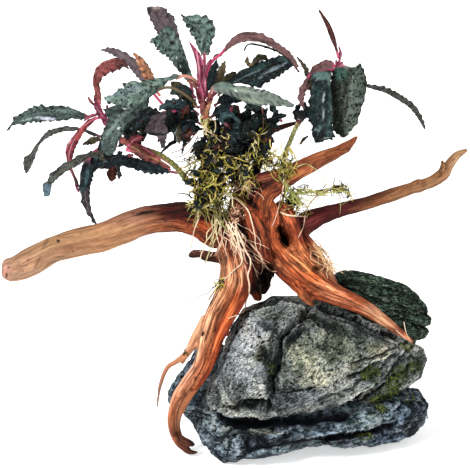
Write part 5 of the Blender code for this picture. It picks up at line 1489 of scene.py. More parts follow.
            (268, 66.5, -4), (281, 62, -3), (293, 61, -2)],
        "edges": (
            [(222, 85), (231, 77.5), (239, 71.4), (245, 68), (250, 67), (253, 65), (255, 62.5), (258, 62.8),
                (261.5, 60), (265, 61), (269, 58.6), (273, 57), (276, 57), (279, 54.8), (283, 55.4),
                (287, 53.4), (291, 57), (295.5, 62)],
            [(224, 91), (233, 84), (240, 83), (246, 84.5), (251, 86), (258, 88), (261, 87), (264, 84.5),
                (268, 82), (271, 80.5), (275, 78.4), (280, 76), (283, 73), (287, 70.4), (292, 67),
                (295.5, 63)],
        ),
        "turn": (-10, -10), "fold": 5, "stalk": 0.16, "tone": "inkGreen", "ruffle": 0.9, "teeth": 0.7,
        "rib": 0,
        "marks": [(246, 78, 26, 5, -20, "#0e1616", 0.8), (262, 66, 14, 2.4, -24, "#24403c", 0.85),
            (272, 62, 9, 1.6, -18, "#0a1212", 0.85), (252, 73, 12, 0.8, -24, "#586c70", 0.8),
            (270, 71, 12, 0.8, -22, "#8c9ca4", 0.85), (276, 66.5, 8, 0.7, -26, "#74848a", 0.8),
            (259, 78, 6, 0.8, -20, "#70828a", 0.7), (283, 65, 6, 0.8, -40, "#a4b0b8", 0.8),
            (284, 59, 7, 3, -12, "#2c4440", 0.8), (240, 79, 10, 0.7, -26, "#3c5054", 0.8),
            (266, 74, 5, 1.2, -22, "#060a0a", 0.9), (278, 70, 4, 1.2, -22, "#060a0a", 0.9),
            (254, 83, 7, 1.6, -8, "#1c3a3a", 0.8)],
    },
    "centre_leaf_9": {
        "route": [(207.5, 97, -14), (213, 90, -19), (224, 87.5, -24), (238, 90.5, -29), (254, 95.5, -34),
            (270, 99, -37), (282, 101.5, -39), (294, 106, -41)],
        "edges": (
            [(210, 88.5), (214, 84), (221.3, 81.3), (228, 82), (235, 85.4), (243, 85.5), (251.6, 86.8),
                (258, 89), (265.4, 89.5), (271, 92.5), (276.4, 94), (284, 99), (290, 101.5),
                (294.5, 104.7)],
            [(214, 92), (219, 93.5), (226, 94.5), (236, 98), (244, 102.5), (250, 104), (260, 106),
                (268, 105), (276.4, 106.5), (284, 106), (291.5, 108)],
        ),
        "turn": (-12, -12), "fold": 5, "stalk": 0.1, "tone": "sage", "ruffle": 0.4, "teeth": 0.4,
        "dots": 0.1,
        "marks": [(240, 90, 22, 1.6, 12, "#8c9a88", 0.6), (226, 86, 10, 3, 6, "#4c6058", 0.7),
            (252, 101, 16, 2.4, 12, "#7c8a78", 0.6), (247, 96, 1.3, 1.0, 0, "#1c2824", 0.9),
            (236, 91, 1.6, 1, 0, "#e4ecec", 0.8), (283, 103.5, 1.6, 1.0, 0, "#101412", 0.9)],
    },
    "centre_leaf_10": {
        "route": [(196, 107, 0), (190, 99, 4), (183, 91, 9), (172, 84, 14)],
        "width": 16, "turn": (20, 20), "fold": 5, "stalk": 0.14, "tone": "olive", "ruffle": 0.8,
    },
    "centre_leaf_11": {
        "route": [(205, 99, 0), (208, 88, 3), (212, 75, 7), (217, 60, 11)],
        "width": 11, "turn": (20, 20), "fold": 5, "stalk": 0.15, "tone": "blueBlack", "ruffle": 0.8,
    },
    "centre_leaf_12": {
        "route": [(210, 102, 4), (216, 88, 10), (221, 74, 16), (225, 61, 22)],
        "width": 12, "turn": (30, 30), "fold": 5, "stalk": 0.15, "tone": "tan", "ruffle": 0.8,
    },
    "centre_leaf_13": {
        "route": [(199, 115, -8), (190, 108, -9), (178, 104, -9.5), (167, 105, -10), (159, 110, -10)],
        "width": 14, "turn": (40, 30), "fold": 10, "stalk": 0.14, "tone": "teal", "ruffle": 1.2,
    },
    "centre_leaf_14": {
        "route": [(203, 125, -6), (193, 121, -7), (181, 119.5, -8), (171, 123, -8), (163, 131, -8)],
        "width": 17, "turn": (30, 20), "fold": 5, "stalk": 0.12, "tone": "teal", "base": "#1a2224",
        "ruffle": 1.3,
    },
    "right_leaf_1": {
        "route": [(334, 69, -4), (328, 71, -11), (324.5, 77, -16), (324.5, 91, -20), (323, 102, -22),
            (322, 113, -23), (321, 127, -23), (321.5, 142, -22)],
        "edges": (
            [(331.6, 72.4), (333.7, 73.5), (332.7, 79), (331.6, 88.8), (333, 99), (334, 111.2),
                (333, 126.5), (335.2, 137.8), (332.7, 140.8), (327, 140), (323, 142)],
            [(318.4, 71.6), (314.3, 72.2), (312.8, 79.6), (310.7, 90.8), (308.4, 105), (309.2, 111.2),
                (308.4, 121.4), (312.6, 125.5), (311.5, 131.6), (312.8, 137.8), (315.3, 143), (319, 143)],
        ),
        "turn": (10, 10), "fold": -8, "stalk": 0.08, "tone": "inkGreen", "ruffle": 0.9, "rib": 0,
        "teeth": 0.9,
        "marks": [(321, 76, 10, 5, 0, "#54706a", 0.85), (315, 80, 2.6, 3, 0, "#0c1214", 0.9),
            (318.5, 83.5, 3, 1.2, 20, "#080c0c", 0.9), (317, 79.5, 2, 0.7, -30, "#b8c8c8", 0.7),
            (323.6, 78, 0.7, 8, 0, "#1c2c28", 0.9), (329, 80, 2.6, 7, 0, "#5c726a", 0.8),
            (315, 108, 5, 26, 0, "#0c1a1c", 0.8), (318, 98, 2.0, 14, 0, "#1e3432", 0.8),
            (323.6, 96, 0.8, 8, 2, "#94a2a0", 0.85), (323, 112, 0.8, 9, 2, "#8c9896", 0.85),
            (322, 124, 0.7, 6, 2, "#9ca8a6", 0.85), (321.8, 103, 1.0, 0.8, 0, "#060a0a", 0.95),
            (322.6, 118, 1.0, 0.8, 0, "#060a0a", 0.95), (326, 106, 1.4, 22, 2, "#0a1212", 0.85),
            (330, 100, 2.0, 16, 0, "#2e423e", 0.8), (331.5, 112, 0.7, 10, 0, "#7c8c88", 0.6),
            (329, 122, 2.6, 7, 10, "#3c5450", 0.7), (319, 137, 7, 5, 0, "#060a0a", 0.9),
            (329, 133, 4, 3, 0, "#3c5854", 0.8), (317, 130, 4, 0.9, 20, "#94a8a4", 0.7),
            (326, 138, 5, 0.8, -10, "#8ca09c", 0.7), (319.5, 127, 2.4, 2.6, 0, "#44605a", 0.7),
            (313, 92, 0.8, 8, 0, "#48605c", 0.6)],
    },
    "right_leaf_2": {
        "route": [(338, 62, -1), (343, 66, -4), (349, 74, -6), (349.5, 88, -6), (347.5, 101, -6),
            (345.5, 116, -6), (344, 137.5, -6)],
        "edges": (
            [(344.9, 64.6), (351, 67), (355, 66.5), (360.2, 63), (363.3, 67.3), (365.5, 74.5),
                (367.5, 81.6), (366.5, 90.8), (364.5, 101), (361.5, 110.2), (359.2, 116.3), (358.2, 123.5),
                (353, 128.6), (349, 133.7), (345.5, 137.6)],
            [(337, 65), (332, 70), (331, 78), (330.5, 88), (330.5, 99), (330.5, 110), (331, 121.4),
                (333.4, 131), (339, 135.5), (343, 138)],
        ),
        "turn": (0, 0), "fold": 0, "stalk": 0.08, "tone": "mossGreen", "half": "#181c16", "ruffle": 0.4,
        "rib": 0.0, "teeth": 0.6, "dots": 1.0,
        "marks": [(347.2, 100, 0.9, 34, 4, "#0a0e0c", 0.9), (345.2, 104, 1.0, 30, 4, "#4c5448", 0.7),
            (341, 74, 7, 8, 0, "#2c4a40", 0.85), (356, 88, 7, 16, 0, "#525e54", 0.6),
            (343, 92, 1.2, 20, 3, "#3c4238", 0.8), (339.5, 110, 1.2, 16, 3, "#34382e", 0.8),
            (351, 92, 1.0, 20, 6, "#646c60", 0.6), (359, 84, 1.8, 1.2, 0, "#0c100e", 0.9),
            (363, 86, 1.4, 1.2, 0, "#0c100e", 0.9), (357, 76, 1.6, 1.2, 0, "#0c100e", 0.9),
            (363.5, 93, 1.6, 1.0, 0, "#0c100e", 0.9), (350.5, 84, 1.2, 1.8, 0, "#0c100e", 0.9),
            (354, 106.5, 3.0, 3.4, 0, "#060a08", 0.95), (354, 106.5, 1.3, 1.5, 0, "#8c9a90", 0.9),
            (361, 78, 3, 2.4, 0, "#141a16", 0.8), (360, 92, 2.6, 1.8, 0, "#141a16", 0.8),
            (352, 120, 6, 9, 10, "#4e5a4e", 0.6), (338, 120, 4, 14, 0, "#101410", 0.7),
            (361, 98, 2.0, 1.6, 0, "#141a16", 0.8), (356, 116, 2.0, 1.6, 0, "#141a16", 0.8),
            (358, 84, 1.6, 1.6, 0, "#141a16", 0.8)],
    },
    "right_leaf_3": {
        "route": [(344, 72, 5), (355, 80, 9), (367, 85.5, 14), (385, 90, 20), (400, 98, 25),
            (412, 106.5, 29), (420, 118, 32), (425, 129, 34)],
        "width": 7, "turn": (40, 30), "fold": 5, "stalk": 0.15, "tone": "brownGrey", "ruffle": 0.65,
        "blunt": 0.9,
    },
    "right_leaf_4": {
        "route": [(338.5, 58, 0), (336, 48, 2), (333, 38, 4), (328, 25, 7), (319, 10, 10)],
        "width": 6, "turn": (20, 20), "fold": 5, "stalk": 0.1, "tone": "maroon", "ruffle": 0.12,
    },
    "right_leaf_5": {
        "route": [(312, 101, 1), (311, 91, 2), (309.5, 80, 4), (305.5, 68, 6), (297, 57, 8)],
        "width": 9, "turn": (50, 50), "fold": 5, "stalk": 0.12, "tone": "olive", "ruffle": 0.8,
    },
    "right_leaf_6": {
        "route": [(336, 67, 7), (330, 64, 10), (323, 64, 13), (316, 69, 17), (311.5, 78, 21),
            (309, 90, 23)],
        "edges": (
            [(334, 68), (328, 70), (321, 72), (316, 78), (314, 90)],
            [(334.7, 62.2), (330, 60.5), (327.6, 59.5), (323.5, 60.5), (319, 63), (316.3, 64), (312, 67),
                (309.5, 71.5), (309, 78), (306.5, 84), (305, 90)],
        ),
        "turn": (160, 160), "fold": 5, "stalk": 0.05, "tone": "mauve", "ruffle": 0.4, "teeth": 0.4,
    },
    "right_leaf_7": {
        "route": [(310, 74, -2), (305, 83, -4), (302, 92, -6), (301, 100, -8), (304, 109, -9)],
        "width": 8, "turn": (30, 30), "fold": 5, "stalk": 0.12, "tone": "mauve", "ruffle": 0.6,
    },
}

redTones = ("rust", "red", "maroon", "orange", "mauve", "purpleGrey", "brownGrey", "olive", "tan",
    "magenta")

leafShape = {
    "thickness": 0.6 * mm,
    "stalkWidth": 1.8 * mm,
    "stalkThickness": 1.1 * mm,
    "ruffleLength": 4.3 * mm,
    "pucker": 0.42 * mm,
    "sideVein": 0.35 * mm,  # how far the blade swells between two side veins
    "veinSpacing": 5.2 * mm,
    "veinLean": 7 * mm,
    "midribWidth": 0.07,  # share of half the blade
    "midribDepth": 0.16 * mm,
    "widest": 0.42,  # share of the blade's length
    "rollDown": 0.22,  # how far the margins turn down
    "ruffleSwing": (5 * mm, 4.1 * mm, 9 * mm),  # how the waves' spacing and height vary along the margin
    "leastMargin": 0.1 * mm,
    "patch": 6 * mm,
}


def alongLine(points, share):
    # places at these shares of a line's length
    points = np.array(points, float)
    reach = np.concatenate([[0], np.cumsum(np.hypot(*np.diff(points, axis=0).T))])
    return np.column_stack([np.interp(share * reach[-1], reach, points[:, k]) for k in (0, 1)])


def leafBlade(leaf, seed, sections=66, columns=8):
    route = np.array(leaf["route"], float)
    centre, length = evenly(gridPoint(route[:, 0], route[:, 1], route[:, 2]), sections)
    along = unit(np.gradient(centre, axis=0))
    upper = unit(toViewer - along * (along @ toViewer)[:, None])
    share = np.linspace(0, 1, sections)
    angle = np.radians(leaf["turn"][0] + (leaf["turn"][1] - leaf["turn"][0]) * share)[:, None]
    face = 1
    if "edges" in leaf:
        face = -1 if leaf["turn"][0] > 90 else 1
        angle = angle * 0 + (0 if face > 0 else math.pi)
    upper = upper * np.cos(angle) + np.cross(along, upper) * np.sin(angle)
    side = np.cross(along, upper)
    blade = np.clip((share - leaf["stalk"]) / (1 - leaf["stalk"]), 0, 1)
    # a slender blade that is widest before its middle; blunt rounds off the tip
    blunt, peak = leaf.get("blunt", 0.25), leafShape["widest"]
    toBase = np.sin(math.pi / 2 * np.clip(blade / peak, 0, 1)) ** 0.85
    past = np.clip((blade - peak) / (1 - peak), 0, 1)
    toTip = (1 - past ** (1.5 + 2 * blunt)) ** (1 / (1.1 + 0.9 * blunt))
    shape = np.where(blade < peak, toBase, toTip) * (blade > 0)
    stalk = leafShape["stalkWidth"] * np.where(share > 0.97, 0.5, 1)
    half = np.maximum(leaf.get("width", 0) * grid["step"] * shape, stalk) / 2
    walk = share * length
    t = np.linspace(-1, 1, 2 * columns + 1)
    spread = [-side * half[:, None], side * half[:, None]]
    if "edges" in leaf:
        across, down = gridOf(centre)
        tilt = math.tan(math.radians(min(leaf["turn"][0], 180 - leaf["turn"][0])))
        for k, edge in enumerate(leaf["edges"][::face]):
            place = alongLine(edge, blade)
            away = np.hypot(place[:, 0] - across, place[:, 1] - down) * grid["step"] / mm
            depth = centre[:, 1] / mm + away * tilt * (1 if k else -1) * face
            reach = gridPoint(place[:, 0], place[:, 1], depth) - centre
            spread[k] = np.where(blade[:, None] > 0, reach, spread[k])
        half = (np.linalg.norm(spread[0], axis=1) + np.linalg.norm(spread[1], axis=1)) / 2
        shape = np.where(blade > 0, np.clip(half / half.max(), 0, 1) ** 0.6, 0)
    # the two margins ruffle out of step, with waves of uneven length
    chance = np.random.default_rng(seed)
    waves = []
    for _ in range(2):
        sway, rise, fall = leafShape["ruffleSwing"]
        drift = 0.4 * np.sin(walk / sway + chance.uniform(0, 6))
        turns = walk / leafShape["ruffleLength"] + drift + chance.uniform()
        phase = 2 * math.pi * turns
        slow, slower = (np.sin(walk / size + chance.uniform(0, 6)) for size in (rise, fall))
        swell = 0.62 + 0.38 * slow * slower
        waves.append((np.sin(phase) + 0.45 * np.sin(2.7 * phase + chance.uniform(0, 6))) * swell)
    wave = np.where(t[None] < 0, waves[0][:, None], waves[1][:, None])
    rolled = np.where(t[None] < 0, np.roll(waves[0], 2)[:, None], np.roll(waves[1], 2)[:, None])
    teeth = leaf.get("teeth", 0.75 * leaf["ruffle"]) * mm * (blade > 0) / np.maximum(half, 1.2 * mm)
    scallop = 1 + teeth[:, None] * np.clip(rolled, -1, 1) * np.abs(t[None]) ** 3
    veins = walk[:, None] / leafShape["veinSpacing"] - np.abs(t) * half[:, None] / leafShape["veinLean"]
    stray = 3 * np.sin(walk[:, None] / (8 * mm) + 2 * t + chance.uniform(0, 6))
    corrugated = np.sin(2 * math.pi * veins + stray)
    corrugated = corrugated * np.abs(t) ** 0.8 * (1 - np.abs(t) ** 6) * (blade > 0)[:, None]
    lift = half[:, None] * np.abs(t) * math.tan(math.radians(leaf["fold"]))
    lift = lift - half[:, None] * leafShape["rollDown"] * np.abs(t) ** 3 * shape[:, None]
    lift = lift + leaf["ruffle"] * mm * wave * shape[:, None] * np.abs(t) ** 1.7
    lift = lift + leafShape["sideVein"] * corrugated * shape[:, None]
    reachOut = np.where(t[None, :, None] < 0, spread[0][:, None], spread[1][:, None])
    flat = centre[:, None] + reachOut * (np.abs(t) * scallop)[..., None] + upper[:, None] * lift[..., None]
    pucker = roughNoise(flat, 2.6 * mm, 2, seed) * leafShape["pucker"] * (shape[:, None] * (1 - t**8))
    rib = leafShape["midribDepth"] * np.exp(-((t / leafShape["midribWidth"]) ** 2)) * shape[:, None]
    roundness = np.sqrt(1 - np.clip(np.abs(t), 0, 1) ** 2)
    thick = leafShape["stalkThickness"] * roundness[None] * (1 - np.clip(shape * 3, 0, 1))[:, None]
    thick = thick + leafShape["thickness"] * (1 - np.abs(t) ** 4)[None] * np.clip(shape * 3, 0, 1)[:, None]
    thick = thick + leafShape["leastMargin"]
    top = flat + upper[:, None] * (pucker - rib + thick / 2)[..., None]
    bottom = flat + upper[:, None] * (pucker - rib * 2.4 - thick / 2)[..., None]
    rings = np.concatenate([top, bottom[:, ::-1]], axis=1)
    count = rings.shape[1]

    # colour: patches of the leaf's tones, its veins, edges and marks, with painted light and shade on the
    # ruffles and margins
    topTone, underTone, ribTone, stalkTone = (linear(c) for c in leafTones[leaf["tone"]][:4])
    dotted = leaf.get("dots", leafTones[leaf["tone"]][4])
    stalkTone = linear(leaf["stalkTone"]) if "stalkTone" in leaf else stalkTone
    b = np.repeat(blade[:, None], 2 * columns + 1, 1)
    across = np.repeat(t[None], sections, 0)
    upperTone = np.tile(topTone, (sections, 2 * columns + 1, 1))
    # a half tone: painted shade over one half of the blade
    if "half" in leaf:
        upperTone = mix(upperTone, linear(leaf["half"]), smoothStep(-0.02, 0.12, across))
    if "base" in leaf:
        upperTone = mix(upperTone, linear(leaf["base"]), 1 - smoothStep(0.1, 0.5, b))
    if "tip" in leaf:
        upperTone = mix(upperTone, linear(leaf["tip"]), smoothStep(0.72, 0.95, b))
    patch = roughNoise(flat, leafShape["patch"], 3, seed + 40)
    upperTone = upperTone * (1 + 0.6 * patch)[..., None]
    # painted light and shade: crests of the ruffles and side veins lighter, their valleys darker, on both
    # sides
    furrow = wave * np.abs(across) ** 1.2
    upperShade = np.clip(1 + 0.7 * np.clip(furrow, -1.2, 1.2) + 0.6 * corrugated, 0.12, 2.2)
    upperTone = upperTone * upperShade[..., None]
    lowerShade = np.clip(1 + 0.3 * patch + 0.35 * furrow + 0.3 * corrugated, 0.2, 2)
    lowerTone = np.tile(underTone, (sections, 2 * columns + 1, 1)) * lowerShade[..., None]
    ribCover = np.exp(-((across / leafShape["midribWidth"]) ** 2)) * (1 - smoothStep(0.8, 1.0, b))
    ribCover = ribCover * leaf.get("rib", 0.4)
    edge = smoothStep(0.8, 1.0, np.abs(across)) * (0.45 + 0.55 * smoothStep(-0.2, 0.5, rolled))
    gridAcross, gridDown = gridOf(flat.reshape(-1, 3))
    marks = []
    for mark in leaf.get("marks", []):
        cover = mark[6] * (1 - smoothStep(0.55, 1.15, inEllipse(gridAcross, gridDown, mark, 0)))
        marks.append((linear(mark[5]), cover.reshape(b.shape)))
    stalk = 1 - smoothStep(0.0, 0.06, b)
    tones = []
    for tone, ribAmount in ((upperTone, 1.0), (lowerTone, 1.1)):
        tone = mix(tone, ribTone, np.clip(ribCover * ribAmount, 0, 1))
        for colour, cover in marks:
            tone = mix(tone, colour, cover)
        # painted shade: the margins darker, most where they turn
        tone = mix(tone, tone * 0.25, edge * 0.85)
        # painted highlight along the blade's edges
        if "rim" in leaf:
            rim = smoothStep(0.6, 0.9, np.abs(across)) * smoothStep(-0.05, 0.15, patch) * 0.9
            tone = mix(tone, linear(leaf["rim"]), rim)
        tones.append(mix(tone, stalkTone, stalk))
    tone = np.concatenate([tones[0], tones[1][:, ::-1]], axis=1)
    dots = dotted * smoothStep(0.02, 0.15, b) * (1 - 0.8 * ribCover)
    dots = np.concatenate([dots, dots[:, ::-1] * 0.4], axis=1)
    return rings.reshape(-1, 3), loftFaces(sections, count), tone.reshape(-1, 3), dots.reshape(-1)


def leafMaterial():
    # waxy water-plant leaf: thick wet cuticle that glints on every pucker, dark dotted glands, pale pearl
    # specks; pale patches and flecks added to its colour are painted highlights. Its real glands are 0.5 mm
    # dots, 2 to 3 mm apart, and are drawn about twice as wide so that they show.
    look = {
        "gland": 2.6 * mm, "pearl": 2.7 * mm, "blot": 2.4 * mm, "skin": 2.2 * mm, "glintPatch": 2.9 * mm,
        "fold": 1.7 * mm,
        "pearlTone": "#b4c4be", "glintTone": "#2e3836", "fleckGlintTone": "#283231",
    }
    material, tree = newMaterial("bucephalandraLeafWaxy")
    tone = addNode(tree, "Attribute", {"attribute_name": "tone"})
    dots = addNode(tree, "Attribute", {"attribute_name": "dots"})
    place = addNode(tree, "TexCoord")
    gland = addNode(tree, "TexVoronoi", Vector=place.outputs["Object"], Scale=1 / look["gland"],
        Randomness=1)
    pearl = addNode(tree, "TexVoronoi", Vector=place.outputs["Object"], Scale=1 / look["pearl"],
        Randomness=1)
    blot = addNode(tree, "TexNoise", Vector=place.outputs["Object"], Scale=1 / look["blot"], Detail=6,
        Roughness=0.7)
    skin = addNode(tree, "TexNoise", Vector=place.outputs["Object"], Scale=1 / look["skin"], Detail=3,
        Roughness=0.6)
    glandShade = addNode(tree, "ValToRGB", {"stops": [(0.20, "#0a0e0e"), (0.34, "#ffffff")]},
        Fac=gland.outputs[0])
    blotShade = addNode(
        tree, "ValToRGB", {"stops": [(0.375, "#101616"), (0.42, "#687272"), (0.46, "#ffffff")]},
        Fac=blot.outputs[0]
    )
    pearlCover = addNode(tree, "ValToRGB", {"stops": [(0.07, 0.7), (0.12, 0.0)]}, Fac=pearl.outputs[0])
    colour = tone.outputs["Color"]
    blotAmount = addNode(tree, "Math", {"operation": "MULTIPLY_ADD"}, i0=dots.outputs["Fac"], i1=0.6,
        i2=0.4)
    for shade, amount in ((glandShade, dots.outputs["Fac"]), (blotShade, blotAmount.outputs[0])):
        step = addNode(tree, "Mix", multiplied, i0=amount, i6=colour, i7=shade.outputs[0])
        colour = step.outputs[2]
    pearlAmount = addNode(tree, "Math", {"operation": "MULTIPLY"}, i0=pearlCover.outputs[0],
        i1=dots.outputs["Fac"])
    # painted highlight: pale patches added to the colour
    glintPatch = addNode(tree, "TexNoise", Vector=place.outputs["Object"], Scale=1 / look["glintPatch"], Detail=5,
        Roughness=0.68, Distortion=0.8)
    glintCover = addNode(tree, "ValToRGB", {"stops": [(0.56, 0.0), (0.66, 0.6)]}, Fac=glintPatch.outputs[0])
    glintTone = addNode(tree, "Mix", summed, i0=1.0, i6=colour, i7=look["glintTone"])
    glinted = addNode(tree, "Mix", blended, i0=glintCover.outputs[0], i6=colour, i7=glintTone.outputs[2])
    pearled = addNode(tree, "Mix", blended, i0=pearlAmount.outputs[0], i6=glinted.outputs[2],
        i7=look["pearlTone"])
    # painted highlight: small pale flecks added to the colour
    fold = addNode(tree, "TexNoise", Vector=place.outputs["Object"], Scale=1 / look["fold"], Detail=3,
        Roughness=0.55, Distortion=1.6)
    fleckGlintCover = addNode(tree, "ValToRGB", {"stops": [(0.59, 0.0), (0.66, 0.8)]}, Fac=fold.outputs[0])
    fleckGlinted = addNode(tree, "Mix", summed, i0=fleckGlintCover.outputs[0], i6=pearled.outputs[2],
        i7=look["fleckGlintTone"])
    relief = addNode(tree, "Math", {"operation": "MULTIPLY_ADD"}, i0=blot.outputs[0], i1=2.0,
        i2=skin.outputs[0])
    bump = addNode(tree, "Bump", Height=relief.outputs[0], Strength=0.7, Distance=0.5 * mm)
    wetBump = addNode(tree, "Bump", Height=skin.outputs[0], Strength=1.0, Distance=2.0 * mm)
    rough = addNode(tree, "MapRange", i0=blot.outputs[0], i1=0.3, i2=0.7, i3=0.7, i4=0.5)
    wet = addNode(tree, "MapRange", i0=skin.outputs[0], i1=0.52, i2=0.68, i3=0.03, i4=0.4)
    shader = addNode(
        tree,
        "BsdfPrincipled",
        Base_Color=fleckGlinted.outputs[2],
        Roughness=rough.outputs[0],
        Normal=bump.outputs[0],
        IOR=1.45,
        Specular_IOR_Level=0.1,
        Coat_Weight=wet.outputs[0],
        Coat_Roughness=0.1,
        Coat_Normal=wetBump.outputs[0],
    )
    finishMaterial(tree, shader)
    return material


def buildLeaves(material):
    print("Leaves")
    for n, (node, leaf) in enumerate(leaves.items()):
        points, faces, tone, dots = leafBlade(leaf, 100 + n)
        name = "leaf" + node.title().replace("_Leaf_", "").replace("_", "")
        slot = "red_leaf" if leaf["tone"] in redTones else "green_leaf"
        addPiece(name, meshFrom(name, points, faces), material, slot, [node], tone=tone, dots=dots)


cluster = {
    # where they crowd: middle (across, down, depth), reach (steps and mm), how many
    "crowds": [
        ((236, 130, -2), (30, 24, 13), 110), ((181, 122, -6), (24, 16, 9), 46),
        ((138, 128, -2), (15, 13, 7), 16), ((304, 117, 3), (6, 4, 4), 5),
        ((215, 150, -6), (22, 9, 8), 30), ((258, 122, 0), (14, 15, 8), 32), ((112, 163, 0), (14, 7, 8), 8),
        ((250, 142, -4), (20, 10, 9), 40), ((240, 168, -7), (18, 13, 5), 34),
        ((206, 180, -10), (12, 22, 4), 14),
    ],
    # the near-black tones are painted shade
    "tones": ("black", "black", "blueBlack", "black", "inkGreen", "black", "deepGreen", "maroon", "olive"),
    # painted highlights along the leaves' edges
    "rimHighlights": ("#3c484a", "#10181a", "#7c8a8e", "#1c2628", "#2c3838", "#50544c"),
    "stalkTone": "#241a1a",
    # drawn between these, in steps and degrees
    "length": (9, 19), "width": (6, 11), "turn": (-60, 60),
    # leaves that are seen singly: route, width, turn, tone
    "single": [
        ([(228, 126, -16), (222, 121, -18), (224, 116, -20), (231, 115, -20), (236, 119, -19)], 8, 15,
            "teal"),
        ([(230, 128, -16), (236, 127, -19), (238, 121, -21), (233, 117, -22)], 7, 20, "teal"),
        ([(231, 116, -16), (231, 111, -18), (232, 105, -19)], 4, 30, "red"),
        ([(268, 122, 4), (260, 112, 2), (252, 107, 0), (244, 108, -2)], 12, 20, "deepGreen"),
        ([(262, 132, -4), (256, 126, -8), (248, 124, -12), (240, 128, -14)], 11, 15, "black"),
        ([(210, 118, -10), (218, 112, -13), (228, 109, -15), (238, 112, -16)], 12, 10, "blueBlack"),
        ([(214, 140, -8), (222, 146, -12), (232, 150, -14), (243, 149, -14)], 10, 15, "black"),
        ([(252, 146, -6), (260, 142, -9), (268, 134, -10), (272, 124, -9)], 9, 20, "black"),
        ([(300, 122, 4), (305, 116, 3), (311, 113, 2), (317, 116, 1)], 8, 20, "black"),
        ([(299, 124, 4), (296, 117, 4), (297, 109, 4), (301, 103, 5)], 7, 20, "blueBlack"),
        ([(250, 66, 2), (256, 60, 4), (262, 57, 6), (268, 60, 8)], 8, 25, "olive"),
        ([(252, 70, 4), (248, 63, 6), (247, 57, 8)], 6, 25, "tan"),
        ([(300, 144, 4), (304, 139, 3), (308, 136, 2)], 4, 30, "olive"),
        ([(182, 128, -2), (173, 128, -4), (164, 133, -6), (158, 142, -7)], 9, 30, "black"),
        ([(188, 140, -2), (178, 140, -4), (168, 146, -5), (160, 154, -5)], 6, 40, "black"),
        ([(196, 133, -4), (189, 137, -6), (184, 145, -7), (182, 154, -7)], 6, 40, "deepGreen"),
        ([(158, 120, -6), (150, 118, -6), (141, 122, -5), (134, 130, -4)], 12, 20, "blueBlack"),
        ([(214, 106, -4), (222, 100, -2), (232, 98, 0), (242, 101, 2)], 12, 15, "blueBlack"),
        ([(282, 122, 8), (276, 114, 8), (272, 106, 8), (272, 98, 8)], 8, 25, "deepGreen"),
        ([(196, 98, -2), (188, 92, -3), (179, 90, -3), (170, 94, -3)], 13, 20, "deepGreen"),
        ([(124, 142, -8), (130, 138, -9), (137, 137, -9), (144, 141, -9)], 8, 10, "black"),
        ([(96, 106, -14), (91, 102, -16), (88, 97, -17)], 3.4, 30, "rust"),
        ([(98, 106, -14), (95, 100, -16), (95, 95, -17)], 3.0, 20, "red"),
        ([(99, 114, -14), (91, 116, -17), (84, 121, -19)], 4.4, 30, "magenta"),
        ([(339, 62, -2), (340.5, 54, -3), (339, 47, -3)], 4.0, 30, "magenta"),
        ([(203, 92, -17), (203, 80, -19), (206, 68, -20), (211, 59, -21)], 3.0, 20, "magenta"),
        ([(76, 184, -23), (77, 188, -23), (79, 192, -23)], 2.6, 20, "magenta"),
        ([(204, 106, -14), (199, 97, -17), (196, 88, -18)], 4.4, 20, "red"),
        ([(205, 108, -14), (209, 98, -17), (211, 90, -18)], 4.0, 20, "rust"),
        ([(127, 150, -12), (131, 144, -14), (133, 138, -15)], 6.0, 20, "red"),
        ([(104, 120, -12), (107, 112, -14), (107, 105, -15)], 3.4, 20, "magenta"),
        ([(196, 104, 8), (188, 96, 10), (178, 88, 12), (171, 82, 13)], 15, 10, "olive"),
        ([(199, 108, 8), (191, 103, 10), (184, 97, 12)], 12, 10, "maroon"),
        ([(203, 92, -6), (197, 84, -8), (190, 78, -9)], 2.6, 20, "tan"),
        ([(204, 98, -8), (196, 88, -10), (187, 80, -11)], 2.6, 20, "orange"),
        ([(212, 62, -8), (217, 56, -7), (222, 55, -6)], 5, 20, "tan"),
        ([(218, 96, 10), (226, 84, 12), (236, 72, 13)], 13, 10, "olive"),
        ([(107, 124, -12), (103, 117, -15), (98, 110, -17), (94, 103, -18)], 6.5, 10, "magenta"),
        ([(108, 122, -13), (102, 116, -16), (97, 113, -15)], 7.0, 20, "magenta"),
        ([(108, 128, -12), (104, 120, -15), (101, 112, -15)], 6.0, 20, "magenta"),
        ([(336, 78, 2), (337, 68, -2), (336, 60, -3)], 5.0, 20, "magenta"),
        ([(338, 74, 2), (339, 66, -3), (343, 62, -3)], 5.0, 20, "magenta"),
        ([(204, 110, -12), (203, 100, -18), (201, 88, -20), (197, 74, -20)], 5.5, 15, "magenta"),
        ([(205, 118, -14), (203, 108, -20), (203, 98, -22)], 8.0, 20, "rust"),
        ([(206, 118, -14), (207, 109, -20), (212, 101, -20)], 5.0, 20, "orange"),
        ([(206, 112, -13), (203, 104, -17), (197, 98, -18)], 6.0, 20, "red"),
        ([(203, 112, -13), (206, 104, -18), (213, 99, -18)], 5.0, 20, "red"),
        ([(170, 168, -10), (158, 160, -13), (144, 153, -15), (130, 146, -15)], 5.0, 25, "orange"),
        ([(160, 160, -12), (148, 151, -15), (135, 143, -16)], 5.0, 20, "red"),
        ([(128, 146, -14), (135, 139, -16), (143, 137, -17)], 9.0, 20, "red"),
        ([(126, 150, -12), (138, 152, -15), (150, 158, -16)], 4.5, 20, "rust"),
    ],
}


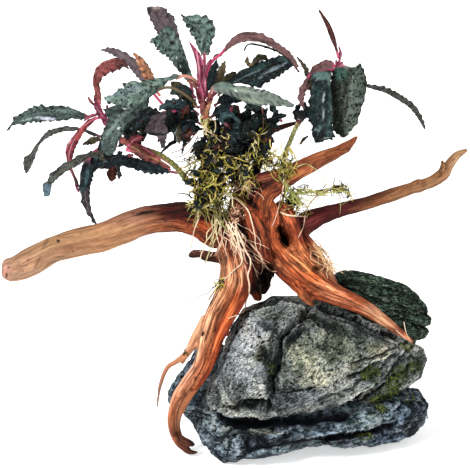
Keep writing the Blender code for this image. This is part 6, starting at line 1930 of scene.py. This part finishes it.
def buildCluster(material):
    # the small shaded leaves between the rosettes, most of them curled back on themselves; many are
    # coloured near black as painted shade, with painted highlights along their edges
    print("Shaded leaves")
    chance = np.random.default_rng(8)
    rows = []
    starts = []
    for middle, reach, count in cluster["crowds"]:
        starts += [np.array(middle) + np.array(reach) * chance.normal(0, 0.36, 3) for _ in range(count)]
    for k, start in enumerate(starts):
        angle = chance.uniform(0, 2 * math.pi)
        length = chance.uniform(*cluster["length"])
        heading = np.array([math.cos(angle), math.sin(angle) - 0.2, chance.uniform(-0.9, 0.5)])
        bend = np.array([chance.uniform(-0.5, 0.5), chance.uniform(0.1, 0.9), chance.uniform(-0.3, 0.3)])
        shares = (0, 0.33, 0.66, 1)
        route = [tuple(start + heading * length * s + bend * length * s**2 * 0.6) for s in shares]
        tone = cluster["tones"][k % len(cluster["tones"])]
        rows.append((route, chance.uniform(*cluster["width"]), chance.uniform(*cluster["turn"]), tone))
    allParts, first = [], 0
    for n, (route, width, turn, tone) in enumerate(rows + [tuple(row) for row in cluster["single"]]):
        leaf = {
            "route": route, "width": width, "turn": (turn, turn + 20), "fold": 12,
            "stalk": 0.12, "tone": tone, "ruffle": 0.8 if width > 5 else 0.15, "blunt": 0.5,
        }
        if n < len(rows):
            leaf["stalkTone"] = cluster["stalkTone"]
            leaf["rim"] = cluster["rimHighlights"][n % len(cluster["rimHighlights"])]
        points, faces, toneValues, dots = leafBlade(leaf, 300 + n, 15, 3)
        allParts.append((points, faces + first, toneValues, dots))
        first += len(points)
    points, faces, tone, dots = (np.concatenate([part[i] for part in allParts]) for i in range(4))
    mesh = meshFrom("shadedLeaves", points, faces)
    addPiece("shadedLeaves", mesh, material, "green_leaf", ["dark_leaf_cluster"], tone=tone, dots=dots)


# Rhizomes, stems and roots

rhizomes = {
    # node: route of (across, down, depth, radius), colours along it
    "left_rhizome": {
        "route": [(188, 183, -3, 3.2), (182, 174, -4, 3.0), (174, 165, -5, 2.8), (162, 156, -6, 2.6),
            (150, 151, -7, 2.6), (135, 147, -8, 3.0), (122, 140, -9, 3.0), (112, 130, -10, 2.6),
            (104, 117, -12, 2.1)],
        "colours": ["#6a6a34", "#8a8a4a", "#a8a45a", "#8a7a48", "#9a5a48", "#b04a5a", "#c05070"],
    },
    "centre_rhizome": {
        "route": [(211, 148, -4, 2.8), (209, 134, -5, 3.2), (206, 119, -6, 3.7), (204, 108, -8, 3.7),
            (202.5, 100, -10, 2.5)],
        "colours": ["#7a6a34", "#a89a50", "#b08a58", "#a04a44", "#b04a5a"],
    },
    "right_rhizome": {
        "route": [(284, 164, 3, 2.2), (285, 154, 4, 2.4), (289, 144, 5, 2.4), (298, 124, 6, 2.4),
            (312, 109, 8, 2.4), (327, 93, 9, 2.2), (335, 78, 6, 2.0), (338, 66, 2, 1.8)],
        "colours": ["#8a8a50", "#a8a868", "#a4a466", "#7a7a44", "#5a5a38", "#7a5a44", "#a8566a"],
    },
}

hangingRoots = {
    # nodes of the part that each root stands for, and its route of (across, down)
    "root_1": [(229, 196.6), (236, 199), (242, 203.8), (248.3, 211), (251.3, 220), (255, 236), (255.6, 245),
        (261, 259), (269.7, 270), (276.3, 271.6)],
    "root_2": [(283.5, 165), (283.8, 175), (283.5, 185.4), (280, 200.7), (276.8, 214), (272.2, 226.2)],
    "root_3": [(236, 224), (236, 230.3), (238, 240.5), (241, 252.8), (241.6, 263), (233, 271),
        (223.8, 280.3), (214, 291), (208, 300)],
    "root_4": [(237, 226), (238, 232.3), (246.2, 251.7), (250.3, 259), (250.3, 267), (247.8, 275.2),
        (249.3, 284.4), (248.8, 293.6), (246.2, 301), (244, 311), (237, 315), (228, 318.5)],
    "root_5": [(197.2, 205), (197.6, 212), (198.3, 219), (194.2, 230.3), (192.1, 242.6), (190.6, 250.7)],
    "root_6": [(331, 189.5), (321.7, 192.6), (310.5, 202.8), (305.4, 214), (303.4, 226.2), (298.3, 237.4)],
}

fineRoots = [
    # route of (across, down), radius in mm, tone
    ([(239, 230), (244, 238), (250.3, 243.6), (260.5, 254.8), (262.5, 264), (262.5, 270), (260, 274.7)],
        0.42, "pale"),
    ([(250.3, 259), (256.4, 273.2), (258, 280.3)], 0.34, "pale"),
    ([(250.3, 258), (259.5, 263.5)], 0.3, "pale"),
    ([(251.3, 263), (256, 270), (260, 274.7)], 0.3, "pale"),
    ([(216.6, 212), (217, 219), (220.2, 226), (222.8, 242.6), (228.4, 259)], 0.36, "pale"),
    ([(221.2, 212), (225.8, 222), (229.9, 236.4), (233, 246), (236, 252.8)], 0.36, "pale"),
    ([(229.9, 236.4), (231, 246), (235.5, 254)], 0.3, "pale"),
    ([(220.7, 220), (220, 228), (216.6, 236.4), (212, 244), (208, 254), (204.4, 265)], 0.36, "green"),
    ([(224.8, 230), (222, 240), (218.7, 246.6), (214.6, 255.8)], 0.32, "pale"),
    ([(220.2, 226), (219, 232), (223, 238), (227, 243)], 0.3, "pale"),
    ([(222.8, 242.6), (219, 249), (216, 256)], 0.28, "pale"),
    ([(226.5, 240), (225.5, 249), (227, 256)], 0.3, "pale"),
    ([(232, 226), (230, 234), (232, 243), (230, 250)], 0.3, "pale"),
    ([(236, 230.3), (233, 238), (234, 247)], 0.3, "green"),
    ([(240, 232), (247, 240), (252, 246), (257, 252)], 0.36, "pale"),
    ([(240, 246), (244, 254), (246, 262)], 0.3, "pale"),
    ([(214, 212), (216, 222), (214, 232), (210, 240)], 0.3, "green"),
    ([(222, 204), (224, 212), (229, 220), (231, 228)], 0.42, "green"),
    ([(218, 198), (221, 208), (221, 218), (224, 228)], 0.4, "green"),
    ([(227, 210), (232, 218), (236, 226), (240, 232)], 0.4, "pale"),
    ([(204, 204), (208, 212), (206, 220), (209, 228)], 0.32, "green"),
    ([(193, 203), (192, 208), (190, 213)], 0.34, "pale"),
    ([(211, 150), (215, 160), (213, 170), (217, 180), (223, 190), (229, 196)], 0.5, "pale"),
    ([(220, 186), (228, 190), (238, 187), (246, 180)], 0.45, "pale"),
    ([(222, 190), (230, 193), (238, 190), (245, 186), (250, 179)], 0.4, "pale"),
    ([(233, 183), (236, 187), (239, 190)], 0.4, "pale"),
    ([(308.5, 165), (316.6, 170), (323.8, 178.3), (326.8, 186.4), (326.3, 195.6)], 0.34, "green"),
    ([(280, 211.9), (287, 215), (297.2, 216), (307.4, 217)], 0.6, "pale"),
    ([(340, 195), (340.5, 205), (340, 214)], 0.34, "green"),
    ([(352, 198), (347, 202), (341, 205)], 0.26, "green"),
    ([(287, 190), (298, 189), (310, 190), (320, 192), (331, 188), (343, 192), (354, 198)], 0.4, "green"),
    ([(290, 200), (300, 194), (310, 193), (320, 190)], 0.34, "green"),
    ([(296, 212), (301, 205), (310, 198), (318, 194)], 0.3, "green"),
    ([(217.7, 283.4), (209, 292), (203.4, 294.6), (195, 298), (186, 298.4)], 0.3, "dark"),
    ([(220.6, 278.5), (216, 289), (211, 297), (207.5, 303.4)], 0.26, "dark"),
    ([(321, 248), (323, 256), (327, 265)], 0.24, "green"),
    ([(404, 322), (406, 332), (411, 343)], 0.24, "pale"),
    ([(396, 330), (404, 337), (413, 345)], 0.24, "pale"),
    ([(262, 107), (263, 118), (263, 131)], 0.45, "stem"),
    ([(196, 133), (188, 143), (180, 150), (171, 153)], 0.42, "stem"),
    ([(198, 136), (192, 147), (184, 155), (174, 158)], 0.36, "stem"),
    ([(202, 140), (196, 150), (188, 160), (176, 162)], 0.36, "stem"),
    ([(126, 148), (138, 151), (150, 153), (160, 158), (170, 164)], 0.5, "pink"),
    ([(128, 150), (140, 156), (152, 162), (166, 166)], 0.45, "orange"),
    ([(288, 148), (292, 156), (290, 166), (286, 174)], 0.4, "green"),
    ([(285, 150), (279, 160), (281, 170), (286, 180)], 0.36, "green"),
    ([(297, 167), (305, 164), (312, 166)], 0.34, "green"),
    ([(268, 150), (276, 156), (282, 163), (287, 172)], 0.42, "green"),
    ([(262, 152), (268, 160), (276, 166), (286, 168)], 0.36, "green"),
]

rootFans = [
    # where they start and end: (across, down, spread across, spread down); how many, radius in mm, tone
    ((219, 206, 9, 5), (218, 250, 18, 14), 10, 0.34, "fading"),
    ((230, 224, 6, 4), (252, 258, 16, 16), 8, 0.32, "pale"),
    ((226, 228, 6, 5), (250, 270, 14, 8), 4, 0.3, "pale"),
    ((216, 196, 10, 10), (222, 224, 12, 8), 12, 0.38, "green"),
    ((230, 168, 22, 14), (226, 196, 24, 12), 16, 0.4, "yellow"),
    ((262, 150, 12, 10), (284, 176, 10, 8), 8, 0.32, "yellow"),
    ((210, 160, 10, 12), (206, 196, 14, 12), 12, 0.45, "yellow"),
    ((240, 180, 8, 6), (258, 196, 8, 8), 6, 0.3, "pale"),
    ((290, 192, 6, 4), (338, 190, 12, 6), 5, 0.4, "sprig"),
    ((290, 192, 5, 8), (304, 210, 10, 8), 7, 0.4, "sprig"),
    ((284, 172, 5, 6), (292, 208, 8, 8), 4, 0.42, "sprig"),
    ((314, 246, 4, 8), (334, 272, 5, 4), 12, 0.36, "straw"),
    ((205, 114, 3, 4), (212, 142, 7, 8), 5, 0.4, "fading"),
    ((285, 148, 6, 6), (286, 176, 5, 8), 5, 0.34, "yellow"),
    ((196, 205, 4, 3), (194, 226, 5, 6), 4, 0.28, "green"),
]

rootTones = {
    "yellow": ("#c8b45c", "#9c9440"), "sprig": ("#6c7634", "#a8a860"), "straw": ("#b88c60", "#dcbc94"),
    "fading": ("#b0a860", "#ecd8bc"),
    "pale": ("#e6cdb4", "#c8a488"), "green": ("#b4b078", "#8a8c50"), "dark": ("#5a6050", "#6a6a58"),
    "stem": ("#7a4c3c", "#4a3a2c"), "pink": ("#c86a78", "#a04a50"), "orange": ("#c87a50", "#b06a44"),
}


rhizomeShape = {"sections": 70, "sides": 14, "knotSpacing": 3.4 * mm, "knotSwell": 0.14, "knotShade": 0.28}


# the six thick roots: radius in mm, its share at both ends, how far it wavers, its limits
hangingRootShape = {"radius": 0.5, "taper": (1.15, 0.7), "waver": 0.12, "limits": (0.28 * mm, 0.7 * mm),
    "sides": 8}


def tube(route, radii, sides):
    along, side, front = frameAlong(route)
    angle = np.linspace(0, 2 * math.pi, sides, endpoint=False)
    ring = side[:, None] * np.cos(angle)[None, :, None] + front[:, None] * np.sin(angle)[None, :, None]
    points = route[:, None] + ring * np.asarray(radii)[:, None, None]
    return points.reshape(-1, 3), loftFaces(len(route), sides)


def depthSeen(across, down, trees, fallback):
    # depth in mm of the first surface that the front view shows at this place, or the fallback
    ray = gridPoint(across, down, 0) - eye
    hits = [tree.ray_cast(Vector(eye), Vector(ray).normalized())[0] for tree in trees]
    depths = [hit[1] / mm for hit in hits if hit is not None]
    return min(depths) if depths else fallback


def layOver(route, trees, radius):
    # a root's route laid over what is behind it; where it hangs free it keeps the depth of what it left,
    # and one that touches nothing hangs 12 mm in front of the middle plane
    route = np.array([(a, d, 0) for a, d in route], float) * np.array([1, 1, mm])
    steps = max(6, int(np.abs(np.diff(route[:, :2], axis=0)).sum() / 2.2))
    fine, _ = evenly(route, steps)
    depths = np.array([depthSeen(a, d, trees, np.nan) for a, d, _ in fine])
    known = ~np.isnan(depths)
    if not known.any():
        depths[:] = -12
    else:
        depths = np.interp(np.arange(steps), np.where(known)[0], depths[known])
    smooth = np.convolve(np.pad(depths, 2, "edge"), np.ones(5) / 5, "valid")
    depths = np.minimum(smooth, depths) - radius * 0.8
    return evenly(gridPoint(fine[:, 0], fine[:, 1], depths), max(8, int(steps * 1.5)))[0]


def rootMaterial():
    # living aerial root: velvety pale skin over a green core, slightly translucent, rubbed brown in places
    material, tree = newMaterial("aerialRootVelvety")
    tone = addNode(tree, "Attribute", {"attribute_name": "tone"})
    place = addNode(tree, "TexCoord")
    rub = addNode(tree, "TexNoise", Vector=place.outputs["Object"], Scale=1 / (3 * mm), Detail=4,
        Roughness=0.6)
    rubShade = addNode(tree, "ValToRGB", {"stops": [(0.32, "#b89a80"), (0.5, "#ffffff"), (0.7, "#fff8ea")]},
        Fac=rub.outputs[0])
    colour = addNode(tree, "Mix", multiplied, i0=0.9, i6=tone.outputs["Color"], i7=rubShade.outputs[0])
    bump = addNode(tree, "Bump", Height=rub.outputs[0], Strength=0.4, Distance=0.2 * mm)
    shader = addNode(
        tree, "BsdfPrincipled", Base_Color=colour.outputs[2], Roughness=0.55, Normal=bump.outputs[0],
        IOR=1.42, Subsurface_Weight=0.1, Subsurface_Scale=0.4 * mm
    )
    finishMaterial(tree, shader)
    return material


brokenStub = {
    # middle and reach in steps, how many fibres, their length and radius in mm
    "middle": (237, 214), "reach": (9, 8.5), "fibres": 150, "length": 3.6, "radius": 0.55,
    "tones": ["#d09a7c", "#e8bca0", "#a8644c", "#e0a484", "#6c3424", "#f0ccb0"],
}


def buildStub(trees, material):
    # the broken end of a side branch: a bundle of torn fibres that faces the front
    print("Broken stub")
    chance = np.random.default_rng(21)
    parts, first = [], 0
    for k in range(brokenStub["fibres"]):
        away, angle = math.sqrt(chance.uniform()), chance.uniform(0, 2 * math.pi)
        across = brokenStub["middle"][0] + away * brokenStub["reach"][0] * math.cos(angle)
        down = brokenStub["middle"][1] + away * brokenStub["reach"][1] * math.sin(angle)
        depth = depthSeen(across, down, trees, -10) + 1
        length = brokenStub["length"] * (1.3 - 0.9 * away**2) * chance.uniform(0.5, 1.2)
        splay = np.array([0, 0.3, 0.8])
        across, down = across + splay * chance.normal(0, 1.2), down + splay * chance.normal(0, 1.2)
        path = gridPoint(across, down, depth - np.array([0, 0.6, 1]) * (length + 1))
        radii = np.array([1, 0.9, 0.5]) * brokenStub["radius"] * chance.uniform(0.5, 1.3) * mm
        points, faces = tube(path, radii, 5)
        tone = linear(brokenStub["tones"][k % len(brokenStub["tones"])]) * chance.uniform(0.7, 1.2)
        # painted shade: each fibre darker at its root among the others, lighter at its tip
        shaded = tone[None] * np.array([[0.25], [0.7], [1.1]])
        parts.append((points, faces + first, np.repeat(shaded, 5, 0)))
        first += len(points)
    points, faces, tone = (np.concatenate([part[i] for part in parts]) for i in range(3))
    addPiece("brokenStub", meshFrom("brokenStub", points, faces), material, "driftwood", [], tone=tone)


def buildRoots(trees, material):
    print("Rhizomes and roots")
    for node, rhizome in rhizomes.items():
        route = np.array(rhizome["route"], float)
        sections, sides = rhizomeShape["sections"], rhizomeShape["sides"]
        spots = np.column_stack([gridPoint(*route[:, :3].T), route[:, 3] * grid["step"]])
        curve, length = evenly(spots, sections)
        walk = np.linspace(0, length, sections)
        knots = np.cos(2 * math.pi * walk / rhizomeShape["knotSpacing"])  # the scars of old leaves
        swell = 1 + rhizomeShape["knotSwell"] * knots + 0.1 * roughNoise(curve[:, :3], 0.004, 2, 5)
        points, faces = tube(curve[:, :3], curve[:, 3] * swell, sides)
        stops = np.array([linear(c) for c in rhizome["colours"]])
        share = np.repeat(np.linspace(0, 1, sections), sides) * (len(stops) - 1)
        tone = np.column_stack([np.interp(share, np.arange(len(stops)), stops[:, c]) for c in range(3)])
        shade = 1 - rhizomeShape["knotShade"] + rhizomeShape["knotShade"] * np.repeat(knots, sides)
        tone = tone * shade[:, None]
        name = node.replace("_rhizome", "Rhizome")
        addPiece(name, meshFrom(name, points, faces), material, "rhizome", [node], tone=tone)
    chance = np.random.default_rng(5)
    for node, route in hangingRoots.items():
        radius = hangingRootShape["radius"]
        path = layOver(route, trees, radius)
        waver = hangingRootShape["waver"] * chance.normal(size=len(path)).cumsum() / 6
        thin = np.linspace(*hangingRootShape["taper"], len(path)) * radius * mm * (1 + waver)
        sides = hangingRootShape["sides"]
        points, faces = tube(path, np.clip(thin, *hangingRootShape["limits"]), sides)
        share = np.repeat(np.linspace(0, 1, len(path)), sides)
        tone = mix(linear(rootTones["pale"][0]), linear(rootTones["pale"][1]), share)
        name = node.replace("_", "")
        addPiece(name, meshFrom(name, points, faces), material, "root", [node], tone=tone)
    fan = []
    for start, end, count, radius, tones in rootFans:
        for _ in range(count):
            a, b = (
                np.array(spot[:2]) + np.array(spot[2:]) * chance.uniform(-1, 1, 2) for spot in (start, end)
            )
            bend = np.array([chance.uniform(-7, 7), chance.uniform(-2, 2)])
            route = [
                tuple(a + (b - a) * s + bend * math.sin(math.pi * s * 1.4) + chance.normal(0, 1.3, 2))
                for s in (0, 0.17, 0.34, 0.5, 0.67, 0.84, 1)
            ]
            fan.append((route, radius * chance.uniform(0.75, 1.3), tones))
    parts, first = [], 0
    for route, radius, tones in fineRoots + fan:
        path = layOver(route, trees, radius)
        thin = np.linspace(1.1, 0.65, len(path)) * radius * mm
        points, faces = tube(path, thin, 5)
        share = np.repeat(np.linspace(0, 1, len(path)), 5)
        tone = mix(linear(rootTones[tones][0]), linear(rootTones[tones][1]), share)
        parts.append((points, faces + first, tone))
        first += len(points)
    points, faces, tone = (np.concatenate([part[i] for part in parts]) for i in range(3))
    addPiece("fineRoots", meshFrom("fineRoots", points, faces), material, "root", [], tone=tone)


# Moss

mossPatches = {
    # piece: nodes it stands for; lumps of (across, down, depth, reach across, reach down, reach in depth in
    # mm); fields of (across, down, half width, half height, tilt, strands, length in mm) laid on what is
    # behind them
    "mossCushion": {
        "nodes": ["moss_cushion"],
        "lumps": [(208, 172, -6, 12, 14, 9), (206, 194, -7, 12, 14, 10), (217, 184, -9, 10, 16, 8),
            (214, 158, -4, 11, 10, 8), (217, 200, -8, 6, 8, 6), (202, 206, -8, 8, 6, 6)],
        "fields": [(205, 174, 17, 20, 0, 105, 12), (204, 196, 15, 15, 0, 85, 12),
            (226, 178, 20, 20, 0, 56, 13), (212, 156, 18, 8, 0, 50, 12), (218, 198, 7, 8, 0, 36, 10),
            (199, 207, 10, 6, 0, 36, 9), (240, 163, 18, 10, 0, 36, 12), (258, 147, 8, 16, 0, 70, 10),
            (246, 176, 14, 9, 0, 26, 11), (190, 166, 6, 12, 0, 18, 9), (272, 160, 12, 8, 20, 50, 9),
            (287, 166, 6, 12, 0, 40, 9), (218, 135, 14, 10, 0, 24, 9), (219, 284, 4, 5, 20, 40, 4),
            (262, 163, 12, 5, -20, 60, 6)],
        "away": 6.0, "fallback": -12, "droop": 0.16, "stem": (0.32, 0.72),
    },
    "mossTuft": {
        "nodes": ["moss_tuft"],
        "lumps": [(338, 189, 8, 10, 3.2, 4), (322, 191, 8, 10, 2.4, 3), (292, 202, 0, 8, 9, 5)],
        "fields": [(340, 188, 10, 4, 4, 60, 6), (322, 191, 14, 3, -6, 20, 6), (291, 199, 8, 13, -20, 70, 8),
            (300, 190, 14, 4, 0, 30, 7), (302, 212, 8, 4, 0, 20, 6), (350, 196, 6, 3, 30, 10, 6)],
        "away": 1.5, "fallback": 6, "droop": 0.1, "stem": (0.3, 0.55),
    },
    "stoneMoss": {
        "nodes": [], "lumps": [],
        "fields": [(370, 373, 10, 7, -25, 190, 3), (397, 377, 14, 9, -50, 260, 3),
            (377, 399, 9, 5, -20, 110, 3), (381, 408, 4, 5, 0, 60, 3), (365, 436, 8, 4, 0, 70, 2.5),
            (406, 346, 6, 5, 40, 80, 3), (392, 392, 8, 5, -40, 120, 3), (416, 366, 7, 8, 0, 60, 2.5),
            (272, 370, 5, 9, 0, 40, 1.6), (408, 398, 8, 4, -20, 60, 2.5), (186, 352, 2, 3, 0, 20, 2)],
        "away": 0.6, "fallback": None, "droop": 0.3, "stem": (0.16, 0.3),
    },
}

# the dark core of a cushion, coloured near black as painted shade between the shoots: balls that fill
# this share of each lump, and lumps this high in mm
mossCore = {
    "rings": 14, "around": 20, "fill": 0.8, "voxel": 1.0 * mm, "smoothing": 2, "lump": 4 * mm, "rise": 1.6,
}

mossTones = {
    "core": ["#0c0a06", "#3c3818"],
    "plant": ["#a09a3c", "#c0b058", "#14140a", "#dccc88", "#6c6a20", "#ece0b4", "#94803c", "#0c0c06",
        "#b8b054", "#d4c474", "#2c2a10"],
    "stone": ["#3e4c1e", "#1e2a0e", "#5a6a2c", "#2a3814", "#7c8844", "#121a08", "#46561f"],
}


def mossMaterial():
    # living water moss: fine feathered shoots, matt. Real shoots are 0.3 to 0.5 mm thick and are drawn up
    # to twice as thick so that they show.
    material, tree = newMaterial("javaMossShoots")
    tone = addNode(tree, "Attribute", {"attribute_name": "tone"})
    place = addNode(tree, "TexCoord")
    patch = addNode(tree, "TexNoise", Vector=place.outputs["Object"], Scale=1 / (5 * mm), Detail=4)
    shade = addNode(tree, "ValToRGB", {"stops": [(0.35, "#d8c89c"), (0.55, "#ffffff"), (0.7, "#fffff0")]},
        Fac=patch.outputs[0])
    colour = addNode(tree, "Mix", multiplied, i0=0.9, i6=tone.outputs["Color"], i7=shade.outputs[0])
    bump = addNode(tree, "Bump", Height=patch.outputs[0], Strength=0.4, Distance=0.3 * mm)
    shader = addNode(tree, "BsdfPrincipled", Base_Color=colour.outputs[2], Roughness=0.8,
        Normal=bump.outputs[0], Specular_IOR_Level=0.25)
    finishMaterial(tree, shader)
    return material


def mossShoot(start, heading, length, droop, chance, radius):
    # one shoot: a thin bent stem with small leaflets on alternate sides
    stations = 6
    path = [start]
    for _ in range(stations - 1):
        heading = unit(heading + chance.normal(0, 0.42, 3) + np.array([0, 0, -droop]))
        path.append(path[-1] + heading * length / (stations - 1))
    path = np.array(path)
    points, faces = tube(path, np.linspace(1.0, 0.35, stations) * radius, 3)
    extraPoints, extraFaces, first = [], [], len(points)
    for k in range(1, stations):
        across = unit(np.cross(heading, chance.normal(size=3)))
        base = path[k]
        reach = chance.uniform(0.5, 1.3) * mm * (1.1 - 0.1 * k)
        tip = base + across * reach + unit(path[k] - path[k - 1]) * reach * 0.7
        thick = np.cross(across, unit(path[k] - path[k - 1])) * 0.12 * mm
        middle = (base + tip) / 2
        wide = unit(path[k] - path[k - 1]) * 0.2 * mm
        extraPoints += [base, middle + wide + thick, tip, middle - wide - thick]
        extraFaces.append([first, first + 1, first + 2, first + 3])
        first += 4
    return np.vstack([points, extraPoints]), np.vstack([faces, extraFaces])


def buildMoss(trees, material):
    chance = np.random.default_rng(12)
    for name, moss in mossPatches.items():
        print("Moss", name)
        parts, first = [], 0
        if moss["lumps"]:
            # a dark core of balls that the shoots stand on, coloured near black as painted shade
            ballPoints, ballFaces, ballFirst = [], [], 0
            rings, around, fill = mossCore["rings"], mossCore["around"], mossCore["fill"]
            theta = np.linspace(0.15, math.pi - 0.15, rings)
            phi = np.linspace(0, 2 * math.pi, around, endpoint=False)
            theta, phi = np.meshgrid(theta, phi, indexing="ij")
            for a, d, y, ra, rd, ry in moss["lumps"]:
                across, down = a + ra * fill * np.sin(theta) * np.cos(phi), d - rd * fill * np.cos(theta)
                ring = gridPoint(across, down, y + ry * fill * np.sin(theta) * np.sin(phi))
                ballPoints.append(ring.reshape(-1, 3))
                ballFaces.append(loftFaces(rings, around) + ballFirst)
                ballFirst += rings * around
            balls = meshFrom(name, np.vstack(ballPoints), np.vstack(ballFaces))
            core = reskin(balls, mossCore["voxel"], mossCore["smoothing"])
            lift = roughNoise(pointsOf(core), mossCore["lump"], 4, 81) * mossCore["rise"] * mm
            corePoints = pointsOf(core) + normalsOf(core) * lift[:, None]
            coreFaces = np.array([list(p.vertices) for p in core.polygons])
            cover = smoothStep(0.1, 0.9, roughNoise(corePoints, mossCore["lump"], 3, 91))
            dark = mix(*(linear(c) for c in mossTones["core"]), cover)
            parts.append((corePoints, coreFaces, dark))
            first = len(corePoints)
            coreTree = BVHTree.FromPolygons(corePoints.tolist(), coreFaces.tolist())
        for a, d, w, h, turn, count, length in moss["fields"]:
            tilt = math.radians(turn)
            for _ in range(count):
                r, angle = math.sqrt(chance.uniform()), chance.uniform(0, 2 * math.pi)
                x, y = r * w * math.cos(angle), r * h * math.sin(angle)
                place = (a + x * math.cos(tilt) - y * math.sin(tilt),
                    d + x * math.sin(tilt) + y * math.cos(tilt))
                under = trees + ([coreTree] if moss["lumps"] else [])
                depth = depthSeen(*place, under, moss["fallback"])
                if depth is None:
                    continue
                start = gridPoint(*place, depth - chance.uniform(0, 1) ** 2 * moss["away"])
                heading = unit(toViewer * 0.5 + chance.normal(0, 0.8, 3))
                span = length * mm * chance.uniform(0.45, 1.2)
                points, faces = mossShoot(start, heading, span, moss["droop"], chance,
                    chance.uniform(*moss["stem"]) * mm)
                choice = mossTones["plant" if moss["lumps"] else "stone"]
                tone = linear(choice[chance.integers(len(choice))]) * chance.uniform(0.75, 1.3)
                # painted shade: each shoot darker at its base, lighter at its tip
                shade = np.linspace(0.75, 1.1, len(points))[:, None]
                parts.append((points, faces + first, tone * shade))
                first += len(points)
        points, faces, tone = (np.concatenate([part[i] for part in parts]) for i in range(3))
        addPiece(name, meshFrom(name, points, faces), material, "moss", moss["nodes"], tone=tone)


# Floor, light and camera

studio = {
    "sky": 0.5, "keyPower": 3.6, "keySoftness": 18, "fillPower": 1.0, "fillSoftness": 60,
    "floor": "#f8f8f8", "floorShade": "#f1f1f1", "floorGlow": 0.55, "sensorWidth": 36, "imageWidth": 470,
}


def buildStudio():
    print("Studio")
    left, right, near, back, height = -16, 16, -6, 40, -0.0002
    corners = [(left, near, height), (right, near, height), (right, back, height), (left, back, height)]
    mesh = meshFrom("floor", corners, [(0, 1, 2, 3)])
    # matt white paper: no gloss, and a faint glow that keeps it as pale as the backdrop
    material, tree = newMaterial("paperSweepMatt")
    tooth = addNode(tree, "TexNoise", Scale=60, Detail=2)
    colour = addNode(tree, "ValToRGB", {"stops": [(0.0, studio["floorShade"]), (1.0, studio["floor"])]},
        Fac=tooth.outputs[0])
    shader = addNode(
        tree, "BsdfPrincipled", Base_Color=colour.outputs[0], Roughness=0.9, Specular_IOR_Level=0.1,
        Emission_Color=(1, 1, 1, 1), Emission_Strength=studio["floorGlow"],
    )
    finishMaterial(tree, shader)
    mesh.materials.append(material)
    floor = bpy.data.objects.new("floor", mesh)
    bpy.context.scene.collection.objects.link(floor)
    world = bpy.data.worlds.new("studio")
    bpy.context.scene.world = world
    world.use_nodes = True
    world.node_tree.nodes["Background"].inputs[0].default_value = (1, 1, 1, 1)
    world.node_tree.nodes["Background"].inputs[1].default_value = studio["sky"]
    for name, power, spread, direction in (
        ("key", studio["keyPower"], studio["keySoftness"], (0.55, 0.75, -0.75)),
        ("fill", studio["fillPower"], studio["fillSoftness"], (-0.7, 0.6, -0.35)),
    ):
        light = bpy.data.lights.new(name, "SUN")
        light.energy = power
        light.angle = math.radians(spread)
        lamp = bpy.data.objects.new(name, light)
        lamp.rotation_euler = Vector(direction).to_track_quat("-Z", "Y").to_euler()
        bpy.context.scene.collection.objects.link(lamp)
    lens = bpy.data.cameras.new("camera")
    lens.sensor_width = studio["sensorWidth"]
    lens.lens = studio["sensorWidth"] * grid["eyeDistance"] / (studio["imageWidth"] * grid["step"])
    lens.clip_end = 100
    camera = bpy.data.objects.new("camera", lens)
    camera.location = eye
    camera.rotation_euler = (math.pi / 2 - rise, 0, 0)
    bpy.context.scene.collection.objects.link(camera)
    bpy.context.scene.camera = camera
    bpy.context.scene.view_settings.view_transform = "Standard"


buildStudio()
stoneTrees = buildStones()
woodTree = buildDriftwood()
leafSkin = leafMaterial()
buildLeaves(leafSkin)
buildCluster(leafSkin)
rootSkin = rootMaterial()
buildStub([woodTree], rootSkin)
buildRoots([woodTree, stoneTrees["frontStone"]], rootSkin)
buildMoss([woodTree, *stoneTrees.values()], mossMaterial())
